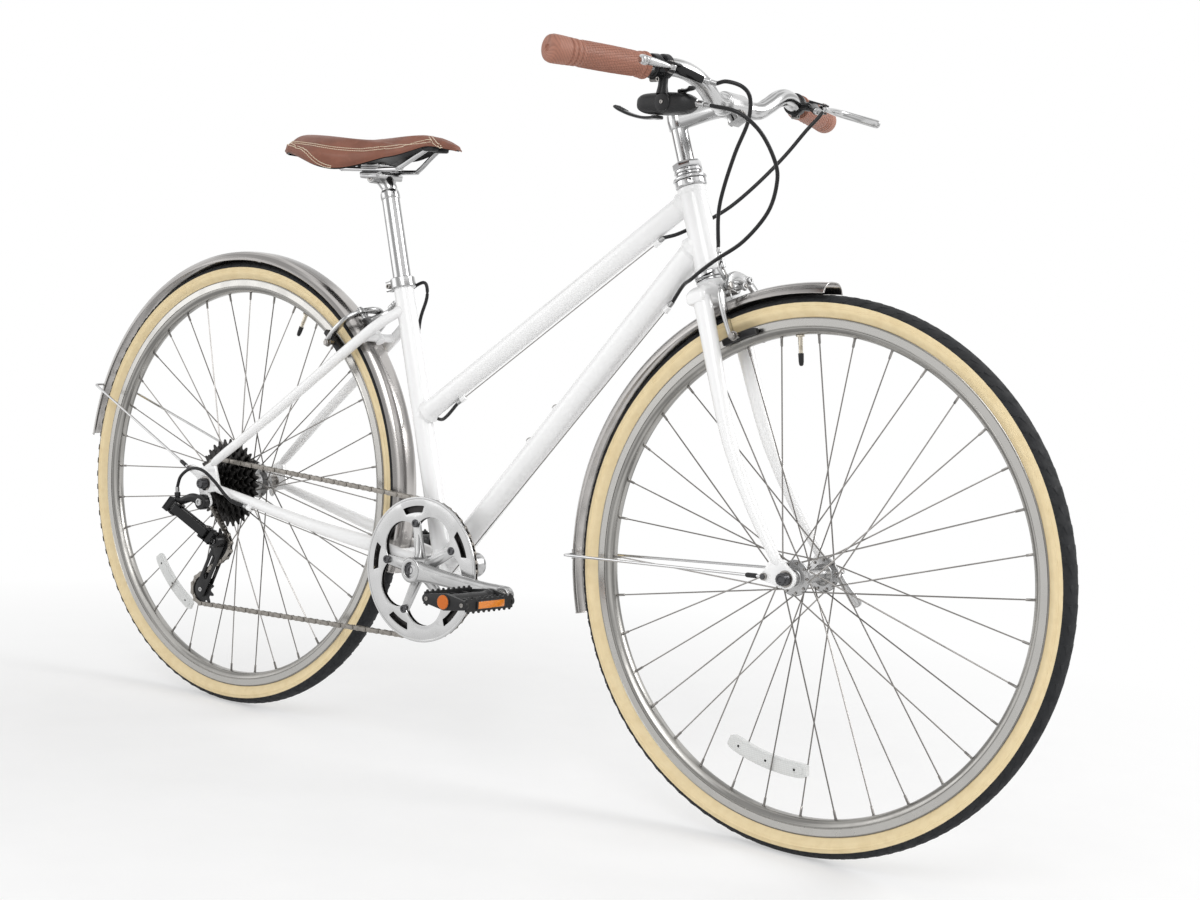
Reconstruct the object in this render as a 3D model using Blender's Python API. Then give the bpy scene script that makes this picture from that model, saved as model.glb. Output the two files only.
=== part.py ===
"""City bike: a diamond frame with a sloping top tube, full fenders, dual-pivot rim brakes, one guarded
chainring and an eight-speed cassette.

Metres. X forward, Y to the rider's left, Z up. The origin is on the ground under the middle of the bike.
Positions below are measured from the point on the ground under the rear axle, and the root empty carries
the whole bike back by half its length.
"""

from math import acos, asin, atan2, ceil, cos, degrees, hypot, pi, radians, sin, sqrt, tan

import bmesh
import bpy
from mathutils import Matrix, Vector

GAP = 0.0003

# Wheels
WHEELBASE = 1.0306
TYRE_R = 0.345
TYRE_W = 0.035
RIM_R = 0.317
RIM_W = 0.023
RIM_DEPTH = 0.0205
RIM_FLANGE_T = 0.0015
BEAD_DEPTH = 0.006
RIM_FLOOR_W = 0.012
WHEEL_STEPS = 32
SPOKE_D = 0.0022
SPOKES = 36
SPOKE_CROSS_ANGLE = radians(60)
SPOKE_AT_RIM_Y = 0.0012
SPOKE_HOLE_IN = 0.0040
VALVE_D = 0.006
VALVE_LENGTH = 0.0385
FRONT_VALVE_ANGLE = radians(98)
REAR_VALVE_ANGLE = radians(66)
AXLE_D = 0.0095
HUB_BARREL_D = 0.021
HUB_FLANGE_T = 0.0044
FRONT_FLANGE_D = 0.045
FRONT_FLANGE_Y = 0.0345
FRONT_HUB_HALF = 0.044
FRONT_DROPOUT_Y = 0.050
REAR_FLANGE_D = 0.050
REAR_FLANGE_LEFT_Y = 0.0345
REAR_FLANGE_RIGHT_Y = 0.0205
REAR_HUB_LEFT_Y = 0.056
REAR_DROPOUT_Y = 0.0675
LOCKNUT_D = 0.017
DROPOUT_PAD = 0.0007
TAB_EXTRA = 0.0004
QR_NUT_L = 0.011
QR_CAP_L = 0.0070
QR_LEVER_T = 0.0055
QR_BARREL_R = 0.0050
REFLECTOR_SPAN = radians(28)
REFLECTOR_H = 0.019
FRONT_REFLECTOR_R = 0.240
FRONT_REFLECTOR_ANGLE = radians(-99)
REAR_REFLECTOR_R = 0.232
REAR_REFLECTOR_ANGLE = radians(-129)

# Frame
CHAINSTAY = 0.4405
BB_DROP = 0.073
SEAT_ANGLE = radians(73.4)
SEAT_TUBE_D = 0.0286
SEAT_TUBE_LENGTH = 0.424
TOP_TUBE_ON_SEAT = 0.219
HEAD_ANGLE = radians(70.3)
FORK_OFFSET = 0.049
HEAD_TUBE_D = 0.036
HEAD_TUBE_LOW = 0.405
HEAD_TUBE_LENGTH = 0.1125
HEAD_BORE_D = 0.030
TOP_TUBE_D = 0.0286
TOP_TUBE_ON_HEAD = 0.505
DOWN_TUBE_D = 0.0349
DOWN_TUBE_ON_HEAD = 0.447
BB_SHELL_D = 0.040
BB_SHELL_LENGTH = 0.068
DROPOUT_T = 0.006
STAY_TIP_D = 0.013
SEATSTAY_D = 0.0155
SEATSTAY_DOWN = 0.048
BRIDGE_D = 0.012
BOTTLE_BOSS_D = 0.010
BOTTLE_BOSS_PITCH = 0.064
BOTTLE_BOSS_FROM_BB = 0.2385
TUBE_SIDES = 8

# Fork and headset
STEERER_D = 0.0254
STEERER_BORE_D = 0.0228
CROWN_HEIGHT = 0.030
CROWN_DEPTH = 0.030
BLADE_TOP_Y = 0.0375
BLADE_TIP_Y = 0.0530
BLADE_TOP_D = 0.0245
BLADE_TIP_D = 0.013
CUP_D = 0.041
CUP_HEIGHT = 0.0095
DUST_COVER_D = 0.044
LOCKNUT_STACK = 0.0245

# Cockpit
QUILL_D = 0.0222
QUILL_TOP = 0.612
STEM_WALL = 0.0038
QUILL_LENGTH = 0.135
STEM_REACH = 0.0824
STEM_RISE = 0.0143
BAR_D = 0.0222
BAR_CLAMP_D = 0.0254
STEM_CLAMP_W = 0.040
BAR_HALF = 0.310
# The bar's shape: offsets from its middle, (forward, left, up).
BAR_BEND = ((0.0, 0.022, 0.0), (0.0070, 0.050, 0.0005), (0.0096, 0.070, 0.0100), (0.0085, 0.090, 0.0205),
            (0.0042, 0.112, 0.0270), (-0.0003, 0.136, 0.0278))
BAR_GRIP_START = (-0.0098, 0.1735, 0.0238)
BAR_END = (-0.0466, 0.0, 0.0230)
GRIP_INNER_Y = 0.1755
GRIP_D = 0.0335
GRIP_WAIST_D = 0.0295
LEVER_CLAMP_Y = 0.1620
SHIFTER_CLAMP_Y = 0.1460
CLAMP_BAND_W = 0.011
CLAMP_BAND_T = 0.0035
LEVER_PIVOT = (0.0290, 0.1760, 0.0210)
LEVER_T = 0.0070
LEVER_PIN_D = 0.004
POD_Y = 0.135
POD_Z = -0.0160
POD_SECTIONS = ((-0.040, 0.0095, 0.0070), (-0.030, 0.0155, 0.0120), (0.0, 0.0170, 0.0135), (0.026, 0.0150, 0.0120),
                (0.039, 0.0090, 0.0080))

# Fenders
FENDER_R = 0.360
FENDER_W = 0.045
FENDER_DEPTH = 0.014
FENDER_T = 0.0011
FRONT_FENDER_FROM = radians(90)
FRONT_FENDER_TO = radians(196)
REAR_FENDER_FROM = radians(-15)
REAR_FENDER_TO = radians(173)
FENDER_STEP = radians(14)
STAY_WIRE_D = 0.004
FRONT_STAY_ANGLE = radians(183.4)
REAR_STAY_ANGLE = radians(159.57)

# Drive
PITCH = 0.0127
RING_TEETH = 48
COG_TEETH = (11, 13, 15, 18, 21, 24, 28, 32)
COG_IN_USE = 18
COG_PITCH = 0.0048
COG_T = 0.0018
PULLEY_TEETH = 11
CHAIN_Y = -0.045
CHAIN_HALF_W = 0.0034
CHAIN_HALF_H = 0.0042
CHAIN_PLATE_T = 0.0010
ROLLER_HALF = 0.0024
TOOTH_HEIGHT = 0.0036
GUIDE_PULLEY = (0.0114, 0.250)
CAGE_LENGTH = 0.0815
CHAIN_LINKS = 120
BOLT_CIRCLE_R = 0.065
SPIDER_ANGLE = radians(31)
SPIDER_T = 0.0030
GUARD_OVER = 0.0010
FREEHUB_D = 0.033
LOCKRING_L = 0.0035
GUARD_T = 0.0022
LOBE_DEPTH = 0.0225
SLOT_INNER_R = 0.0800
SLOT_OUTER_R = 0.0895
SLOT_SPAN = radians(26)
CRANK_LENGTH = 0.170
CRANK_ANGLE = radians(-3.5)
CRANK_FACE_Y = 0.072
CRANK_T = 0.014
CRANK_AXLE_D = 0.017
PEDAL_LENGTH = 0.098
PEDAL_DEPTH = 0.078
PEDAL_H = 0.022
PEDAL_AXLE_D = 0.009
PEDAL_INNER_Y = 0.090

# Brakes
BRAKE_TRACK = 0.008
BRAKE_PIN_D = 0.006
BACKING_T = 0.0025
ANCHOR_Y = 0.026
BARREL_UP = 0.033
BARREL_LENGTH = 0.011
FRONT_BOLT_UP = 0.372
BRAKE_ARM_T = 0.0070
BRAKE_SIDE_PIVOT_Y = 0.019
BRAKE_SIDE_PIVOT_UP = 0.009
PAD_LENGTH = 0.050
PAD_HEIGHT = 0.009
PAD_T = 0.009
PAD_CLEARANCE = 0.0028
FRONT_BRAKE_FORWARD = 0.036
REAR_BRAKE_BACK = 0.036

# Rear derailleur
HANGER_DROP = 0.028
HANGER_AHEAD = 0.004
HANGER_PIN_D = 0.0076
HANGER_PIN_L = 0.0185
LINK_LENGTH = 0.060
LINK_SPACING = 0.0155
LINK_HEIGHT = 0.014
LINK_EYE_D = 0.0100
LINK_PIN_D = 0.0034
LINK_DIR = Vector((0.80, 0.30, -0.517))
LINK_SWAY = Vector((0.0, 0.93, -0.36))
EAR_T = 0.0025
PULLEY_T = 0.0020
PULLEY_BOLT_D = 0.005
CAGE_T = 0.0015
CAGE_ROOM = 0.0006
CAGE_PIN_D = 0.007
HANGER_HEAD_L = 0.0025
STOP_UP = Vector((-0.15, 0.0, 0.98)).normalized()

# Saddle
POST_D = 0.0262
POST_INSERT = 0.100
POST_DROP_ROOM = 0.130
POST_TOP = 0.562
SADDLE_LENGTH = 0.290
SADDLE_W = 0.168
SADDLE_TOP_Z = 0.880
POST_CLAMP_X = 0.2575
RAIL_BELOW_TOP = 0.0475
RAIL_D = 0.007
RAIL_Y = 0.022
# One rail from its rear end to its front end: offsets from the clamp, (forward, outward, up).
RAIL_RUN = ((-0.108, 0.0390, 0.0330), (-0.098, 0.0360, 0.0250), (-0.062, 0.0240, 0.0020), (-0.050, 0.0220, 0.0),
            (0.040, 0.0220, 0.0), (0.055, 0.0205, 0.0030), (0.082, 0.0150, 0.0200), (0.103, 0.0110, 0.0330))

# Cables
HOUSING_D = 0.005
WIRE_D = 0.0016
STOP_D = 0.0085
STOP_L = 0.010
STOP_STANDOFF = 0.0040
STOP_TOP_FRONT = 0.470
STOP_TOP_REAR = 0.081
STOP_DOWN = 0.523
# Cable routes: points that the housings pass, from the bars down, chosen for an even sweep.
FRONT_BRAKE_ROUTE = ((0.934, -0.123, 0.9300), (0.952, -0.116, 0.9245), (0.9575, -0.106, 0.9120),
                     (0.9460, -0.089, 0.8870), (0.9168, -0.067, 0.8530), (0.8890, -0.045, 0.8110),
                     (0.8755, -0.0315, 0.7800))
REAR_BRAKE_ROUTE = ((0.9165, 0.1205, 0.9210), (0.9040, 0.1120, 0.9020), (0.8840, 0.0990, 0.8690),
                    (0.8610, 0.0790, 0.8330), (0.8380, 0.0590, 0.8020), (0.8200, 0.0420, 0.7830),
                    (0.8010, 0.0270, 0.7690), (0.7850, 0.0120, 0.7570))
REAR_LOOP_ROUTE = ((0.4080, 0.0120, 0.4860), (0.3880, 0.0205, 0.4795), (0.3660, 0.0240, 0.4860),
                   (0.3490, 0.0255, 0.5050), (0.3360, 0.0265, 0.5420), (0.3280, 0.0280, 0.5820),
                   (0.3275, 0.0290, 0.6200), (0.3375, 0.0290, 0.6530), (0.3340, 0.0280, 0.6730),
                   (0.3180, 0.0270, 0.6700))
SHIFT_ROUTE = ((0.9560, -0.1280, 0.8930), (0.9790, -0.1110, 0.8720), (0.9880, -0.0880, 0.8400),
               (0.9810, -0.0690, 0.8160), (0.9580, -0.0480, 0.7830), (0.9207, -0.0390, 0.7480),
               (0.8840, -0.0385, 0.7250), (0.8600, -0.0355, 0.7100), (0.8400, -0.0290, 0.6980),
               (0.8190, -0.0150, 0.6900))
DERAILLEUR_LOOP_ROUTE = ((0.0720, -0.0780, 0.3240), (0.0560, -0.0825, 0.3345), (0.0360, -0.0865, 0.3520),
                         (0.0120, -0.0895, 0.3660), (-0.0130, -0.0915, 0.3670), (-0.0350, -0.0920, 0.3530))

X, Y, Z = Vector((1, 0, 0)), Vector((0, 1, 0)), Vector((0, 0, 1))

BB_X = sqrt(CHAINSTAY ** 2 - BB_DROP ** 2)
BB = Vector((BB_X, 0, TYRE_R - BB_DROP))
REAR_AXLE = Vector((0, 0, TYRE_R))
FRONT_AXLE = Vector((WHEELBASE, 0, TYRE_R))
SEAT_DIR = Vector((-cos(SEAT_ANGLE), 0, sin(SEAT_ANGLE)))
STEER_UP = Vector((-cos(HEAD_ANGLE), 0, sin(HEAD_ANGLE)))
STEER_FWD = Vector((sin(HEAD_ANGLE), 0, cos(HEAD_ANGLE)))
HEAD_TOP = HEAD_TUBE_LOW + HEAD_TUBE_LENGTH
REAR_REACH = max(TYRE_R, FENDER_R * -cos(REAR_FENDER_TO))
REAR_X = -(WHEELBASE + TYRE_R - REAR_REACH) / 2

HERE = {}


def steer(up, forward=0.0, left=0.0):
    """A point given along the steering axis from the level of the front axle, ahead of it and left of it."""
    return FRONT_AXLE - STEER_FWD * FORK_OFFSET + STEER_UP * up + STEER_FWD * forward + Y * left


def on_wheel(axle, r, angle, y=0.0):
    return axle + Vector((r * cos(angle), y, r * sin(angle)))


def polar(r, angle):
    return (r * cos(angle), r * sin(angle))


def clear_scene():
    for obj in list(bpy.data.objects):
        bpy.data.objects.remove(obj, do_unlink=True)


def paint(name, colour, roughness, metallic=0.0):
    """A material with one Principled shader."""
    mat = bpy.data.materials.new(name)
    mat.use_nodes = True
    shader = mat.node_tree.nodes["Principled BSDF"]
    shader.inputs["Base Color"].default_value = (*colour, 1.0)
    shader.inputs["Roughness"].default_value = roughness
    shader.inputs["Metallic"].default_value = metallic
    mat.diffuse_color = (*colour, 1.0)
    return mat


def pivot(name, at, parent=None):
    """An empty on a joint's axis that the moving pieces hang on."""
    empty = bpy.data.objects.new(name, None)
    empty.empty_display_size = 0.02
    bpy.context.scene.collection.objects.link(empty)
    HERE[empty] = Vector(at)
    if parent:
        empty.parent = parent
        empty.location = HERE[empty] - HERE[parent]
    return empty


def put(name, bm, mat, parent, sharp=35):
    """Turns a closed bmesh into a named object under its pivot, shaded smooth but for its sharp edges."""
    bmesh.ops.recalc_face_normals(bm, faces=bm.faces[:])
    mesh = bpy.data.meshes.new(name)
    bmesh.ops.translate(bm, verts=bm.verts[:], vec=-HERE[parent])
    bm.to_mesh(mesh)
    bm.free()
    mesh.shade_smooth()
    mesh.set_sharp_from_angle(angle=radians(sharp))
    mesh.materials.append(mat)
    obj = bpy.data.objects.new(name, mesh)
    bpy.context.scene.collection.objects.link(obj)
    obj.parent = parent
    return obj


def loose(bm):
    """A helper object for a Boolean."""
    bmesh.ops.recalc_face_normals(bm, faces=bm.faces[:])
    mesh = bpy.data.meshes.new("helper")
    bm.to_mesh(mesh)
    bm.free()
    return bpy.data.objects.new("helper", mesh)


def group(bodies, name):
    held = bpy.data.collections.new(name)
    bpy.context.scene.collection.children.link(held)
    for body in bodies:
        held.objects.link(loose(body))
    return held


def fuse(adds, cuts=()):
    """One closed bmesh: the union of `adds`, less `cuts`, worked out by the exact Boolean."""
    base = loose(adds[0])
    bpy.context.scene.collection.objects.link(base)
    held = []
    for bodies, operation in ((adds[1:], "UNION"), (cuts, "DIFFERENCE")):
        if bodies:
            held.append(group(bodies, operation))
            step = base.modifiers.new(operation, "BOOLEAN")
            step.operation = operation
            step.solver = "EXACT"
            step.operand_type = "COLLECTION"
            step.collection = held[-1]
    mesh = bpy.data.meshes.new_from_object(base.evaluated_get(bpy.context.evaluated_depsgraph_get()))
    bm = bmesh.new()
    bm.from_mesh(mesh)
    bmesh.ops.remove_doubles(bm, verts=bm.verts[:], dist=2e-6)
    bmesh.ops.dissolve_degenerate(bm, edges=bm.edges[:], dist=2e-6)
    bmesh.ops.dissolve_limit(bm, angle_limit=radians(0.3), verts=bm.verts[:], edges=bm.edges[:])
    for collection in held:
        for helper in list(collection.objects):
            bpy.data.objects.remove(helper, do_unlink=True)
        bpy.data.collections.remove(collection)
    bpy.data.objects.remove(base, do_unlink=True)
    bpy.data.meshes.remove(mesh)
    return bm


def loft(rings):
    """A closed body through rings of points, capped at both ends."""
    bm = bmesh.new()
    loops = [[bm.verts.new(p) for p in ring] for ring in rings]
    for low, high in zip(loops, loops[1:]):
        for i in range(len(low)):
            j = (i + 1) % len(low)
            bm.faces.new((low[i], low[j], high[j], high[i]))
    bm.faces.new(loops[0])
    bm.faces.new(loops[-1][::-1])
    return bm


def frame_along(points, up):
    """Tangent, side and up vectors at each point of a path."""
    frames = []
    for i, p in enumerate(points):
        before = (p - points[i - 1]).normalized() if i else None
        after = (points[i + 1] - p).normalized() if i + 1 < len(points) else None
        along = ((before or after) + (after or before)).normalized()
        side = along.cross(up).normalized()
        frames.append((along, side, side.cross(along)))
    return frames


def sweep(points, sizes, up=Z, sides=TUBE_SIDES, turn=0.5):
    """A tube along a path. A size is a radius, or a pair of half width and half height."""
    points = [Vector(p) for p in points]
    if not isinstance(sizes, (list, tuple)) or (len(sizes) == 2 and len(points) != 2):
        sizes = [sizes] * len(points)
    rings = []
    for p, size, (_, side, top) in zip(points, sizes, frame_along(points, up)):
        wide, high = size if isinstance(size, (list, tuple)) else (size, size)
        angles = [2 * pi * (k + turn) / sides for k in range(sides)]
        rings.append([p + side * (wide * cos(a)) + top * (high * sin(a)) for a in angles])
    return loft(rings)


def rod(start, end, radius, sides=TUBE_SIDES, up=Z, turn=0.5):
    return sweep([start, end], [radius, radius], up, sides, turn)


def axis_frame(axis):
    axis = Vector(axis).normalized()
    side = axis.cross(X if abs(axis.x) < 0.9 else Z).normalized()
    return axis, side, axis.cross(side)


def turned(profile, at, axis=Y, steps=16, phase=0.5):
    """A turned body. The profile lists (along the axis, radius); a profile that ends off the axis is a ring."""
    axis, side, other = axis_frame(axis)
    out = side * cos(phase * 2 * pi / steps) + other * sin(phase * 2 * pi / steps)
    bm = bmesh.new()
    verts = [bm.verts.new(Vector(at) + axis * a + out * r) for a, r in profile]
    edges = [bm.edges.new(pair) for pair in zip(verts, verts[1:])]
    if profile[0][1] > 1e-6:
        edges.append(bm.edges.new((verts[-1], verts[0])))
    bmesh.ops.spin(bm, geom=verts + edges, cent=at, axis=axis, angle=2 * pi, steps=steps, use_merge=True)
    bmesh.ops.remove_doubles(bm, verts=bm.verts[:], dist=1e-6)
    return bm


def disc(at, axis, radius, half, steps=12):
    return turned([(-half, 0), (-half, radius), (half, radius), (half, 0)], at, axis, steps)


def plate(outlines, at, u, v, thickness):
    """A flat plate: the first outline less the others, in the (u, v) plane, thickened to both sides."""
    at, u, v = Vector(at), Vector(u).normalized(), Vector(v).normalized()
    across = u.cross(v).normalized()
    bm = bmesh.new()
    edges = []
    for outline in outlines:
        verts = [bm.verts.new(at + u * a + v * b - across * (thickness / 2)) for a, b in outline]
        edges += [bm.edges.new((verts[i - 1], verts[i])) for i in range(len(verts))]
    if len(outlines) > 1:
        bmesh.ops.triangle_fill(bm, use_beauty=True, edges=edges)
    else:
        bm.faces.new(verts)
    raised = bmesh.ops.extrude_face_region(bm, geom=bm.faces[:])["geom"]
    tops = [g for g in raised if isinstance(g, bmesh.types.BMVert)]
    bmesh.ops.translate(bm, verts=tops, vec=across * thickness)
    return bm


def circle(r, steps, centre=(0.0, 0.0), phase=0.0):
    return [(centre[0] + r * cos(2 * pi * (k + phase) / steps), centre[1] + r * sin(2 * pi * (k + phase) / steps))
            for k in range(steps)]


def cross2(o, a, b):
    return (a[0] - o[0]) * (b[1] - o[1]) - (a[1] - o[1]) * (b[0] - o[0])


def hull(circles, steps=12):
    """The outline of a string pulled round some circles, each given as (x, y, radius)."""
    points = sorted({p for x, y, r in circles for p in circle(r, steps, (x, y), 0.5)})
    half = []
    for run in (points, points[::-1]):
        side = []
        for p in run:
            while len(side) > 1 and cross2(side[-2], side[-1], p) <= 1e-9:
                side.pop()
            side.append(p)
        half += side[:-1]
    return half


def box(at, size, axes=(X, Y, Z)):
    """A block of a given size on three axes."""
    at = Vector(at)
    u, v, w = (Vector(a).normalized() * (s / 2) for a, s in zip(axes, size))
    corners = ((-1, -1), (1, -1), (1, 1), (-1, 1))
    return loft([[at + u * a + v * b + w * c for a, b in corners] for c in (-1, 1)])


def smooth_line(points, steps):
    """Points on a Catmull-Rom curve through the given points."""
    points = [Vector(p) for p in points]
    padded = [points[0] * 2 - points[1]] + points + [points[-1] * 2 - points[-2]]
    line = []
    for i in range(1, len(padded) - 2):
        a, b, c, d = padded[i - 1:i + 3]
        for k in range(steps):
            t = k / steps
            line.append(0.5 * (2 * b + (c - a) * t + (2 * a - 5 * b + 4 * c - d) * t ** 2
                               + (3 * b - a - 3 * c + d) * t ** 3))
    return line + [points[-1]]


def wide_bore(radius, steps):
    """The corner radius of a faceted bore that a round piece of this radius turns in."""
    return (radius + GAP) / cos(pi / steps)


def sprocket(teeth, at, thickness, phase=0.0, seats=True, hole=()):
    """A sprocket with pointed teeth, tooth 0 at `phase`. Seats are the flat floors where rollers lie."""
    at = Vector(at)
    root_r = pitch_radius(teeth) - CHAIN_HALF_H - 0.0006
    tip_r = pitch_radius(teeth) + TOOTH_HEIGHT
    turn = 2 * pi / teeth
    half = turn / 2 - (ROLLER_HALF + GAP) / root_r
    offsets = (-half, half) if seats else (-turn / 2,)
    roots = [polar(root_r, phase + k * turn + off) for k in range(teeth) for off in offsets]
    bm = plate([roots, hole] if hole else [roots], at, X, Z, thickness)
    bm.normal_update()
    bases = []
    for face in bm.faces:
        out = face.calc_center_median() - at
        tooth = (atan2(out.z, out.x) - phase) / turn
        if abs(face.normal.y) < 0.5 and out.length > root_r * 0.9 and abs(tooth - round(tooth)) < 0.2:
            bases.append(face)
    for tip in bmesh.ops.poke(bm, faces=bases)["verts"]:
        out = tip.co - at
        tip.co = at + out * (tip_r / out.length)
    return bm


def belt(wheels):
    """Straight runs of a chain over (x, z, pitch radius, sense) wheels: [(leaving point, arriving point), ...]."""
    runs = []
    for (ax, az, ar, asense), (bx, bz, br, bsense) in zip(wheels, wheels[1:] + wheels[:1]):
        dx, dz = bx - ax, bz - az
        far = hypot(dx, dz)
        lean = asin(-(bsense * br - asense * ar) / far)
        heading = atan2(dz, dx) + lean
        nx, nz = -sin(heading), cos(heading)
        runs.append(((ax - asense * ar * nx, az - asense * ar * nz),
                     (bx - bsense * br * nx, bz - bsense * br * nz)))
    return runs


def pitch_radius(teeth):
    return PITCH / 2 / sin(pi / teeth)


def chain_path(cage_angle):
    """The chain's course as stretches in pitches: straight runs and the arcs between them."""
    guide = GUIDE_PULLEY
    tension = (guide[0] + CAGE_LENGTH * cos(cage_angle), guide[1] + CAGE_LENGTH * sin(cage_angle))
    wheels = [(BB.x, BB.z, pitch_radius(RING_TEETH), -1, RING_TEETH),
              (tension[0], tension[1], pitch_radius(PULLEY_TEETH), -1, PULLEY_TEETH),
              (guide[0], guide[1], pitch_radius(PULLEY_TEETH), 1, PULLEY_TEETH),
              (REAR_AXLE.x, REAR_AXLE.z, pitch_radius(COG_IN_USE), -1, COG_IN_USE)]
    runs = belt([w[:4] for w in wheels])
    stretches = []
    for i, (cx, cz, r, sense, teeth) in enumerate(wheels):
        arrive, leave = runs[i - 1][1], runs[i][0]
        start = atan2(arrive[1] - cz, arrive[0] - cx)
        sweep_angle = (sense * (atan2(leave[1] - cz, leave[0] - cx) - start)) % (2 * pi)
        stretches.append(("arc", sweep_angle * teeth / (2 * pi), (cx, cz, r, sense, start, teeth)))
        stretches.append(("run", hypot(runs[i][1][0] - leave[0], runs[i][1][1] - leave[1]) / PITCH,
                          (leave, runs[i][1])))
    return stretches, tension


def chain_length(cage_angle):
    return sum(s[1] for s in chain_path(cage_angle)[0])


def settle_cage():
    """The cage angle at which the chain closes on a whole number of links. A forward cage gives slack."""
    low, high = radians(-140), radians(-75)
    for _ in range(50):
        mid = (low + high) / 2
        if chain_length(mid) > CHAIN_LINKS:
            low = mid
        else:
            high = mid
    return (low + high) / 2


def on_chain(stretches, at):
    """Position and heading at a distance along the chain, in pitches."""
    for kind, length, data in stretches:
        if at <= length:
            break
        at -= length
    if kind == "arc":
        cx, cz, r, sense, start, teeth = data
        angle = start + sense * at * 2 * pi / teeth
        return Vector((cx + r * cos(angle), 0, cz + r * sin(angle))), angle + sense * pi / 2
    (ax, az), (bx, bz) = data
    part = at / length
    return Vector((ax + (bx - ax) * part, 0, az + (bz - az) * part)), atan2(bz - az, bx - ax)


def tooth_phase(stretches, which):
    """The angle of one tooth of a wheel on the chain: half a pitch past a roller."""
    passed = 0.0
    for index, (kind, length, data) in enumerate(stretches):
        if index == which:
            _, _, _, sense, start, teeth = data
            roller = ceil(passed) - passed
            return start + sense * (roller + 0.5) * 2 * pi / teeth
        passed += length
    return 0.0


def near_wheel(stretches, at):
    """Whether the teeth of a wheel reach into the chain at a place."""
    spot = on_chain(stretches, at)[0]
    wheels = [data for kind, _, data in stretches if kind == "arc"]
    return any(hypot(spot.x - w[0], spot.z - w[1]) < w[2] + TOOTH_HEIGHT + PITCH / 2 for w in wheels)


def chain_body(stretches):
    """All links in one, outer and inner plates in turn. The window of a link is open where teeth reach in."""
    bm = bmesh.new()
    rails = {1: [], -1: []}
    for pin in range(CHAIN_LINKS):
        centre, heading = on_chain(stretches, pin)
        ahead = Vector((cos(heading), 0, sin(heading)))
        up = Vector((-sin(heading), 0, cos(heading)))
        for end in (-1, 1):
            outer = (pin + (end > 0)) % 2
            near = CHAIN_HALF_W - CHAIN_PLATE_T * (1 if outer else 2)
            corners = [(near, -1), (near, 1), (near + CHAIN_PLATE_T, 1), (near + CHAIN_PLATE_T, -1)]
            at = centre + Y * CHAIN_Y + ahead * (end * ROLLER_HALF)
            for side in (1, -1):
                rails[side].append([at + Y * (side * w) + up * (h * CHAIN_HALF_H) for w, h in corners])
    count = 2 * CHAIN_LINKS
    windows = [k % 2 == 1 and near_wheel(stretches, k / 2) for k in range(count)]

    def face(*spots):
        bm.faces.new([bm.verts.new(rails[side][k][i]) for side, k, i in spots])

    for k in range(count):
        n = (k + 1) % count
        for side in (1, -1):
            for i in range(4) if windows[k] else (2,):
                j = (i + 1) % 4
                face((side, k, i), (side, n, i), (side, n, j), (side, k, j))
        if windows[k]:
            continue
        for inner, outer in ((1, 2), (0, 3)):
            before = [(1, k, inner), (-1, k, inner)] if windows[k - 1] else []
            after = [(-1, n, inner), (1, n, inner)] if windows[n] else []
            face((1, k, outer), *before, (-1, k, outer), (-1, n, outer), *after, (1, n, outer))
        for end in (k,) * windows[k - 1] + (n,) * windows[n]:
            face((1, end, 0), (1, end, 1), (-1, end, 1), (-1, end, 0))
    bmesh.ops.remove_doubles(bm, verts=bm.verts[:], dist=1e-6)
    return bm


def tyre(axle, name, mat, parent):
    bead_y = RIM_W / 2 - RIM_FLANGE_T - GAP
    floor_r = RIM_R - BEAD_DEPTH + GAP
    half = [(bead_y, floor_r), (bead_y, RIM_R + GAP), (TYRE_W / 2, TYRE_R - 0.53 * TYRE_W),
            (TYRE_W * 0.38, TYRE_R - 0.19 * TYRE_W)]
    profile = [(-y, r) for y, r in half] + [(0.0, TYRE_R)] + half[::-1]
    return put(name, turned(profile, axle, Y, WHEEL_STEPS, 0.0), mat, parent)


def rim(axle, valve_angle, name, mat, parent):
    """A double-walled rim with a bead seat between its flanges, and the valve through it."""
    bead_y, seat_r, inner_r = RIM_W / 2 - RIM_FLANGE_T, RIM_R - BEAD_DEPTH, RIM_R - RIM_DEPTH
    half = [(RIM_FLOOR_W / 2, inner_r), (RIM_W / 2, inner_r + 0.0065), (RIM_W / 2, RIM_R), (bead_y, seat_r)]
    ring = turned([(-y, r) for y, r in half] + half[::-1], axle, Y, WHEEL_STEPS, 0.0)
    stem_out = on_wheel(axle, inner_r + 0.004, valve_angle)
    stem_in = on_wheel(axle, inner_r - VALVE_LENGTH, valve_angle)
    tip = on_wheel(axle, inner_r - VALVE_LENGTH + 0.012, valve_angle)
    stem = sweep([stem_in, tip, tip.lerp(stem_out, 0.05), stem_out], [VALVE_D * 0.3, VALVE_D * 0.3, VALVE_D / 2,
                 VALVE_D / 2], Y, 6)
    return put(name, fuse([ring, stem]), mat, parent)


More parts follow.
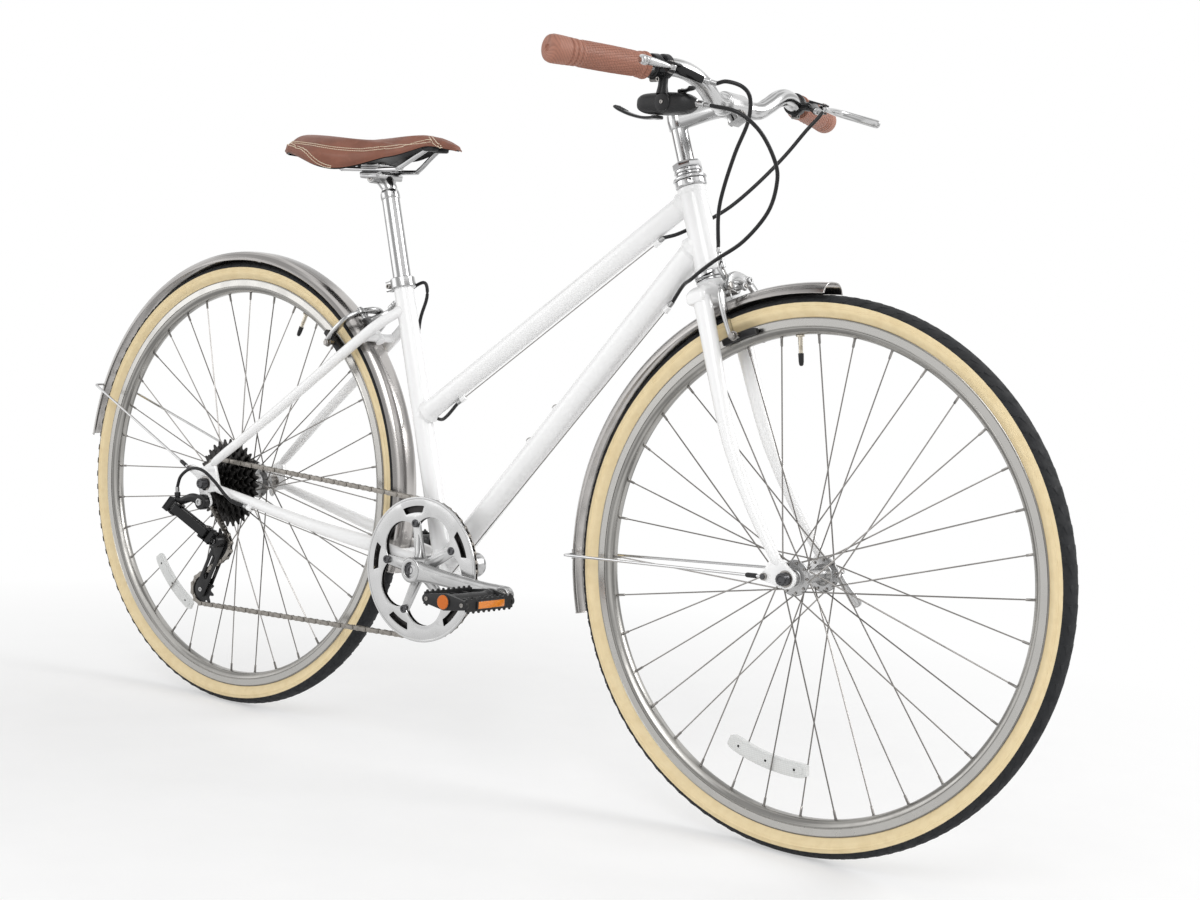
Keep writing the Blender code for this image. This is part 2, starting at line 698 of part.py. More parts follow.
def spoked_hub(axle, shell, left_y, right_y, flange_r, first_angle, name, mat, parent):
    """A hub with crossed spokes: every second one leans the other way, and the two layers pass each other."""
    bodies = [turned(shell, axle, Y, 10)]
    rim_in = (RIM_R - RIM_DEPTH) * cos(pi / WHEEL_STEPS) - GAP
    hole_r = flange_r - SPOKE_HOLE_IN
    for k in range(SPOKES):
        side = 1 if k % 2 else -1
        lean = 1 if (k // 2) % 2 else -1
        at_rim = first_angle + 2 * pi * k / SPOKES
        at_hub = at_rim + lean * SPOKE_CROSS_ANGLE
        flange_y = left_y if side > 0 else -right_y
        off = lean * (HUB_FLANGE_T - SPOKE_D) / 2
        start = on_wheel(axle, hole_r, at_hub, flange_y + off)
        end = on_wheel(axle, rim_in - 0.0004, at_rim, side * SPOKE_AT_RIM_Y)
        bodies.append(rod(start, end, SPOKE_D / 2, 3, Y, 0.0))
    ends = [a for a, _ in shell]
    bore = disc(axle + Y * (min(ends) + max(ends)) / 2, Y, wide_bore(AXLE_D / 2, 10), (max(ends) - min(ends)) / 2 + 0.002, 10)
    return put(name, fuse(bodies, [bore]), mat, parent)


def spoke_reflector(axle, r, mid_angle, flange_y, hole_r, name, mat, parent):
    """A curved lens held between the left and right spokes, where its outer edge meets the nearer ones."""
    inner, outer = r - REFLECTOR_H / 2, r + REFLECTOR_H / 2
    rim_in = RIM_R - RIM_DEPTH
    along = (rim_in - outer) / (rim_in - hole_r * cos(SPOKE_CROSS_ANGLE))
    nearest = SPOKE_AT_RIM_Y + (flange_y - SPOKE_D / 2 - SPOKE_AT_RIM_Y) * along
    room = nearest - SPOKE_D / 2 - GAP
    rings = []
    for k in range(7):
        angle = mid_angle + REFLECTOR_SPAN * (k / 6 - 0.5)
        tuck = 0.003 if k in (0, 6) else 0.0
        rings.append([on_wheel(axle, inner + tuck, angle, -room), on_wheel(axle, outer - tuck, angle, -room),
                      on_wheel(axle, outer - tuck, angle, room), on_wheel(axle, inner + tuck, angle, room)])
    return put(name, loft(rings), mat, parent)


def fender_body(axle, start, end):
    """A rolled sheet fender with a flat crown and turned-down edges."""
    count = ceil((end - start) / FENDER_STEP)
    half = [(FENDER_W / 2, FENDER_R - FENDER_DEPTH), (FENDER_W * 0.40, FENDER_R - 0.0052), (FENDER_W * 0.17, FENDER_R)]
    outer = [(-y, r) for y, r in half] + half[::-1]
    inner = [(y * (1 - 2 * FENDER_T / FENDER_W), r - FENDER_T) for y, r in outer]
    inner[0] = (-FENDER_W / 2 + FENDER_T, outer[0][1])
    inner[-1] = (FENDER_W / 2 - FENDER_T, outer[0][1])
    section = outer + inner[::-1]
    rings = []
    for k in range(count + 1):
        angle = start + (end - start) * k / count
        rings.append([on_wheel(axle, r, angle, y) for y, r in section])
    return loft(rings)


def wire_stay(axle, fender_angle, eye, eye_y):
    """One bent wire: eye, leg, flat run over the back of the fender, leg, eye."""
    wire_r = STAY_WIRE_D / 2
    over = FENDER_R + wire_r + GAP
    out = Vector((cos(fender_angle), 0, sin(fender_angle)))
    corner_y = FENDER_W / 2 + 0.006
    half = [Vector((eye.x, eye_y, eye.z)), axle + out * (over - 0.014) + Y * (corner_y + 0.0015),
            axle + out * (over - 0.002) + Y * corner_y, axle + out * over + Y * (corner_y - 0.008)]
    points = half + [Vector((p.x, -p.y, p.z)) for p in reversed(half)]
    across = (half[1] - half[0]).normalized().cross(Y)
    bodies = [sweep(points, wire_r, across, 6)]
    for side in (1, -1):
        bodies.append(disc(Vector((eye.x, side * eye_y, eye.z)), Y, wire_r * 2.4, wire_r * 0.75, 8))
    return fuse(bodies)


def down_line():
    """The down tube's axis, as its start, its direction and the square direction away from the wheel's side."""
    along = (steer(DOWN_TUBE_ON_HEAD) - BB).normalized()
    return BB, along, along.cross(Y).normalized()


def top_line():
    start = BB + SEAT_DIR * TOP_TUBE_ON_SEAT
    along = (steer(TOP_TUBE_ON_HEAD) - start).normalized()
    return start, along, along.cross(Y).normalized()


def on_tube(line, distance, below, left=0.0):
    start, along, out = line
    down = out if out.z < 0 else -out
    return start + along * distance + down * below + Y * left


def chain_stay_point(part, y, rise=0.0):
    """A point on the line from the bottom bracket to the rear axle."""
    return BB.lerp(REAR_AXLE, part) + Y * y + Z * rise


def seat_stay_ends():
    top = BB + SEAT_DIR * (SEAT_TUBE_LENGTH - SEATSTAY_DOWN)
    return top, REAR_AXLE + Vector((0.026, 0, 0.043))


def bridge_spot():
    """Where the brake bridge crosses: on the line of the seat stays, just clear of the fender."""
    top, tip = seat_stay_ends()
    r = FENDER_R + BRIDGE_D / 2 + GAP
    run, start = tip - top, top - REAR_AXLE
    a, b, c = run.length_squared, 2 * run.dot(start), start.length_squared - r * r
    return top + run * ((-b - sqrt(max(b * b - 4 * a * c, 0.0))) / (2 * a))


def hanger_point():
    return REAR_AXLE + Vector((HANGER_AHEAD, -(REAR_DROPOUT_Y + DROPOUT_T / 2), -HANGER_DROP))


def eyelet_point():
    return REAR_AXLE + Vector((-0.0365, 0, 0.0198))


def rear_brake_frame():
    """The rear brake's centre on the bridge, its axis away from the bridge, and up from the hub."""
    spot = bridge_spot()
    up = (spot - REAR_AXLE).normalized()
    return spot, up.cross(Y).normalized(), up


def front_brake_frame():
    return steer(FRONT_BOLT_UP), STEER_FWD.copy(), STEER_UP.copy()


def brake_spots(frame, axle, off):
    """Places on a caliper: its mid-plane centre, the side pivot and the middle of the pads."""
    spot, forward, up = frame
    centre = spot + forward * off
    track_r = RIM_R - BRAKE_TRACK
    ahead = (centre - axle).dot(forward)
    drop = sqrt(track_r ** 2 - ahead ** 2) - (spot - axle).dot(up)
    return centre, forward, up, drop, ahead / track_r


def brake_bolts(frame, axle, off, side):
    """The bolt through the mount, the backing plate that holds the side pivot, and their two nuts."""
    centre, forward, up, _, _ = brake_spots(frame, axle, off)
    spot = frame[0]
    pin_r, back = BRAKE_PIN_D / 2, BRAKE_ARM_T + 1.5 * GAP
    side_at = Y * (side * BRAKE_SIDE_PIVOT_Y) + up * BRAKE_SIDE_PIVOT_UP
    outline = hull([(0, 0, 0.0065), (side * BRAKE_SIDE_PIVOT_Y, BRAKE_SIDE_PIVOT_UP, 0.0055)], 6)
    axial = [(0, 0), (0, pin_r), (off + 0.5 * GAP, pin_r), (off + 0.5 * GAP, 0.0055), (off + 0.0045, 0.0055),
             (off + 0.0045, 0)]
    far = back + 0.0032
    side_pin = [(-back - 0.001, 0), (-back - 0.001, pin_r), (back, pin_r), (back, 0.005), (far, 0.005), (far, 0)]
    return [
        turned(axial, spot, forward, 6),
        plate([outline], centre - forward * (back + BACKING_T / 2), Y, up, BACKING_T),
        turned(side_pin, centre + side_at, forward, 6),
        rod(centre - forward * (back + 0.001), spot, 0.0055, 6, up),
    ]


def caliper_arm(frame, axle, off, side, which, mat, name, parent):
    """One arm with its shoe. The centre arm carries the barrel, the side arm the wire anchor."""
    centre, forward, up, drop, tilt = brake_spots(frame, axle, off)
    shift = (BRAKE_ARM_T + GAP) / 2 * (1 if which == "side" else -1)
    pad_side = side if which == "side" else -side
    plane = centre + forward * shift

    def at(y, rise):
        return plane + Y * y + up * rise

    s = side
    wide, thin = 0.0056, BRAKE_ARM_T / 2 / cos(pi / 6)
    leg = [(0.0325, -0.0040), (0.0370, -0.0240), (0.0365, -0.0400), (0.0330, drop)]
    if which == "side":
        hub_y, hub_up = s * BRAKE_SIDE_PIVOT_Y, BRAKE_SIDE_PIVOT_UP
        run = [(-s * 0.0300, -0.0010), (-s * 0.0180, 0.0115), (0.0, 0.0150), (hub_y, hub_up)]
        run += [(s * y, rise) for y, rise in leg]
        sizes = [(0.0042, thin)] + [(wide, thin)] * (len(run) - 2) + [(0.0045, thin)]
        bodies = [sweep([at(*p) for p in run], sizes, forward, 6, 0.0)]
        bodies.append(disc(at(-s * ANCHOR_Y, 0.0012), up, 0.0036, 0.0052, 6))
    else:
        hub_y = hub_up = 0.0
        run = [(0.0, 0.0), (-s * 0.0170, 0.0030)] + [(-s * y, rise) for y, rise in leg]
        sizes = [(wide, thin)] * (len(run) - 1) + [(0.0045, thin)]
        lift = [(0.0, 0.0), (-s * 0.0150, 0.0120), (-s * ANCHOR_Y, BARREL_UP - 0.004)]
        bodies = [sweep([at(*p) for p in run], sizes, forward, 6, 0.0),
                  sweep([at(*p) for p in lift], [(wide, thin), (0.0046, thin), (0.0046, thin)], forward, 6, 0.0)]
        barrel = [(-0.0075, 0), (-0.0075, 0.0044), (0.003, 0.0044), (0.004, 0.0034), (BARREL_LENGTH, 0.0034),
                  (BARREL_LENGTH, 0)]
        bodies.append(turned(barrel, centre + Y * (-s * ANCHOR_Y) + up * BARREL_UP, up, 6))
    bodies.append(disc(at(hub_y, hub_up), forward, 0.0068, BRAKE_ARM_T / 2, 10))
    radial = (up + forward * tilt).normalized()
    along = radial.cross(Y).normalized()
    pad_y = RIM_W / 2 + PAD_CLEARANCE + PAD_T / 2
    middle = centre + up * drop
    bodies.append(box(middle + Y * (pad_side * pad_y), (PAD_LENGTH, PAD_T, PAD_HEIGHT), (along, Y, radial)))
    bodies.append(rod(middle + Y * (pad_side * (pad_y + 0.002)), middle + Y * (pad_side * 0.0405), 0.0036, 6, up))
    cuts = [disc(at(hub_y, hub_up), forward, wide_bore(BRAKE_PIN_D / 2, 8), BRAKE_ARM_T, 8)]
    if which != "side":
        cuts.append(rod(centre + Y * (-s * ANCHOR_Y) + up * (BARREL_UP - 0.012),
                        centre + Y * (-s * ANCHOR_Y) + up * (BARREL_UP + BARREL_LENGTH + 0.002),
                        WIRE_D / 2 + 0.0006, 6, Y))
    return put(name, fuse(bodies, cuts), mat, parent)


def axle_slot(axle, y, way, length=0.024):
    """A cutter for a dropout slot that is open at one end."""
    way = way.normalized()
    width = AXLE_D + 2 * GAP
    round_end = disc(axle + Y * y, Y, wide_bore(AXLE_D / 2, 8), DROPOUT_T, 8)
    run = box(axle + Y * y + way * (length / 2), (length, width, 2 * DROPOUT_T), (way, way.cross(Y), Y))
    return fuse([round_end, run])


def rear_stays(side):
    """A chain stay, a seat stay and the dropout that joins them."""
    y_tip = REAR_DROPOUT_Y + DROPOUT_T / 2
    inner, outer = FENDER_W / 2 + GAP, -CHAIN_Y - CHAIN_HALF_W - GAP
    narrow, slim = (inner + outer) / 2, (outer - inner) / 2 - 0.0008
    chain_run = [(0.014, 0.020, 0.002), (0.114, narrow - 0.002, 0), (0.250, narrow + 0.001, 0.001),
                 (0.345, narrow + 0.0125, 0.001), (0.540, 0.0565, -0.001), (0.908, y_tip - 0.001, -0.001),
                 (0.949, y_tip, 0)]
    chain_sizes = [(0.0095, 0.0125), (slim, 0.0120), (slim, 0.0112), (0.0085, 0.0105),
                   (0.0080, 0.0088), (STAY_TIP_D / 2 - 0.0005, STAY_TIP_D / 2), (0.0030, STAY_TIP_D / 2 - 0.001)]
    top, tip = seat_stay_ends()
    r = SEATSTAY_D / 2
    seat_run = [(0.0, 0.0100, r * 0.9), (0.09, 0.0270, r), (0.22, inner + 0.0125, r), (0.69, 0.0530, r * 0.95),
                (1.0, y_tip - 0.001, STAY_TIP_D / 2)]
    seat_points = [top.lerp(tip, part) + Y * (side * y) for part, y, _ in seat_run]
    seat_points.append(tip + Vector((-0.016, side * y_tip, -0.014)))
    web = hull([(0, 0, 0.0145), (0.024, -0.0035, 0.006), (0.0115, 0.0285, 0.006), (-0.010, 0.010, 0.011)], 8)
    ear = hull([(-0.012, 0.012, 0.009), (eyelet_point().x, eyelet_point().z - TYRE_R, 0.0055)], 6)
    at = REAR_AXLE + Y * (side * y_tip)
    bodies = [
        sweep([chain_stay_point(p, side * y, rise) for p, y, rise in chain_run], chain_sizes, Z, 8),
        sweep(seat_points, [s for _, _, s in seat_run] + [(0.0029, 0.0042)], Z, 8),
        plate([web], at, X, Z, DROPOUT_T),
        plate([ear], at, X, Z, DROPOUT_T - 0.001),
    ]
    if side < 0:
        tab = hull([(-0.007, -0.006, 0.008), (HANGER_AHEAD, -HANGER_DROP, 0.0085)], 8)
        bodies.append(plate([tab], at - Y * (TAB_EXTRA / 2), X, Z, DROPOUT_T + TAB_EXTRA))
        neck, end = HANGER_PIN_L - HANGER_HEAD_L, HANGER_PIN_L
        bodies.append(turned([(0, 0), (0, HANGER_PIN_D / 2), (neck, HANGER_PIN_D / 2), (neck, 0.0062), (end, 0.0062),
                              (end, 0)], hanger_point(), -Y, 8))
    return bodies


def rear_bridges():
    low = REAR_AXLE + (BB - REAR_AXLE).normalized() * (FENDER_R + BRIDGE_D / 2 + GAP)
    high = bridge_spot()
    reach = FENDER_W / 2 + 0.010
    return [rod(at - Y * reach, at + Y * reach, BRIDGE_D / 2, 8) for at in (low, high)]


def bottle_bosses():
    """Two threaded bosses on the down tube for a bottle cage."""
    height = DOWN_TUBE_D / 2 + 0.0022
    bosses = []
    for k in range(2):
        at = on_tube(down_line(), BOTTLE_BOSS_FROM_BB + k * BOTTLE_BOSS_PITCH, 0)
        top = on_tube(down_line(), BOTTLE_BOSS_FROM_BB + k * BOTTLE_BOSS_PITCH, -height)
        bosses.append(rod(at.lerp(top, 0.6), top, BOTTLE_BOSS_D / 2, 8, Y))
    return bosses


def stop_places():
    """Each brazed stop as its middle, its direction and the tube's surface behind it."""
    under_top = TOP_TUBE_D / 2 + STOP_STANDOFF
    under_down = DOWN_TUBE_D / 2 + STOP_STANDOFF
    top, down = top_line(), down_line()
    stay_at = chain_stay_point(0.770, -(REAR_DROPOUT_Y + 0.0035), -0.0095)
    stay_in = chain_stay_point(0.770, -(REAR_DROPOUT_Y - 0.0060), -0.001)
    return {
        "top_front": (on_tube(top, STOP_TOP_FRONT, under_top), top[1], on_tube(top, STOP_TOP_FRONT, 0)),
        "top_rear": (on_tube(top, STOP_TOP_REAR, under_top), top[1], on_tube(top, STOP_TOP_REAR, 0)),
        "down": (on_tube(down, STOP_DOWN, under_down), down[1], on_tube(down, STOP_DOWN, 0)),
        "stay": (stay_at, (REAR_AXLE - BB).normalized(), stay_in),
    }


def cable_stops():
    bodies = []
    for at, along, root in stop_places().values():
        bodies.append(rod(at - along * STOP_L / 2, at + along * STOP_L / 2, STOP_D / 2, 6, Y))
        web = (root - at).normalized()
        bodies.append(box(at + web * 0.003, (STOP_L * 0.8, 0.003, 0.006), (along, along.cross(web), web)))
    return bodies


def stop_bores():
    return [rod(at - along * STOP_L, at + along * STOP_L, WIRE_D / 2 + 0.0006, 6, Y)
            for at, along, _ in stop_places().values()]


def build_frame(mat, parent):
    """The welded frame: main tubes, stays, dropouts, bridges, bosses, stops and the fixed half of the brake."""
    seat_top = BB + SEAT_DIR * SEAT_TUBE_LENGTH
    head_r = HEAD_TUBE_D / 2
    cup_low = HEAD_TUBE_LOW - CUP_HEIGHT
    head = [(cup_low, 0), (cup_low, CUP_D / 2), (HEAD_TUBE_LOW - 0.001, CUP_D / 2), (HEAD_TUBE_LOW, head_r),
            (HEAD_TOP, head_r), (HEAD_TOP, 0)]
    bodies = [
        turned(head, steer(0), STEER_UP, 12),
        rod(BB, seat_top, SEAT_TUBE_D / 2, up=Y),
        rod(top_line()[0], steer(TOP_TUBE_ON_HEAD), TOP_TUBE_D / 2, up=Y),
        rod(BB, steer(DOWN_TUBE_ON_HEAD), DOWN_TUBE_D / 2, up=Y),
        disc(BB, Y, BB_SHELL_D / 2, BB_SHELL_LENGTH / 2, 12),
    ]
    bodies += rear_stays(1) + rear_stays(-1) + rear_bridges() + bottle_bosses() + cable_stops()
    bodies += brake_bolts(rear_brake_frame(), REAR_AXLE, REAR_BRAKE_BACK, -1)
    bore_low = BB + SEAT_DIR * (SEAT_TUBE_LENGTH - POST_INSERT - POST_DROP_ROOM)
    cuts = [
        rod(steer(cup_low - 0.002), steer(HEAD_TOP + 0.002), HEAD_BORE_D / 2, 12, Y),
        rod(bore_low, seat_top + SEAT_DIR * 0.002, POST_D / 2 + GAP, up=Y),
        disc(BB, Y, wide_bore(CRANK_AXLE_D / 2, 10), BB_SHELL_LENGTH / 2 + 0.001, 10),
    ] + stop_bores()
    for side in (1, -1):
        cuts.append(axle_slot(REAR_AXLE, side * (REAR_DROPOUT_Y + DROPOUT_T / 2), X * 0.75 - Z * 0.66))
    return put("frame", fuse(bodies, cuts), mat, parent)


def build_headset(mat, parent, steering):
    """The pressed upper cup, and above it the dust cover and lock nut that turn with the steerer."""
    inner = HEAD_BORE_D / 2
    cup = [(HEAD_TOP + GAP, inner), (HEAD_TOP + GAP, HEAD_TUBE_D / 2 + 0.001), (HEAD_TOP + 0.002, CUP_D / 2),
           (HEAD_TOP + CUP_HEIGHT, CUP_D / 2), (HEAD_TOP + CUP_HEIGHT, inner)]
    put("head_cup_upper", turned(cup, steer(0), STEER_UP, 14), mat, parent)
    low = HEAD_TOP + CUP_HEIGHT + GAP
    bore = wide_bore(STEERER_D / 2, 12)
    nut = [(low, bore), (low, DUST_COVER_D / 2 - 0.001), (low + 0.0030, DUST_COVER_D / 2), (low + 0.0070, 0.0175),
           (low + 0.0100, 0.0175), (low + 0.0102, 0.0188), (low + LOCKNUT_STACK - 0.0015, 0.0188),
           (low + LOCKNUT_STACK, 0.0172), (low + LOCKNUT_STACK, bore)]
    put("headset_locknut", turned(nut, steer(0), STEER_UP, 12), mat, steering)


def crown_low():
    """The crown's underside just clears the fender ahead of the steering axis."""
    return sqrt(FENDER_R ** 2 - (FORK_OFFSET - CROWN_DEPTH / 2) ** 2) + GAP


def blade_offset(up):
    """How far a raked blade lies ahead of the steering axis at a height."""
    start = 0.205
    return 0.004 + (FORK_OFFSET - 0.004) * max(1 - up / start, 0.0) ** 1.6


def build_fork(mat, parent):
    """Steerer, crown, two raked and tapered blades, dropouts with eyelets, and the front brake's bolts."""
    low = crown_low()
    race = HEAD_TUBE_LOW - CUP_HEIGHT - GAP
    nut_top = HEAD_TOP + CUP_HEIGHT + GAP + LOCKNUT_STACK - 0.002
    steerer = [(low + 0.004, 0), (low + 0.004, STEERER_D / 2), (low + CROWN_HEIGHT - 0.004, STEERER_D / 2),
               (low + CROWN_HEIGHT - 0.004, CUP_D / 2 - 0.0015), (race, CUP_D / 2 - 0.0015),
               (race, STEERER_D / 2), (nut_top, STEERER_D / 2), (nut_top, 0)]
    bodies = [turned(steerer, steer(0), STEER_UP, 12), crown_body(low)]
    for side in (1, -1):
        bodies += blade_and_dropout(side, low)
    bodies += brake_bolts(front_brake_frame(), FRONT_AXLE, FRONT_BRAKE_FORWARD, 1)
    quill_low = QUILL_TOP - QUILL_LENGTH
    cuts = [rod(steer(quill_low - 0.012), steer(nut_top + 0.002), STEERER_BORE_D / 2, 12, Y)]
    for side in (1, -1):
        cuts.append(axle_slot(FRONT_AXLE, side * (FRONT_DROPOUT_Y + DROPOUT_T / 2), -STEER_UP))
    return put("fork", fuse(bodies, cuts), mat, parent)


def crown_body(low):
    """A forged crown that arches from one blade socket to the other."""
    rings = []
    half_y = BLADE_TOP_Y + BLADE_TOP_D / 2
    for part in (-1.0, -0.82, -0.45, 0.0, 0.45, 0.82, 1.0):
        depth = CROWN_DEPTH / 2 * (1.0 if abs(part) < 0.9 else 0.72)
        top = low + CROWN_HEIGHT - 0.013 * abs(part) ** 2.5
        foot = low + (0.003 if abs(part) > 0.9 else 0.0)
        y = part * half_y
        rings.append([steer(foot, -depth, y), steer(foot, depth, y), steer(top - 0.005, depth, y),
                      steer(top, depth * 0.55, y), steer(top, -depth * 0.55, y), steer(top - 0.005, -depth, y)])
    return loft(rings)


def blade_and_dropout(side, low):
    heights = [low + 0.006, low - 0.030, 0.205, 0.150, 0.105, 0.060, 0.030, 0.020]
    points, sizes = [], []
    for up in heights:
        part = min(max((low - 0.02 - up) / (low - 0.04), 0.0), 1.0)
        radius = (BLADE_TOP_D + (BLADE_TIP_D - BLADE_TOP_D) * part ** 0.9) / 2
        y = BLADE_TOP_Y + (BLADE_TIP_Y - BLADE_TOP_Y) * min(part * 1.1, 1.0)
        points.append(steer(up, blade_offset(up), side * y))
        sizes.append((min(radius, 0.0108), radius) if up > 0.15 else (radius * 0.95, radius))
    sizes[-1] = (0.0030, BLADE_TIP_D / 2 - 0.001)
    at = FRONT_AXLE + Y * (side * (FRONT_DROPOUT_Y + DROPOUT_T / 2))
    ahead = blade_offset(0.026) - FORK_OFFSET
    web = hull([(0, 0, 0.0125), (ahead, 0.026, 0.0052), (-0.0285, 0.0090, 0.0055)], 8)
    return [sweep(points, sizes, STEER_FWD, 8), plate([web], at, STEER_FWD, STEER_UP, DROPOUT_T)]


def hub_shell(left_end, left_flange, right_flange, right_end, flange_r):
    """A hub's outline from its right end to its left, with a flange near each end."""
    neck, barrel, t = HUB_BARREL_D / 2 - 0.001, HUB_BARREL_D / 2 - 0.002, HUB_FLANGE_T / 2
    return [(-right_end, 0), (-right_end, neck), (-right_flange - t, neck), (-right_flange - t, flange_r),
            (-right_flange + t, flange_r), (-right_flange + t, barrel), (left_flange - t, barrel),
            (left_flange - t, flange_r), (left_flange + t, flange_r), (left_flange + t, neck), (left_end, neck),
            (left_end, 0)]


def axle_and_nuts(axle, dropout_y, left_lock, right_lock, mat, name, parent):
    """A quick-release axle: lock nuts inside the dropouts, an adjusting nut on the right, a cap on the left."""
    r, nut = AXLE_D / 2, LOCKNUT_D / 2
    outside = dropout_y + DROPOUT_T + GAP + DROPOUT_PAD
    inside = dropout_y - GAP
    end = outside + QR_NUT_L
    profile = [(-end, 0), (-end, nut * 0.8), (-outside, nut), (-outside, r),
               (-inside, r), (-inside, nut), (-right_lock, nut), (-right_lock, r), (left_lock, r), (left_lock, nut),
               (inside, nut), (inside, r), (outside, r), (outside, nut), (outside + QR_CAP_L, nut * 0.95),
               (outside + QR_CAP_L, 0)]
    return put(name, turned(profile, axle, Y, 8), mat, parent)


def qr_place(axle, dropout_y):
    outside = dropout_y + DROPOUT_T + GAP + DROPOUT_PAD + QR_CAP_L
    return axle + Y * (outside + GAP + QR_BARREL_R)


def qr_lever(axle, dropout_y, way, mat, name, parent):
    """A quick-release lever: a barrel on the cam's axis and a curved handle."""
    at = qr_place(axle, dropout_y)
    way = way.normalized()
    hinge = way.cross(Y).normalized()
    barrel = turned([(-0.0085, 0), (-0.0085, QR_BARREL_R), (0.0085, QR_BARREL_R), (0.0085, 0)], at, hinge, 8)
    run = [(0.0, 0.0), (0.012, 0.002), (0.026, 0.006), (0.040, 0.0105), (0.046, 0.0125)]
    sizes = [(0.0065, 0.0032), (0.0060, QR_LEVER_T / 2), (0.0065, QR_LEVER_T / 2), (0.0075, QR_LEVER_T / 2), (0.004, 0.0014)]
    handle = sweep([at + way * a + Y * b for a, b in run], sizes, Y, 6, 0.0)
    return put(name, fuse([barrel, handle]), mat, parent)


def build_wheels(mats, root, front, rear, steering):
    """Tyres, rims, spoked hubs and reflectors; then the axles that stay in the dropouts."""
    first = pi / SPOKES
    for axle, at, label, valve, ref_r, ref_angle in (
            (FRONT_AXLE, front, "front", FRONT_VALVE_ANGLE, FRONT_REFLECTOR_R, FRONT_REFLECTOR_ANGLE),
            (REAR_AXLE, rear, "rear", REAR_VALVE_ANGLE, REAR_REFLECTOR_R, REAR_REFLECTOR_ANGLE)):
        tyre(axle, label + "_tyre", mats["tyre"], at)
        rim(axle, valve, label + "_rim", mats["alloy"], at)
        near_y, flange_d = ((FRONT_FLANGE_Y, FRONT_FLANGE_D) if label == "front"
                            else (REAR_FLANGE_RIGHT_Y, REAR_FLANGE_D))
        spoke_reflector(axle, ref_r, ref_angle, near_y, flange_d / 2 - SPOKE_HOLE_IN, label + "_reflector",
                        mats["lens"], at)
        if label == "front":
            shell = hub_shell(FRONT_HUB_HALF, FRONT_FLANGE_Y, FRONT_FLANGE_Y, FRONT_HUB_HALF, FRONT_FLANGE_D / 2)
            spoked_hub(axle, shell, FRONT_FLANGE_Y, FRONT_FLANGE_Y, FRONT_FLANGE_D / 2, valve + first,
                       "front_hub_and_spokes", mats["steel"], at)
        else:
            right_end = REAR_FLANGE_RIGHT_Y + HUB_FLANGE_T
            shell = hub_shell(REAR_HUB_LEFT_Y, REAR_FLANGE_LEFT_Y, REAR_FLANGE_RIGHT_Y, right_end, REAR_FLANGE_D / 2)
            spoked_hub(axle, shell, REAR_FLANGE_LEFT_Y, REAR_FLANGE_RIGHT_Y, REAR_FLANGE_D / 2, valve + first,
                       "rear_hub_and_spokes", mats["steel"], at)
    lock = FRONT_HUB_HALF + GAP
    axle_and_nuts(FRONT_AXLE, FRONT_DROPOUT_Y, lock, lock, mats["steel"], "front_axle", steering)
    axle_and_nuts(REAR_AXLE, REAR_DROPOUT_Y, REAR_HUB_LEFT_Y + GAP, cassette_end() + GAP, mats["steel"],
                  "rear_axle", root)


def cog_y(index):
    return CHAIN_Y - (COG_TEETH.index(COG_IN_USE) - index) * COG_PITCH


def cassette_end():
    return -cog_y(0) + COG_T / 2 + LOCKRING_L


def build_cassette(stretches, mat, parent):
    """Eight sprockets on the freehub body. The one in use is turned so that its teeth stand in the chain."""
    inner = -(REAR_FLANGE_RIGHT_Y + HUB_FLANGE_T) - 2 * GAP
    core = turned([(-cassette_end(), 0), (-cassette_end(), FREEHUB_D / 2 - 0.001), (-cassette_end() + 0.001,
                   FREEHUB_D / 2), (inner, FREEHUB_D / 2), (inner, 0)], REAR_AXLE, Y, 8)
    phase = tooth_phase(stretches, 6)
    bodies = [core]
    for index, teeth in enumerate(COG_TEETH):
        start = phase if teeth == COG_IN_USE else 0.37 * index
        bodies.append(sprocket(teeth, REAR_AXLE + Y * cog_y(index), COG_T, start, teeth == COG_IN_USE))
    bore = disc(REAR_AXLE + Y * CHAIN_Y, Y, wide_bore(AXLE_D / 2, 10), 0.050, 10)
    return put("cassette", fuse(bodies, [bore]), mat, parent)


def lobed_hole():
    """The ring's inner edge: it runs in to the five bolts and opens out in a lobe between each two."""
    edge = []
    for k in range(30):
        a = SPIDER_ANGLE + 2 * pi * k / 30
        edge.append(polar(BOLT_CIRCLE_R - 0.0085 + LOBE_DEPTH * abs(sin(2.5 * (a - SPIDER_ANGLE))) ** 0.7, a))
    return edge


def guard_slots():
    """A crescent slot outside each bolt, through which the teeth show."""
    slots = []
    for k in range(5):
        middle = SPIDER_ANGLE + 2 * pi * k / 5
        outer = [polar(SLOT_OUTER_R, middle + SLOT_SPAN * part) for part in (-0.5, -0.17, 0.17, 0.5)]
        inner = [polar(SLOT_INNER_R, middle + SLOT_SPAN * part) for part in (0.25, -0.25)]
        slots.append(outer + inner)
    return slots


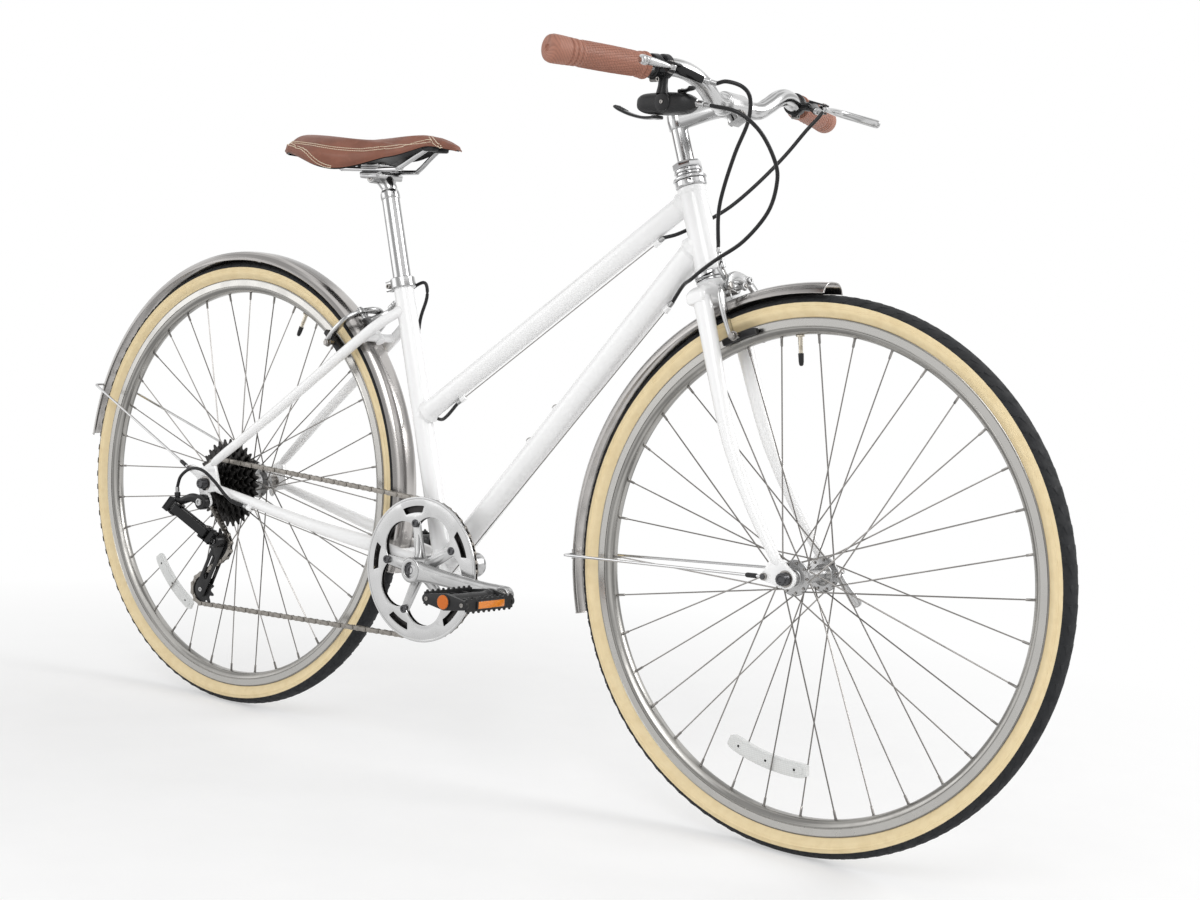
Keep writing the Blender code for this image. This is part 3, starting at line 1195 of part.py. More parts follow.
def build_crankset(stretches, mats, parent):
    """Chainring, guard, spider crank, left crank and the square-ended axle between them."""
    phase = tooth_phase(stretches, 0)
    ring_t = COG_T
    ring = sprocket(RING_TEETH, BB + Y * CHAIN_Y, ring_t, phase, hole=lobed_hole())
    put("chainring", ring, mats["alloy"], parent)
    spider_y = CHAIN_Y - ring_t / 2 - GAP - SPIDER_T / 2
    guard_y = spider_y - SPIDER_T / 2 - GAP - GUARD_T / 2
    guard_r = pitch_radius(RING_TEETH) + CHAIN_HALF_H + GUARD_OVER
    bodies = [plate([circle(guard_r, 36), lobed_hole()] + guard_slots(), BB + Y * guard_y, X, Z, GUARD_T)]
    for k in range(5):
        a = SPIDER_ANGLE + k * 2 * pi / 5
        at = BB + Vector((BOLT_CIRCLE_R * cos(a), guard_y - GUARD_T / 2, BOLT_CIRCLE_R * sin(a)))
        bodies.append(turned([(-0.001, 0), (-0.001, 0.0060), (0.0018, 0.0052), (0.0018, 0)], at, -Y, 6))
    put("chain_guard", fuse(bodies), mats["alloy"], parent)
    for side in (-1, 1):
        crank_body(side, spider_y, mats, parent)
    square = CRANK_AXLE_D / 2
    shell_y = BB_SHELL_LENGTH / 2 + 0.002
    bodies = [disc(BB, Y, square, shell_y, 10)]
    for side in (-1, 1):
        start, end = BB + Y * (side * (shell_y - 0.002)), BB + Y * (side * (CRANK_FACE_Y - 0.012))
        bodies.append(sweep([start, end], [square * 0.98, square * 0.90], Z, 4))
    put("crank_axle", fuse(bodies), mats["steel"], parent)


def crank_body(side, spider_y, mats, parent):
    """A cold-forged crank; the right one carries the five-arm spider. Its pedal spindle is screwed in."""
    way = Vector((cos(CRANK_ANGLE), 0, sin(CRANK_ANGLE))) * -side
    high = way.cross(Y).normalized()
    boss_in = abs(spider_y) - SPIDER_T / 2 if side < 0 else BB_SHELL_LENGTH / 2 + 0.0165
    mid_y = CRANK_FACE_Y - CRANK_T / 2
    boss = [(boss_in, 0), (boss_in, 0.0175), (CRANK_FACE_Y - 0.003, 0.0185), (CRANK_FACE_Y, 0.0165),
            (CRANK_FACE_Y, 0.0085), (CRANK_FACE_Y - 0.0025, 0.0085), (CRANK_FACE_Y - 0.0025, 0)]
    arm_run = [(0.008, 0.0140, 0.0), (0.035, 0.0125, 0.0), (0.100, 0.0110, 0.001), (0.150, 0.0118, 0.002),
               (CRANK_LENGTH, 0.0125, 0.002)]
    points = [BB + way * a + Y * (side * (mid_y + out)) for a, _, out in arm_run]
    sizes = [(half, CRANK_T / 2 - 0.0004) for _, half, _ in arm_run]
    end = BB + way * CRANK_LENGTH
    spindle = [(mid_y - CRANK_T / 2 + 0.002, 0), (mid_y - CRANK_T / 2 + 0.002, 0.0125), (CRANK_FACE_Y + 0.002, 0.0125),
               (CRANK_FACE_Y + 0.002, 0.0075), (CRANK_FACE_Y + 0.005, 0.0075), (CRANK_FACE_Y + 0.005,
               PEDAL_AXLE_D / 2), (PEDAL_INNER_Y + PEDAL_LENGTH - 0.012, PEDAL_AXLE_D / 2),
               (PEDAL_INNER_Y + PEDAL_LENGTH - 0.012, 0)]
    bodies = [turned(boss, BB, Y * side, 10), sweep(points, sizes, Y, 8), turned(spindle, end, Y * side, 8)]
    if side < 0:
        for k in range(5):
            a = SPIDER_ANGLE + k * 2 * pi / 5
            arm = hull([(0.012 * cos(a), 0.012 * sin(a), 0.0095), (BOLT_CIRCLE_R * cos(a), BOLT_CIRCLE_R * sin(a),
                        0.0068)], 6)
            bodies.append(plate([arm], BB + Y * spider_y, X, Z, SPIDER_T))
    square = CRANK_AXLE_D / 2 + 0.0004
    depth = CRANK_FACE_Y - 0.0115
    cut = sweep([BB + Y * (side * (boss_in - 0.002)), BB + Y * (side * depth)], [square, square * 0.93], Z, 4)
    name = "left_crank" if side > 0 else "right_crank"
    return put(name, fuse(bodies, [cut]), mats["alloy"], parent)


def pedal_centre(side):
    way = Vector((cos(CRANK_ANGLE), 0, sin(CRANK_ANGLE))) * -side
    return BB + way * CRANK_LENGTH + Y * (side * (PEDAL_INNER_Y + PEDAL_LENGTH / 2))


def build_pedal(side, mat, name, parent):
    """A cage pedal: two toothed plates, two end frames, the spindle barrel, ribs and reflector pods."""
    at = pedal_centre(side)
    bodies = []
    half_l, half_h = PEDAL_LENGTH / 2, PEDAL_H / 2
    for front in (1, -1):
        teeth = 4
        edge = []
        for k in range(teeth):
            a = -half_l + 0.004 + (2 * half_l - 0.008) * k / teeth
            step = (2 * half_l - 0.008) / teeth
            edge += [(a, half_h - 0.0035), (a + step * 0.5, half_h)]
        edge.append((half_l - 0.004, half_h - 0.0035))
        outline = edge + [(a, -b) for a, b in reversed(edge)]
        middle = at + X * (front * (PEDAL_DEPTH / 2 - 0.003))
        bodies.append(plate([outline], middle, Y, Z, 0.003))
        pod = box(middle + X * (front * 0.0028), (0.0036, PEDAL_LENGTH * 0.56, PEDAL_H * 0.52))
        bodies.append(pod)
    end_frame = hull([(PEDAL_DEPTH / 2 - 0.0065, 0, 0.0065), (-PEDAL_DEPTH / 2 + 0.0065, 0, 0.0065), (0, 0, 0.0115)], 6)
    for k in (-1, 1):
        bodies.append(plate([end_frame], at + Y * (k * (half_l - 0.004)), X, Z, 0.006))
    bodies.append(turned([(-half_l, 0), (-half_l, 0.0105), (half_l + 0.003, 0.0105), (half_l + 0.003, 0)], at,
                         Y * side, 8))
    bodies.append(box(at, (PEDAL_DEPTH - 0.006, 0.007, 0.010)))
    bore_end = at + Y * (side * (half_l - 0.012 + 0.001))
    bore_start = at - Y * (side * (half_l + 0.002))
    bore = rod(bore_start, bore_end, wide_bore(PEDAL_AXLE_D / 2, 8), 8)
    return put(name, fuse(bodies, [bore]), mat, parent)


def link_axes():
    """The slanted parallelogram: along its links, the way they sway, and their hinge axis."""
    along = LINK_DIR.normalized()
    sway = (LINK_SWAY - along * LINK_SWAY.dot(along)).normalized()
    return along, sway, along.cross(sway)


def cage_pivot():
    return REAR_AXLE + Vector((GUIDE_PULLEY[0] + 0.0066, 0, GUIDE_PULLEY[1] + 0.008 - TYRE_R))


def link_pins():
    """The four pivots of the parallelogram, outer then inner: on the body, then on the pulley knuckle."""
    along, sway, _ = link_axes()
    low = cage_pivot() + Vector((-0.012, -0.072, 0.012))
    high = low - along * LINK_LENGTH
    half = sway * (LINK_SPACING / 2)
    return [high - half, high + half], [low - half, low + half]


def knuckle_ears(pins, away):
    """Two ears above and below the link eyes, the web that joins them and a pin through each eye."""
    along, sway, hinge = link_axes()
    middle = (pins[0] + pins[1]) / 2
    flat = [(-LINK_SPACING / 2, 0, 0.0055), (LINK_SPACING / 2, 0, 0.0055), (0, 0.011, 0.0065)]
    lift = LINK_HEIGHT / 2 + GAP + EAR_T / 2
    bodies = [plate([hull(flat, 6)], middle + hinge * (lift * k), sway, away, EAR_T) for k in (1, -1)]
    tall = 2 * (lift + EAR_T / 2)
    bodies.append(box(middle + away * 0.0125, (0.020, 0.0075, tall), (sway, away, hinge)))
    for pin in pins:
        bodies.append(rod(pin - hinge * lift, pin + hinge * lift, LINK_PIN_D / 2, 6, along))
    return bodies


def build_derailleur(stretches, tension, mats, pivots):
    """Body knuckle, two links, pulley knuckle, cage and the two jockey wheels."""
    along, sway, hinge = link_axes()
    high, low = link_pins()
    high_mid, low_mid = (high[0] + high[1]) / 2, (low[0] + low[1]) / 2
    hang = hanger_point()
    barrel_in = -(DROPOUT_T / 2 + TAB_EXTRA + GAP)
    barrel_out = -(HANGER_PIN_L - HANGER_HEAD_L - GAP)
    barrel = turned([(barrel_out, 0), (barrel_out, 0.0110), (barrel_out + 0.001, 0.0118), (barrel_in, 0.0118),
                     (barrel_in, 0)], hang, Y, 10)
    arm = sweep([hang - Y * 0.0100, hang + Vector((-0.020, -0.0125, 0.0045)), high_mid + hinge * 0.0150 - along * 0.001,
                 high_mid - along * 0.0105 + hinge * 0.0100],
                [(0.0085, 0.0050), (0.0068, 0.0052), (0.0056, 0.0056), (0.0050, 0.0056)], Y, 6)
    stop_at = high_mid - along * 0.0085 + hinge * 0.0125
    stop = rod(stop_at, stop_at + STOP_UP * 0.011, 0.0040, 8, Y)
    cuts = [disc(hang - Y * 0.010, Y, wide_bore(HANGER_PIN_D / 2, 8), 0.012, 8)]
    put("derailleur_body", fuse(knuckle_ears(high, -along) + [barrel, arm, stop], cuts), mats["black"], pivots["hang"])

    for pair, name, at in ((0, "outer_link", pivots["outer"]), (1, "inner_link", pivots["inner"])):
        start, end = high[pair], low[pair]
        outline = hull([(0, 0, LINK_EYE_D / 2), (LINK_LENGTH, 0, LINK_EYE_D / 2)], 10)
        bores = [rod(p - hinge * LINK_HEIGHT, p + hinge * LINK_HEIGHT, wide_bore(LINK_PIN_D / 2, 6), 6, along)
                 for p in (start, end)]
        put(name, fuse([plate([outline], start, along, sway, LINK_HEIGHT)], bores), mats["steel"], at)

    pivot_at = cage_pivot()
    plate_in = CHAIN_HALF_W + CAGE_ROOM
    knuckle_in = CHAIN_Y - plate_in - CAGE_T - GAP
    stub_in = CHAIN_Y - CHAIN_HALF_W - GAP
    drum = [(low_mid.y + 0.006, 0), (low_mid.y + 0.006, 0.0100), (knuckle_in, 0.0105), (knuckle_in, CAGE_PIN_D / 2),
            (stub_in, CAGE_PIN_D / 2), (stub_in, 0)]
    bodies = knuckle_ears(low, along) + [turned(drum, pivot_at, Y, 8)]
    put("p_knuckle", fuse(bodies), mats["black"], pivots["knuckle"])

    guide = Vector((GUIDE_PULLEY[0], CHAIN_Y, GUIDE_PULLEY[1]))
    tight = Vector((tension[0], CHAIN_Y, tension[1]))
    down = tight - guide
    bodies = []
    for side in (-1, 1):
        ends = [(0, 0, 0.0110), (down.x, down.z, 0.0115)]
        if side < 0:
            ends.append((pivot_at.x - guide.x, pivot_at.z - guide.z, 0.0100))
        bodies.append(plate([hull(ends, 8)], guide + Y * (side * (plate_in + CAGE_T / 2)), X, Z, CAGE_T))
    for at in (guide, tight):
        reach = plate_in + CAGE_T
        bodies.append(rod(at - Y * (reach - 0.0001), at + Y * (reach + 0.0008), PULLEY_BOLT_D / 2, 6))
    hole = disc(Vector((pivot_at.x, CHAIN_Y - plate_in - CAGE_T / 2, pivot_at.z)), Y, wide_bore(CAGE_PIN_D / 2, 8),
                CAGE_T, 8)
    put("cage", fuse(bodies, [hole]), mats["black"], pivots["cage"])

    for at, which, name, label in ((guide, 4, "guide_pulley", "guide"), (tight, 2, "tension_pulley", "tension")):
        wheel = sprocket(PULLEY_TEETH, at, PULLEY_T, tooth_phase(stretches, which))
        hub = disc(at, Y, 0.0068, plate_in - GAP, 8)
        bore = disc(at, Y, wide_bore(PULLEY_BOLT_D / 2, 6), plate_in + 0.001, 6)
        put(name, fuse([wheel, hub], [bore]), mats["black"], pivots[label])


def bar_centre():
    return steer(QUILL_TOP) + X * STEM_REACH + Z * STEM_RISE


def half_bar():
    """The left half of the handlebar's axis, from the stem out to the straight grip."""
    start = bar_centre()
    return [start] + [start + Vector(p) for p in BAR_BEND] + [start + Vector(BAR_GRIP_START), start + Vector(BAR_END) + Y * BAR_HALF]


def bar_at(y):
    """The bar's centre and its outward direction at a distance from the middle."""
    line = half_bar()
    for a, b in zip(line, line[1:]):
        if b.y >= abs(y):
            break
    p = a.lerp(b, (abs(y) - a.y) / (b.y - a.y))
    way = (b - a).normalized()
    if y < 0:
        return Vector((p.x, -p.y, p.z)), Vector((way.x, -way.y, way.z))
    return p, way


def build_stem_and_bar(mats, parent):
    """The quill stem and the swept handlebar in its clamp."""
    centre = bar_centre()
    low, top = steer(QUILL_TOP - QUILL_LENGTH), steer(QUILL_TOP + 0.008)
    post = rod(low, top, QUILL_D / 2, 12, Y)
    cap = turned([(0, 0), (0, QUILL_D / 2 - 0.001), (0.003, 0.0085), (0.003, 0)],
                 top - STEER_UP * 0.0005, STEER_UP, 8)
    reach = centre - steer(QUILL_TOP - 0.004)
    arm = sweep([steer(QUILL_TOP - 0.004), steer(QUILL_TOP - 0.004) + reach * 0.5, centre - reach * 0.12],
                [(0.0105, 0.0125), (0.0095, 0.0110), (0.0140, 0.0120)], Z, 10)
    clamp_r = BAR_CLAMP_D / 2 + STEM_WALL
    clamp = disc(centre, Y, clamp_r, STEM_CLAMP_W / 2, 12)
    below = (X * 0.55 - Z * 0.83).normalized()
    across = below.cross(Y)
    ears = box(centre + below * clamp_r, (0.014, 0.016, STEM_CLAMP_W * 0.55), (below, across, Y))
    bolt = rod(centre + below * (clamp_r + 0.002) - across * 0.0125, centre + below * (clamp_r + 0.002) + across * 0.0125,
               0.0036, 8, Y)
    slit = box(centre + below * (clamp_r - 0.008), (0.020, 0.0016, STEM_CLAMP_W + 0.002), (below, across, Y))
    bore = rod(centre - Y * STEM_CLAMP_W, centre + Y * STEM_CLAMP_W, BAR_CLAMP_D / 2 + GAP)
    body = fuse([post, cap, arm, clamp, ears], [bore, slit])
    put("stem", fuse([body, bolt]), mats["alloy"], parent)

    half = half_bar()
    line = [Vector((p.x, -p.y, p.z)) for p in reversed(half[1:])] + half
    sizes = []
    for p in line:
        near = min(max((0.036 - abs(p.y)) / 0.010, 0.0), 1.0)
        sizes.append((BAR_D + (BAR_CLAMP_D - BAR_D) * near) / 2)
    put("handlebar", sweep(line, sizes, Z), mats["alloy"], parent)


def build_grip(side, mat, name, parent):
    """A rubber grip: a flange at the thumb, a waist, and a bulge with a groove at the closed end."""
    start, way = bar_at(side * GRIP_INNER_Y)
    end = bar_at(side * BAR_HALF)[0]
    length = (end - start).length + 0.004
    bore, fat, thin = wide_bore(BAR_D / 2, 10), GRIP_D / 2, GRIP_WAIST_D / 2
    profile = [(length - 0.0035, 0), (length - 0.0035, bore), (0, bore), (0, thin + 0.0014), (0.004, thin + 0.0014),
               (0.010, thin), (length * 0.55, thin + 0.0002), (length - 0.034, fat - 0.0008), (length - 0.030, fat - 0.0022),
               (length - 0.026, fat - 0.0002), (length - 0.003, fat), (length, fat - 0.004), (length, 0)]
    return put(name, turned(profile, start, way, 10), mat, parent)


def band(at, way, width):
    """A clamp band round the handlebar."""
    bore = wide_bore(BAR_D / 2, 10)
    outer = bore + CLAMP_BAND_T
    return turned([(-width / 2, bore), (-width / 2, outer), (width / 2, outer), (width / 2, bore)], at, way, 10)


def lever_pivot(side):
    return bar_centre() + Vector((LEVER_PIVOT[0], side * LEVER_PIVOT[1], LEVER_PIVOT[2]))


def lever_axis():
    return Vector((0.253, 0, 0.967)).normalized()


def barrel_end(side):
    start, way = lever_barrel(side)
    return start + way * 0.0105, way


def lever_barrel(side):
    start = bar_centre() + Vector((0.0440, side * 0.1330, 0.0122))
    way = Vector((0.0085, -side * 0.0055, -0.0020)).normalized()
    return start, way


def build_brake_lever(side, bracket_name, lever_name, mats, steering, lever_at):
    """The bracket with its band, cable barrel and forked ears, and the two-finger lever between the ears."""
    at, way = bar_at(side * LEVER_CLAMP_Y)
    pivot_at, axis = lever_pivot(side), lever_axis()
    forward = axis.cross(Y).normalized()
    if forward.x < 0:
        forward = -forward
    start, out = lever_barrel(side)
    ring_r = BAR_D / 2 + CLAMP_BAND_T
    neck = at + forward * (ring_r + 0.001)
    bend = Vector((pivot_at.x - 0.006, side * (LEVER_PIVOT[1] - 0.018), pivot_at.z + 0.001))
    lift = LEVER_T / 2 + GAP + EAR_T / 2
    bodies = [
        band(at, way, CLAMP_BAND_W),
        sweep([neck, at.lerp(bend, 0.72) + forward * 0.004, bend, start], [(0.0062, 0.0052), (0.0072, 0.0065),
              (0.0072, 0.0068), (0.0055, 0.0052)], Z, 8),
        rod(start - out * 0.002, barrel_end(side)[0], 0.0042),
    ]
    flat = [(0, 0, 0.0062), ((bend - pivot_at).dot(forward), (bend - pivot_at).dot(Y), 0.0070)]
    for k in (1, -1):
        bodies.append(plate([hull(flat, 6)], pivot_at + axis * (lift * k), forward, Y, EAR_T))
    bodies.append(rod(pivot_at - axis * lift, pivot_at + axis * lift, LEVER_PIN_D / 2, 6, Y))
    room = [disc(pivot_at, axis, 0.0092, LEVER_T / 2 + GAP, 8),
            rod(start - out * 0.006, barrel_end(side)[0] + out * 0.004, WIRE_D / 2 + 0.0006, 6)]
    put(bracket_name, fuse([fuse(bodies[:3], room)] + bodies[3:]), mats["black"], steering)

    run = [(0.000, 0.0), (0.000, 0.012), (-0.0020, 0.030), (-0.0015, 0.052), (0.0110, 0.073), (0.0290, 0.0900),
           (0.0320, 0.0940)]
    points = [pivot_at + forward * a + Y * (side * b) for a, b in run]
    half = [0.0050, 0.0045, 0.0040, 0.0042, 0.0040, 0.0046, 0.0030]
    tall = [LEVER_T / 2, LEVER_T / 2, 0.0050, 0.0054, 0.0052, 0.0052, 0.0034]
    blade = sweep(points, list(zip(half, tall)), axis, 6)
    eye = disc(pivot_at, axis, 0.0065, LEVER_T / 2, 8)
    hole = disc(pivot_at, axis, wide_bore(LEVER_PIN_D / 2, 6), LEVER_T, 6)
    put(lever_name, fuse([blade, eye], [hole]), mats["steel"], lever_at)


def pod_at(x, y, z):
    """A point on the shifter, from the bar's centre line at its band."""
    return bar_centre() + Vector((x, -y, z))


def build_shifter(mats, steering, thumb_at, trigger_at):
    """The pod under the bar with its band, the thumb lever below it and the release trigger on top."""
    at, way = bar_at(-SHIFTER_CLAMP_Y)
    rings = []
    for x, half_y, half_z in POD_SECTIONS:
        middle = pod_at(x, POD_Y, POD_Z)
        rings.append([middle + Y * (half_y * a) + Z * (half_z * b) for a, b in
                      ((1, -0.5), (1, 0.5), (0.6, 1), (-0.6, 1), (-1, 0.5), (-1, -0.5), (-0.6, -1), (0.6, -1))])
    top = pod_at(at.x - bar_centre().x, SHIFTER_CLAMP_Y, POD_Z + POD_SECTIONS[2][2] - 0.003)
    neck = rod(top, at - Z * (BAR_D / 2 + CLAMP_BAND_T * 0.6), 0.0058, 8, Y)
    barrel, out = shift_barrel()
    snout = rod(barrel - out * 0.008, barrel + out * 0.009, 0.0040)
    pins = [rod(thumb_pivot(), thumb_pivot() + Z * 0.008, 0.0022, 6, Y),
            rod(trigger_pivot() - Z * 0.006, trigger_pivot() + Z * 0.0030, 0.0020, 6, Y)]
    hole = rod(barrel - out * 0.010, barrel + out * 0.011, WIRE_D / 2 + 0.0006, 6)
    put("shifter_body", fuse([loft(rings), band(at, way, CLAMP_BAND_W * 0.8), neck, snout] + pins, [hole]),
        mats["black"], steering)

    pivot_at = thumb_pivot()
    run = [(0, 0, 0), (-0.020, 0.001, 0.0), (-0.040, 0.002, 0.004), (-0.058, 0.002, 0.011), (-0.066, 0.002, 0.015)]
    blade = sweep([pivot_at + Vector(p) for p in run], [(0.0062, 0.0020), (0.0062, 0.0020), (0.0070, 0.0022),
                  (0.0082, 0.0024), (0.0050, 0.0014)], Z, 6)
    hole = disc(pivot_at, Z, wide_bore(0.0022, 6), 0.006, 6)
    put("thumb_lever", fuse([blade, disc(pivot_at, Z, 0.0078, 0.0020, 8)], [hole]), mats["black"], thumb_at)

    pivot_at = trigger_pivot()
    run = [(0, 0, 0), (0.014, -0.008, 0.0002), (0.026, -0.018, 0.0004), (0.031, -0.026, 0.0004)]
    blade = sweep([pivot_at + Vector(p) for p in run], [(0.0050, 0.0017), (0.0042, 0.0018), (0.0050, 0.0022),
                  (0.0034, 0.0016)], Z, 6)
    hole = disc(pivot_at, Z, wide_bore(0.0020, 6), 0.006, 6)
    put("release_trigger", fuse([blade, disc(pivot_at, Z, 0.0060, 0.0017, 8)], [hole]), mats["black"], trigger_at)


def thumb_pivot():
    return pod_at(-0.016, POD_Y, POD_Z - POD_SECTIONS[2][2] - GAP - 0.0024)


def trigger_pivot():
    return pod_at(0.020, POD_Y + 0.002, POD_Z + POD_SECTIONS[3][2] + GAP + 0.0022)


def shift_barrel():
    return pod_at(POD_SECTIONS[-1][0] + 0.004, POD_Y, POD_Z), Vector((0.985, 0.10, -0.14)).normalized()


def saddle_section(part):
    """Half width, top and skirt heights of the saddle, from its tail (0) to its nose (1)."""
    def along(table):
        for (a, p), (b, q) in zip(table, table[1:]):
            if part <= b:
                t = (part - a) / (b - a)
                return p + (q - p) * t * t * (3 - 2 * t)
        return table[-1][1]
    half = along(((0, 0.78), (0.10, 0.985), (0.24, 1.0), (0.62, 0.36), (0.90, 0.245), (1.0, 0.13)))
    top = along(((0, -0.0030), (0.10, 0.0025), (0.45, -0.0030), (0.82, 0.0035), (1.0, -0.0080)))
    skirt = along(((0, 0.030), (0.35, 0.049), (0.62, 0.030), (1.0, 0.010)))
    return half * SADDLE_W / 2, SADDLE_TOP_Z + top, skirt


def build_saddle(mats, parent):
    """The cushion and its shell in one: a crowned top, rolled sides, long skirts and a hollow underside."""
    back = POST_CLAMP_X - 0.49 * SADDLE_LENGTH
    rings = []
    for part in (0.0, 0.025, 0.08, 0.19, 0.31, 0.43, 0.55, 0.68, 0.82, 0.93, 0.98, 1.0):
        half, top, skirt = saddle_section(part)
        tuck = 0.55 if part in (0.0, 1.0) else (0.86 if part in (0.025, 0.98) else 1.0)
        half, skirt = half * tuck, skirt * tuck
        top = top - (1 - tuck) * 0.012
        x = back + SADDLE_LENGTH * part
        under = top - min(0.55 * skirt, 0.017)
        outline = [(0.0, 0.0), (0.36, 0.0006), (0.68, 0.0050), (0.90, 0.30 * skirt), (1.0, 0.55 * skirt),
                   (0.985, 0.92 * skirt), (0.93, skirt), (0.86, 0.94 * skirt)]
        right = [Vector((x, -half * a, top - b)) for a, b in outline]
        left = [Vector((x, half * a, top - b)) for a, b in outline[:0:-1]]
        floor = [Vector((x, -half * 0.62, under - 0.002)), Vector((x, 0, under)), Vector((x, half * 0.62, under - 0.002))]
        rings.append(right + floor + left)
    rail_runs = [[Vector((POST_CLAMP_X + a, side * b, rail_z() + c)) for a, b, c in RAIL_RUN] for side in (1, -1)]
    sockets = []
    for run in rail_runs:
        first, last = (run[0] - run[1]).normalized(), (run[-1] - run[-2]).normalized()
        sockets.append(sweep([run[0] + first * GAP] + run[1:-1] + [run[-1] + last * GAP], RAIL_D / 2 + GAP, Z, 6))
    put("saddle", fuse([loft(rings)], sockets), mats["saddle"], parent)

    plate_z = rail_z() + RAIL_D / 2 - 0.0006
    rails = [sweep(run, RAIL_D / 2, Z, 6) for run in rail_runs]
    top_plate = box((POST_CLAMP_X, 0, plate_z + 0.003), (0.034, 2 * RAIL_Y + RAIL_D + 0.006, 0.006))
    bolt = turned([(0, 0), (0, 0.0052), (0.004, 0.0052), (0.004, 0.0028), (0.0015, 0.0024), (0.0015, 0)],
                  (POST_CLAMP_X, 0, plate_z + 0.0055), Z, 8)
    put("saddle_rails", fuse(rails + [top_plate, bolt]), mats["steel"], parent)

    cradle_top = rail_z() - RAIL_D / 2 - GAP
    cradle = box((POST_CLAMP_X, 0, cradle_top - 0.005), (0.036, 2 * RAIL_Y + RAIL_D + 0.006, 0.010))
    shank = rod(BB + SEAT_DIR * (SEAT_TUBE_LENGTH - POST_INSERT), BB + SEAT_DIR * POST_TOP, POST_D / 2, up=Y)
    head = sweep([BB + SEAT_DIR * (POST_TOP - 0.020), BB + SEAT_DIR * (POST_TOP - 0.004),
                  Vector((POST_CLAMP_X + 0.001, 0, cradle_top - 0.004))],
                 [(POST_D / 2 - 0.0008, POST_D / 2 - 0.0008), (0.0120, 0.0120), (0.0130, 0.0110)], Y, 10)
    put("seatpost", fuse([shank, head, cradle]), mats["alloy"], parent)


def rail_z():
    return SADDLE_TOP_Z - RAIL_BELOW_TOP


def build_seat_clamp(mat, parent):
    """The split collar at the top of the seat tube with its bolt behind."""
    top = SEAT_TUBE_LENGTH
    bore = wide_bore(SEAT_TUBE_D / 2, 16)
    ring = turned([(top - 0.0155, bore), (top - 0.0155, bore + 0.0032), (top - 0.0005, bore + 0.0032), (top - 0.0005, bore)],
                  BB, SEAT_DIR, 16)
    behind = SEAT_DIR.cross(Y).normalized()
    behind = behind if behind.x < 0 else -behind
    at = BB + SEAT_DIR * (top - 0.008) + behind * (bore + 0.0055)
    ears = box(at, (0.009, 0.015, 0.0125), (behind, Y, SEAT_DIR))
    slit = box(at - behind * 0.002, (0.018, 0.0018, 0.020), (behind, Y, SEAT_DIR))
    bolt = rod(at - Y * 0.0105 + behind * 0.001, at + Y * 0.0105 + behind * 0.001, 0.0030, 8, Z)
    split = fuse([ring, ears], [slit])
    put("seat_clamp", fuse([split, bolt]), mat, parent)


def cable(name, route, mat, parent):
    """A housing or bare wire as one curve: (point, radius) pairs."""
    curve = bpy.data.curves.new(name, "CURVE")
    curve.dimensions = "3D"
    curve.bevel_depth = 1.0
    curve.bevel_resolution = 1
    curve.render_resolution_u = 0
    curve.use_fill_caps = True
    spline = curve.splines.new("POLY")
    spline.points.add(len(route) - 1)
    for spot, (point, radius) in zip(spline.points, route):
        spot.co = (*(point - HERE[parent]), 1.0)
        spot.radius = radius
    curve.materials.append(mat)
    obj = bpy.data.objects.new(name, curve)
    bpy.context.scene.collection.objects.link(obj)
    obj.parent = parent
    return obj


def housing(start, way, points, end, end_way, steps=2):
    """A housing that leaves its first stop straight, sweeps through the points and meets its last stop square."""
    lead = 0.007
    line = smooth_line([start + way * lead] + [Vector(p) for p in points] + [end + end_way * lead], steps)
    return [(p, HOUSING_D / 2) for p in [start] + line + [end]]


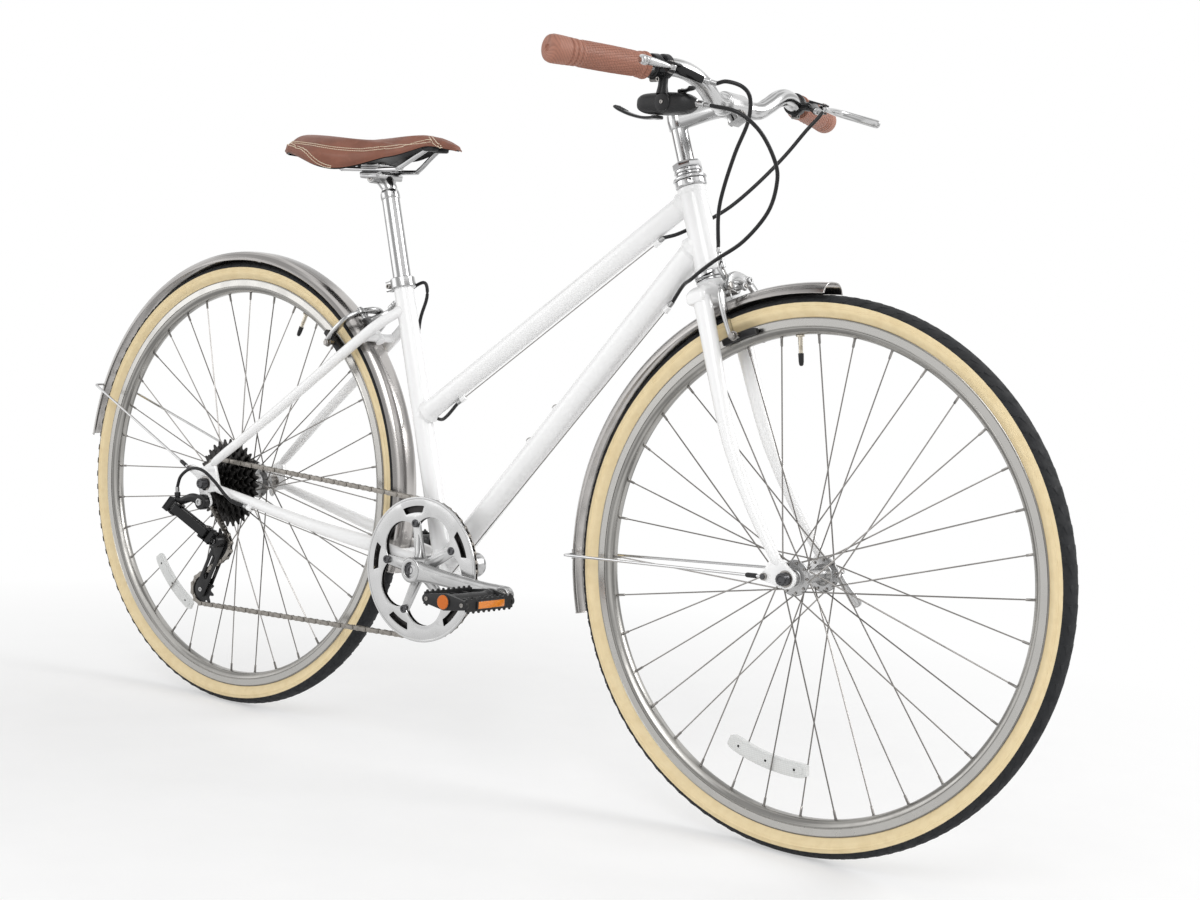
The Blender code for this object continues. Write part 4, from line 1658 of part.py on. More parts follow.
def build_cables(mats, parent):
    """Four housings and the two bare wires under the frame."""
    mat, bare = mats["housing"], WIRE_D / 2
    stops = stop_places()
    half = STOP_L / 2 + GAP

    start, way = barrel_end(-1)
    centre, ahead, up, _, _ = brake_spots(front_brake_frame(), FRONT_AXLE, FRONT_BRAKE_FORWARD)
    barrel = centre - Y * ANCHOR_Y + up * (BARREL_UP + BARREL_LENGTH + GAP)
    foot = centre - Y * ANCHOR_Y + ahead * (BRAKE_ARM_T + GAP) / 2 + up * 0.0115
    route = housing(start + way * GAP, way, FRONT_BRAKE_ROUTE, barrel, up)
    route += [(barrel - up * 0.0002, bare), (barrel - up * 0.018, bare), (foot, bare)]
    cable("front_brake_housing", route, mat, mats["steering"])

    start, way = barrel_end(1)
    at, along, _ = stops["top_front"]
    route = housing(start + way * GAP, way, REAR_BRAKE_ROUTE, at + along * half, along)
    cable("rear_brake_front_housing", route, mat, parent)

    far, along, _ = stops["top_rear"]
    route = [(at + along * (half - 0.002), bare), (far - along * (half - 0.0002), bare)]
    centre, ahead, up, _, _ = brake_spots(rear_brake_frame(), REAR_AXLE, REAR_BRAKE_BACK)
    barrel = centre + Y * ANCHOR_Y + up * (BARREL_UP + BARREL_LENGTH + GAP)
    foot = centre + Y * ANCHOR_Y + ahead * (BRAKE_ARM_T + GAP) / 2 + up * 0.0115
    route += housing(far - along * half, -along, REAR_LOOP_ROUTE, barrel, up)
    route += [(barrel - up * 0.0002, bare), (barrel - up * 0.018, bare), (foot, bare)]
    cable("rear_brake_cable", route, mat, parent)

    start, way = shift_barrel()
    at, along, _ = stops["down"]
    route = housing(start + way * (0.009 + GAP), way, SHIFT_ROUTE, at + along * half, along)
    cable("shift_front_housing", route, mat, parent)

    far, back, _ = stops["stay"]
    route = [(at + along * (half - 0.002), bare)]
    under = BB_SHELL_D / 2 + STOP_STANDOFF * 0.6
    for degree in (-44, -62, -80, -98):
        route.append((on_wheel(BB, under, radians(degree), -0.012), bare))
    route += [(far - back * (half + 0.004), bare), (far + back * (half - 0.0002), bare)]
    high = link_pins()[0]
    along, _, hinge = link_axes()
    stop_top = (high[0] + high[1]) / 2 - along * 0.0085 + hinge * 0.0125 + STOP_UP * (0.011 + GAP)
    route += housing(far + back * half, back, DERAILLEUR_LOOP_ROUTE, stop_top, STOP_UP)
    cable("shift_cable", route, mat, parent)


def main():
    clear_scene()
    mats = {
        "white": paint("frame_paint", (0.80, 0.80, 0.80), 0.28),
        "alloy": paint("polished_alloy", (0.72, 0.73, 0.74), 0.25, 1.0),
        "steel": paint("chromed_steel", (0.62, 0.63, 0.65), 0.22, 1.0),
        "black": paint("black_parts", (0.02, 0.02, 0.022), 0.42),
        "grip": paint("brown_grip", (0.26, 0.10, 0.055), 0.55),
        "tyre": paint("tyre_rubber", (0.03, 0.03, 0.03), 0.8),
        "housing": paint("cable_housing", (0.015, 0.015, 0.016), 0.35),
        "saddle": paint("brown_leather", (0.22, 0.075, 0.035), 0.45),
        "chain": paint("chain_steel", (0.35, 0.33, 0.30), 0.35, 1.0),
        "lens": paint("reflector", (0.75, 0.75, 0.72), 0.1),
    }
    bike = pivot("city_bike", (0, 0, 0))
    cage_angle = settle_cage()
    stretches, tension = chain_path(cage_angle)
    steering = pivot("steering", steer(HEAD_TUBE_LOW), bike)
    front = pivot("front_wheel", FRONT_AXLE, steering)
    rear = pivot("rear_wheel", REAR_AXLE, bike)
    freewheel = pivot("freewheel", REAR_AXLE, bike)
    crank = pivot("crank", BB, bike)
    mats["steering"] = steering

    build_frame(mats["white"], bike)
    build_headset(mats["steel"], bike, steering)
    build_fork(mats["white"], steering)
    build_seat_clamp(mats["alloy"], bike)
    build_stem_and_bar(mats, steering)
    build_wheels(mats, bike, front, rear, steering)
    build_fenders(mats, bike, steering)
    build_cassette(stretches, mats["black"], freewheel)
    build_crankset(stretches, mats, crank)
    put("chain", chain_body(stretches), mats["chain"], bike)
    for side, label in ((1, "left"), (-1, "right")):
        build_pedal(side, mats["black"], label + "_pedal", pivot(label + "_pedal_spin", pedal_centre(side), crank))
        build_grip(side, mats["grip"], "grip_" + label, steering)
        build_brake_lever(side, "brake_bracket_" + label, "brake_lever_" + label, mats, steering,
                          pivot(label + "_lever_pivot", lever_pivot(side), steering))
    build_shifter(mats, steering, pivot("thumb_pivot", thumb_pivot(), steering),
                  pivot("trigger_pivot", trigger_pivot(), steering))
    build_calipers(mats["alloy"], bike, steering)
    high, low = link_pins()
    hang = pivot("hanger_pivot", hanger_point(), bike)
    outer = pivot("outer_link_pivot", high[0], hang)
    knuckle = pivot("knuckle_pivot", low[0], outer)
    cage = pivot("cage_pivot", cage_pivot() + Y * CHAIN_Y, knuckle)
    build_derailleur(stretches, tension, mats, {
        "hang": hang, "outer": outer, "inner": pivot("inner_link_pivot", high[1], hang), "knuckle": knuckle,
        "cage": cage, "guide": pivot("guide_spin", Vector((GUIDE_PULLEY[0], CHAIN_Y, GUIDE_PULLEY[1])), cage),
        "tension": pivot("tension_spin", Vector((tension[0], CHAIN_Y, tension[1])), cage)})
    build_saddle(mats, pivot("seat_height", BB + SEAT_DIR * SEAT_TUBE_LENGTH, bike))
    qr_lever(FRONT_AXLE, FRONT_DROPOUT_Y, Vector((0.56, 0, -0.83)), mats["steel"], "front_qr_lever",
             pivot("front_qr_pivot", qr_place(FRONT_AXLE, FRONT_DROPOUT_Y), steering))
    qr_lever(REAR_AXLE, REAR_DROPOUT_Y, Vector((-0.86, 0, -0.51)), mats["steel"], "rear_qr_lever",
             pivot("rear_qr_pivot", qr_place(REAR_AXLE, REAR_DROPOUT_Y), bike))
    build_cables(mats, bike)
    bike.location.x = REAR_X


def build_fenders(mats, root, steering):
    """Both fenders with their brackets, and the wire stays that hold their ends."""
    put("front_fender", fender_body(FRONT_AXLE, FRONT_FENDER_FROM, FRONT_FENDER_TO), mats["alloy"], steering)
    put("rear_fender", fender_body(REAR_AXLE, REAR_FENDER_FROM, REAR_FENDER_TO), mats["alloy"], root)
    eye = FRONT_AXLE + STEER_FWD * -0.0285 + STEER_UP * 0.0090
    eye_y = FRONT_DROPOUT_Y + DROPOUT_T + GAP + STAY_WIRE_D / 2
    put("front_fender_stay", wire_stay(FRONT_AXLE, FRONT_STAY_ANGLE, eye, eye_y), mats["alloy"], steering)
    eye_y = REAR_DROPOUT_Y + DROPOUT_T + GAP + STAY_WIRE_D / 2
    put("rear_fender_stay", wire_stay(REAR_AXLE, REAR_STAY_ANGLE, eyelet_point(), eye_y), mats["alloy"], root)


def build_calipers(mat, root, steering):
    for label, frame, axle, off, parent, side in (
            ("front", front_brake_frame(), FRONT_AXLE, FRONT_BRAKE_FORWARD, steering, 1),
            ("rear", rear_brake_frame(), REAR_AXLE, REAR_BRAKE_BACK, root, -1)):
        centre, _, up, _, _ = brake_spots(frame, axle, off)
        side_at = centre + Y * (side * BRAKE_SIDE_PIVOT_Y) + up * BRAKE_SIDE_PIVOT_UP
        caliper_arm(frame, axle, off, side, "centre", mat, label + "_caliper_centre_arm",
                    pivot(label + "_centre_arm_pivot", centre, parent))
        caliper_arm(frame, axle, off, side, "side", mat, label + "_caliper_side_arm",
                    pivot(label + "_side_arm_pivot", side_at, parent))


main()
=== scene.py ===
"""City bike, dressed: smooth tubes, wheels, drive, brakes, cockpit and saddle over the fixed frame."""

from math import asin, atan2, ceil, cos, degrees, exp, hypot, pi, radians, sin, sqrt

import bmesh
import bpy
from bpy.props import FloatProperty, FloatVectorProperty, PointerProperty
from mathutils import Matrix, Vector
from mathutils.bvhtree import BVHTree
from mathutils.kdtree import KDTree


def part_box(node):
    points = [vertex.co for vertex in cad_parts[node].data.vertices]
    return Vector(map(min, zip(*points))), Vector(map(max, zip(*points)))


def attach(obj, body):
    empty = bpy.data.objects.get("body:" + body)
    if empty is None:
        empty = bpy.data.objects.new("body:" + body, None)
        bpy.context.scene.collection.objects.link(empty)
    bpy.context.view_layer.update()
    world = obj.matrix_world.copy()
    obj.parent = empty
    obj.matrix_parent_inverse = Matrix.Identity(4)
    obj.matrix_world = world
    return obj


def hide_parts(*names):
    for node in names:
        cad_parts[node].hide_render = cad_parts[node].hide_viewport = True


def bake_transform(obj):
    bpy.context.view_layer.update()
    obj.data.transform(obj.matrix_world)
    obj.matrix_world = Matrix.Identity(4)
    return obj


bl_info = {"name": "City bike", "version": (1, 0, 0), "blender": (4, 5, 0),
           "location": "View3D > Sidebar > City bike",
           "description": "Builds a step-through city bike piece by piece", "category": "Add Mesh"}

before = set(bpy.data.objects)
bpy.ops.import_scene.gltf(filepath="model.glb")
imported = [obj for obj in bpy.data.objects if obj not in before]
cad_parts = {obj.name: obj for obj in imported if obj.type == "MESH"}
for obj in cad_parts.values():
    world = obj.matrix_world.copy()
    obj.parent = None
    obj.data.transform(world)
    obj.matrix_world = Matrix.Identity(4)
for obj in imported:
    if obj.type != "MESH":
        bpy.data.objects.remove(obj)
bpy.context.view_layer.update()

X, Y, Z = Vector((1, 0, 0)), Vector((0, 1, 0)), Vector((0, 0, 1))
GAP = 0.0003

# Sizes are measured from the ground under the rear axle, as the frame builder draws them.
WHEELBASE = 1.0306
TYRE_R = 0.345
RIM_R = 0.317
RIM_W = 0.023
RIM_DEPTH = 0.0205
RIM_IN = RIM_R - RIM_DEPTH
BRAKE_TRACK_R = RIM_R - 0.008
SPOKES = 36
FRONT_VALVE = radians(98)
REAR_VALVE = radians(66)
FENDER_R = 0.36
FENDER_W = 0.045
FENDER_DEPTH = 0.014
FENDER_T = 0.0011
REAR_FENDER_TO = radians(173)
CHAINSTAY = 0.4405
BB_DROP = 0.073
SEAT_ANGLE = radians(73.4)
HEAD_ANGLE = radians(70.3)
FORK_OFFSET = 0.049
BLADE_Y = 0.0375
BLADE_TOP_D = 0.0245
BLADE_TIP_D = 0.013
BLADE_BEND_UP = 0.205
SEAT_TUBE_D = 0.0286
SEAT_TUBE_LENGTH = 0.424
TOP_TUBE_ON_SEAT = 0.219
HEAD_TUBE_D = 0.036
HEAD_TUBE_LOW = 0.405
HEAD_TUBE_LENGTH = 0.1125
HEAD_TOP = HEAD_TUBE_LOW + HEAD_TUBE_LENGTH
TOP_TUBE_D = 0.0286
TOP_TUBE_ON_HEAD = 0.505
DOWN_TUBE_D = 0.0349
DOWN_TUBE_ON_HEAD = 0.447
CUP_HEIGHT = 0.0095
BRIDGE_D = 0.012
BB_SHELL_R = 0.02
BOTTLE_BOSS_UP = 0.2385
BOTTLE_BOSS_PITCH = 0.064
DROPOUT_T = 0.006
FRONT_DROPOUT_Y = 0.05
REAR_DROPOUT_Y = 0.0675
AXLE_PAST_DROPOUT = 0.0007
QR_CUP_L = 0.007
QR_PIVOT_R = 0.005
STOP_STANDOFF = 0.004
STOP_L = 0.01
STOP_D = 0.0085
PITCH = 0.0127
RING_TEETH = 48
COG_TEETH = (11, 13, 15, 18, 21, 24, 28, 32)
COG_IN_USE = 18
COG_PITCH = 0.0048
COG_T = 0.0018
PULLEY_TEETH = 11
CHAIN_Y = -0.045
CHAIN_LINKS = 120
CHAIN_HALF_H = 0.0042
CHAIN_HALF_W = 0.0034
CAGE_LENGTH = 0.0815
GUIDE_PULLEY = (0.0114, 0.25)
SPIDER_ANGLE = radians(31)
BOLT_CIRCLE_R = 0.065
CRANK_ANGLE = radians(-3.5)
CRANK_LENGTH = 0.17
SPIDER_T = 0.003
CRANK_FACE_Y = 0.072
CRANK_T = 0.014
PEDAL_INNER_Y = 0.09
PEDAL_LENGTH = 0.098
PEDAL_DEPTH = 0.078
PEDAL_H = 0.022
HOUSING_D = 0.005
WIRE_D = 0.0016
BAR_D = 0.0222
BAR_HALF = 0.31
QUILL_TOP = 0.612
GRIP_FAT_R = 0.0335 / 2
GRIP_THIN_R = 0.0295 / 2
LEVER_Y = 0.176
LEVER_BARREL_L = 0.0105
POD_Y = 0.135
POD_Z = -0.016
SHIFT_BARREL_L = 0.009
SADDLE_LENGTH = 0.29
SADDLE_W = 0.168
SADDLE_TOP_Z = 0.88
POST_CLAMP_X = 0.2575
RAIL_BELOW_TOP = 0.0475
RAIL_R = 0.0035
SEAT_POST_R = 0.0131
STITCH_ROW_OFF = 0.002
EAR_T = 0.0025
BRAKE_ARM_T = 0.007
BRAKE_SIDE_PIVOT_Y = 0.019
BRAKE_SIDE_PIVOT_UP = 0.009
ANCHOR_Y = 0.026
BARREL_UP = 0.033
BARREL_LENGTH = 0.011
BRAKE_OFF = 0.036
FRONT_BRAKE_UP = 0.372
PAD_CLEARANCE = 0.0028
PAD_T = 0.0045
CAMERA_AT = (2.1642, -1.9459, 0.6289)
CAMERA_TURN = 0.6466
CAMERA_RISE = 0.0665
CAMERA_ROLL = 0.0767
CAMERA_LENS = 55.035
CAMERA_SENSOR = 36.0

BB = Vector((sqrt(CHAINSTAY ** 2 - BB_DROP ** 2), 0, TYRE_R - BB_DROP))
REAR_AXLE = Vector((0, 0, TYRE_R))
FRONT_AXLE = Vector((WHEELBASE, 0, TYRE_R))
SEAT_DIR = Vector((-cos(SEAT_ANGLE), 0, sin(SEAT_ANGLE)))
STEER_UP = Vector((-cos(HEAD_ANGLE), 0, sin(HEAD_ANGLE)))
STEER_FWD = Vector((sin(HEAD_ANGLE), 0, cos(HEAD_ANGLE)))
SPIDER_Y = CHAIN_Y - COG_T / 2 - GAP - SPIDER_T / 2
REAR_X = -(WHEELBASE + TYRE_R - max(TYRE_R, FENDER_R * -cos(REAR_FENDER_TO))) / 2


# ---------------------------------------------------------------- places on the bike
def steer(up, forward=0.0, left=0.0):
    """A point along the steering axis, from the level of the front axle, ahead of it and left of it."""
    return FRONT_AXLE - STEER_FWD * FORK_OFFSET + STEER_UP * up + STEER_FWD * forward + Y * left


def on_wheel(axle, r, angle, y=0.0):
    """A point in an axle's plane, or beside it by y, at a radius and an angle from straight ahead."""
    return axle + Vector((r * cos(angle), y, r * sin(angle)))


def mirror(p):
    """The same place or direction on the bike's other side."""
    return Vector((p.x, -p.y, p.z))


def side_name(side):
    return "left" if side > 0 else "right"


def crank_way(side):
    return on_wheel(Vector(), 1.0, CRANK_ANGLE) * -side


def polar(r, angle):
    """A point in the plane of a plate."""
    return (r * cos(angle), r * sin(angle))


def down_line():
    along = (steer(DOWN_TUBE_ON_HEAD) - BB).normalized()
    return BB, along, along.cross(Y).normalized()


def top_line():
    start = BB + SEAT_DIR * TOP_TUBE_ON_SEAT
    along = (steer(TOP_TUBE_ON_HEAD) - start).normalized()
    return start, along, along.cross(Y).normalized()


def on_tube(line, distance, below, left=0.0):
    """A point along a tube, below its centre line and left of it."""
    start, along, out = line
    down = out if out.z < 0 else -out
    return start + along * distance + down * below + Y * left


def chain_stay_point(part, y, rise=0.0):
    """A point beside the line from the bottom bracket (0) to the rear axle (1)."""
    return BB.lerp(REAR_AXLE, part) + Y * y + Z * rise


def seat_stay_ends():
    return BB + SEAT_DIR * (SEAT_TUBE_LENGTH - 0.048), REAR_AXLE + Vector((0.026, 0, 0.043))


def bridge_spot():
    top, tip = seat_stay_ends()
    r = FENDER_R + BRIDGE_D / 2 + GAP
    run, start = tip - top, top - REAR_AXLE
    a, b, c = run.length_squared, 2 * run.dot(start), start.length_squared - r * r
    return top + run * ((-b - sqrt(max(b * b - 4 * a * c, 0.0))) / (2 * a))


def hanger_point():
    return REAR_AXLE + Vector((0.004, -(REAR_DROPOUT_Y + DROPOUT_T / 2), -0.028))


def eyelet_point():
    return REAR_AXLE + Vector((-0.0365, 0, 0.0198))


def brake_frame(rear):
    """A brake's bolt, its axis away from the mount, and up from the hub."""
    if not rear:
        return steer(FRONT_BRAKE_UP), STEER_FWD.copy(), STEER_UP.copy()
    spot = bridge_spot()
    up = (spot - REAR_AXLE).normalized()
    return spot, up.cross(Y).normalized(), up


def brake_drop(rear):
    """The caliper's mid-plane centre, its two axes, how far below it the pads sit, and their tilt."""
    spot, forward, up = brake_frame(rear)
    axle = REAR_AXLE if rear else FRONT_AXLE
    centre = spot + forward * BRAKE_OFF
    ahead = (centre - axle).dot(forward)
    drop = sqrt(BRAKE_TRACK_R ** 2 - ahead ** 2) - (spot - axle).dot(up)
    return centre, forward, up, drop, ahead / BRAKE_TRACK_R


def stop_places():
    """Each cable stop: its middle, its direction and the tube behind it."""
    top, down = top_line(), down_line()
    under_top, under_down = TOP_TUBE_D / 2 + STOP_STANDOFF, DOWN_TUBE_D / 2 + STOP_STANDOFF
    return {"top_front": (on_tube(top, 0.47, under_top), top[1], on_tube(top, 0.47, 0)),
            "top_rear": (on_tube(top, 0.081, under_top), top[1], on_tube(top, 0.081, 0)),
            "down": (on_tube(down, 0.523, under_down), down[1], on_tube(down, 0.523, 0)),
            "stay": (chain_stay_point(0.77, -(REAR_DROPOUT_Y + 0.0035), -0.0095),
                     (REAR_AXLE - BB).normalized(),
                     chain_stay_point(0.77, -(REAR_DROPOUT_Y - 0.006), -0.001))}


def bar_centre():
    return steer(QUILL_TOP) + X * 0.0824 + Z * 0.0143


BAR_BEND = ((0.0, 0.022, 0.0), (0.007, 0.05, 0.0005), (0.0096, 0.07, 0.01), (0.0085, 0.09, 0.0205),
            (0.0042, 0.112, 0.027), (-0.0003, 0.136, 0.0278), (-0.0098, 0.1735, 0.0238),
            (-0.0466, BAR_HALF, 0.023))


def bar_at(y):
    """The bar's centre and its outward direction at a distance from the middle."""
    line = [bar_centre()] + [bar_centre() + Vector(p) for p in BAR_BEND]
    for a, b in zip(line, line[1:]):
        if b.y >= abs(y):
            break
    p, way = a.lerp(b, (abs(y) - a.y) / (b.y - a.y)), (b - a).normalized()
    return (p, way) if y >= 0 else (mirror(p), mirror(way))


def lever_pivot(side):
    return bar_centre() + Vector((0.029, side * LEVER_Y, 0.021))


def lever_barrel(side):
    return (bar_centre() + Vector((0.044, side * 0.133, 0.0122)),
            Vector((0.0085, -side * 0.0055, -0.002)).normalized())


def pod_at(x, y, z):
    """A place on the shifter: ahead of the bar's middle, to its right and above it."""
    return bar_centre() + Vector((x, -y, z))


def cog_y(index):
    return CHAIN_Y - (COG_TEETH.index(COG_IN_USE) - index) * COG_PITCH


def link_axes():
    along = Vector((0.8, 0.3, -0.517)).normalized()
    sway = Vector((0.0, 0.93, -0.36))
    sway = (sway - along * sway.dot(along)).normalized()
    return along, sway, along.cross(sway)


def cage_pivot():
    return REAR_AXLE + Vector((GUIDE_PULLEY[0] + 0.0066, 0, GUIDE_PULLEY[1] + 0.008 - TYRE_R))


def link_pins():
    """The upper and the lower pair of the parallelogram's pins."""
    along, sway, _ = link_axes()
    low = cage_pivot() + Vector((-0.012, -0.072, 0.012))
    high = low - along * 0.06
    half = sway * (0.0155 / 2)
    return [high - half, high + half], [low - half, low + half]


def derailleur_stop():
    """Where the shift housing ends on the derailleur, and which way it leaves."""
    along, _, hinge = link_axes()
    high = link_pins()[0]
    return ((high[0] + high[1]) / 2 - along * 0.0085 + hinge * 0.0125,
            Vector((-0.15, 0, 0.98)).normalized())


THUMB_PIVOT = pod_at(-0.016, POD_Y, POD_Z - 0.0135 - GAP - 0.0024)
TRIGGER_PIVOT = pod_at(0.02, 0.137, POD_Z + 0.012 + GAP + 0.0022)
SHIFT_BARREL = pod_at(0.043, POD_Y, POD_Z)
SHIFT_OUT = Vector((0.985, 0.1, -0.14)).normalized()
RAIL_RUN = ((-0.108, 0.039, 0.033), (-0.098, 0.036, 0.025), (-0.062, 0.024, 0.002), (-0.05, 0.022, 0.0),
            (0.04, 0.022, 0.0), (0.055, 0.0205, 0.003), (0.082, 0.015, 0.02), (0.103, 0.011, 0.033))
RAIL_Z = SADDLE_TOP_Z - RAIL_BELOW_TOP
SADDLE_BACK = POST_CLAMP_X - 0.49 * SADDLE_LENGTH


# ---------------------------------------------------------------- the chain's course
def pitch_radius(teeth):
    return PITCH / 2 / sin(pi / teeth)


def chain_path(cage_angle):
    """The chain's course as stretches in pitches, and the tension pulley's place."""
    guide = GUIDE_PULLEY
    tension = (guide[0] + CAGE_LENGTH * cos(cage_angle), guide[1] + CAGE_LENGTH * sin(cage_angle))
    wheels = [(BB.x, BB.z, -1, RING_TEETH), (*tension, -1, PULLEY_TEETH), (*guide, 1, PULLEY_TEETH),
              (REAR_AXLE.x, REAR_AXLE.z, -1, COG_IN_USE)]
    runs = []
    for (ax, az, s, t), (bx, bz, q, u) in zip(wheels, wheels[1:] + wheels[:1]):
        ar, br = pitch_radius(t), pitch_radius(u)
        heading = atan2(bz - az, bx - ax) + asin(-(q * br - s * ar) / hypot(bx - ax, bz - az))
        nx, nz = -sin(heading), cos(heading)
        runs.append(((ax - s * ar * nx, az - s * ar * nz), (bx - q * br * nx, bz - q * br * nz)))
    stretches = []
    for i, (cx, cz, sense, teeth) in enumerate(wheels):
        arrive, leave = runs[i - 1][1], runs[i][0]
        start = atan2(arrive[1] - cz, arrive[0] - cx)
        turn = (sense * (atan2(leave[1] - cz, leave[0] - cx) - start)) % (2 * pi)
        stretches.append(("arc", turn * teeth / (2 * pi),
                          (cx, cz, pitch_radius(teeth), sense, start, teeth)))
        stretches.append(("run", hypot(runs[i][1][0] - leave[0], runs[i][1][1] - leave[1]) / PITCH,
                          (leave, runs[i][1])))
    return stretches, tension


def settle_cage():
    """The cage angle at which the chain closes on a whole number of links."""
    low, high = radians(-140), radians(-75)
    for _ in range(50):
        mid = (low + high) / 2
        if sum(s[1] for s in chain_path(mid)[0]) > CHAIN_LINKS:
            low = mid
        else:
            high = mid
    return (low + high) / 2


def on_chain(stretches, at):
    """A place on the chain and the chain's heading there."""
    for kind, length, data in stretches:
        if at <= length:
            break
        at -= length
    if kind == "arc":
        cx, cz, r, sense, start, teeth = data
        angle = start + sense * at * 2 * pi / teeth
        return Vector((cx + r * cos(angle), 0, cz + r * sin(angle))), angle + sense * pi / 2
    (ax, az), (bx, bz) = data
    part = at / length
    return Vector((ax + (bx - ax) * part, 0, az + (bz - az) * part)), atan2(bz - az, bx - ax)


def tooth_phase(stretches, which):
    """The angle of one tooth of a wheel on the chain: half a pitch past a roller."""
    passed = sum(s[1] for s in stretches[:which])
    _, _, _, sense, start, teeth = stretches[which][2]
    return start + sense * (ceil(passed) - passed + 0.5) * 2 * pi / teeth


CHAIN_COURSE, TENSION_PULLEY = chain_path(settle_cage())


# ---------------------------------------------------------------- shapes
def smooth_line(points, steps):
    """Points on a Catmull-Rom curve through the given points: vectors, or tuples of any length."""
    points = [Vector(p) for p in points]
    padded = [points[0] * 2 - points[1]] + points + [points[-1] * 2 - points[-2]]
    line = []
    for i in range(1, len(padded) - 2):
        a, b, c, d = padded[i - 1:i + 3]
        for k in range(steps):
            t = k / steps
            line.append(0.5 * (2 * b + (c - a) * t + (2 * a - 5 * b + 4 * c - d) * t ** 2
                               + (3 * b - a - 3 * c + d) * t ** 3))
    return line + [points[-1]]


def cross_axes(axis):
    u = axis.orthogonal().normalized()
    return u, axis.cross(u)


def both_sides(half):
    """A profile of (y, radius) pairs, from the middle out, with its mirror image before it."""
    return [(-y, r) for y, r in reversed(half)] + half[1:]


def around(count, start=0.0):
    """Evenly spaced angles."""
    return [start + 2 * pi * k / count for k in range(count)]


def circle(r, steps, centre=(0.0, 0.0), phase=0.0):
    return [(centre[0] + r * cos(2 * pi * (k + phase) / steps),
             centre[1] + r * sin(2 * pi * (k + phase) / steps)) for k in range(steps)]


def hull(circles, steps=40):
    """The outline of a string pulled round some circles, each given as (x, y, radius)."""
    points = sorted({p for x, y, r in circles for p in circle(r, steps, (x, y), 0.5)})
    half = []
    for run in (points, points[::-1]):
        side = []
        for p in run:
            while len(side) > 1 and ((side[-1][0] - side[-2][0]) * (p[1] - side[-2][1])
                                     - (side[-1][1] - side[-2][1]) * (p[0] - side[-2][0])) <= 1e-12:
                side.pop()
            side.append(p)
        half += side[:-1]
    return half


def soften(profile, radius, closed=False):
    """A profile whose inner corners are rounded."""
    out = []
    n = len(profile)
    for i, p in enumerate(profile):
        if not closed and i in (0, n - 1):
            out.append(p)
            continue
        p, a, b = Vector(p), Vector(profile[i - 1]), Vector(profile[(i + 1) % n])
        r = min(radius, (a - p).length * 0.45, (b - p).length * 0.45)
        if r < 1e-5:
            out.append(tuple(p))
            continue
        start, end = p + (a - p).normalized() * r, p + (b - p).normalized() * r
        for t in (0.0, 0.33, 0.67, 1.0):
            out.append(tuple(start * (1 - t) ** 2 + p * 2 * t * (1 - t) + end * t * t))
    return out


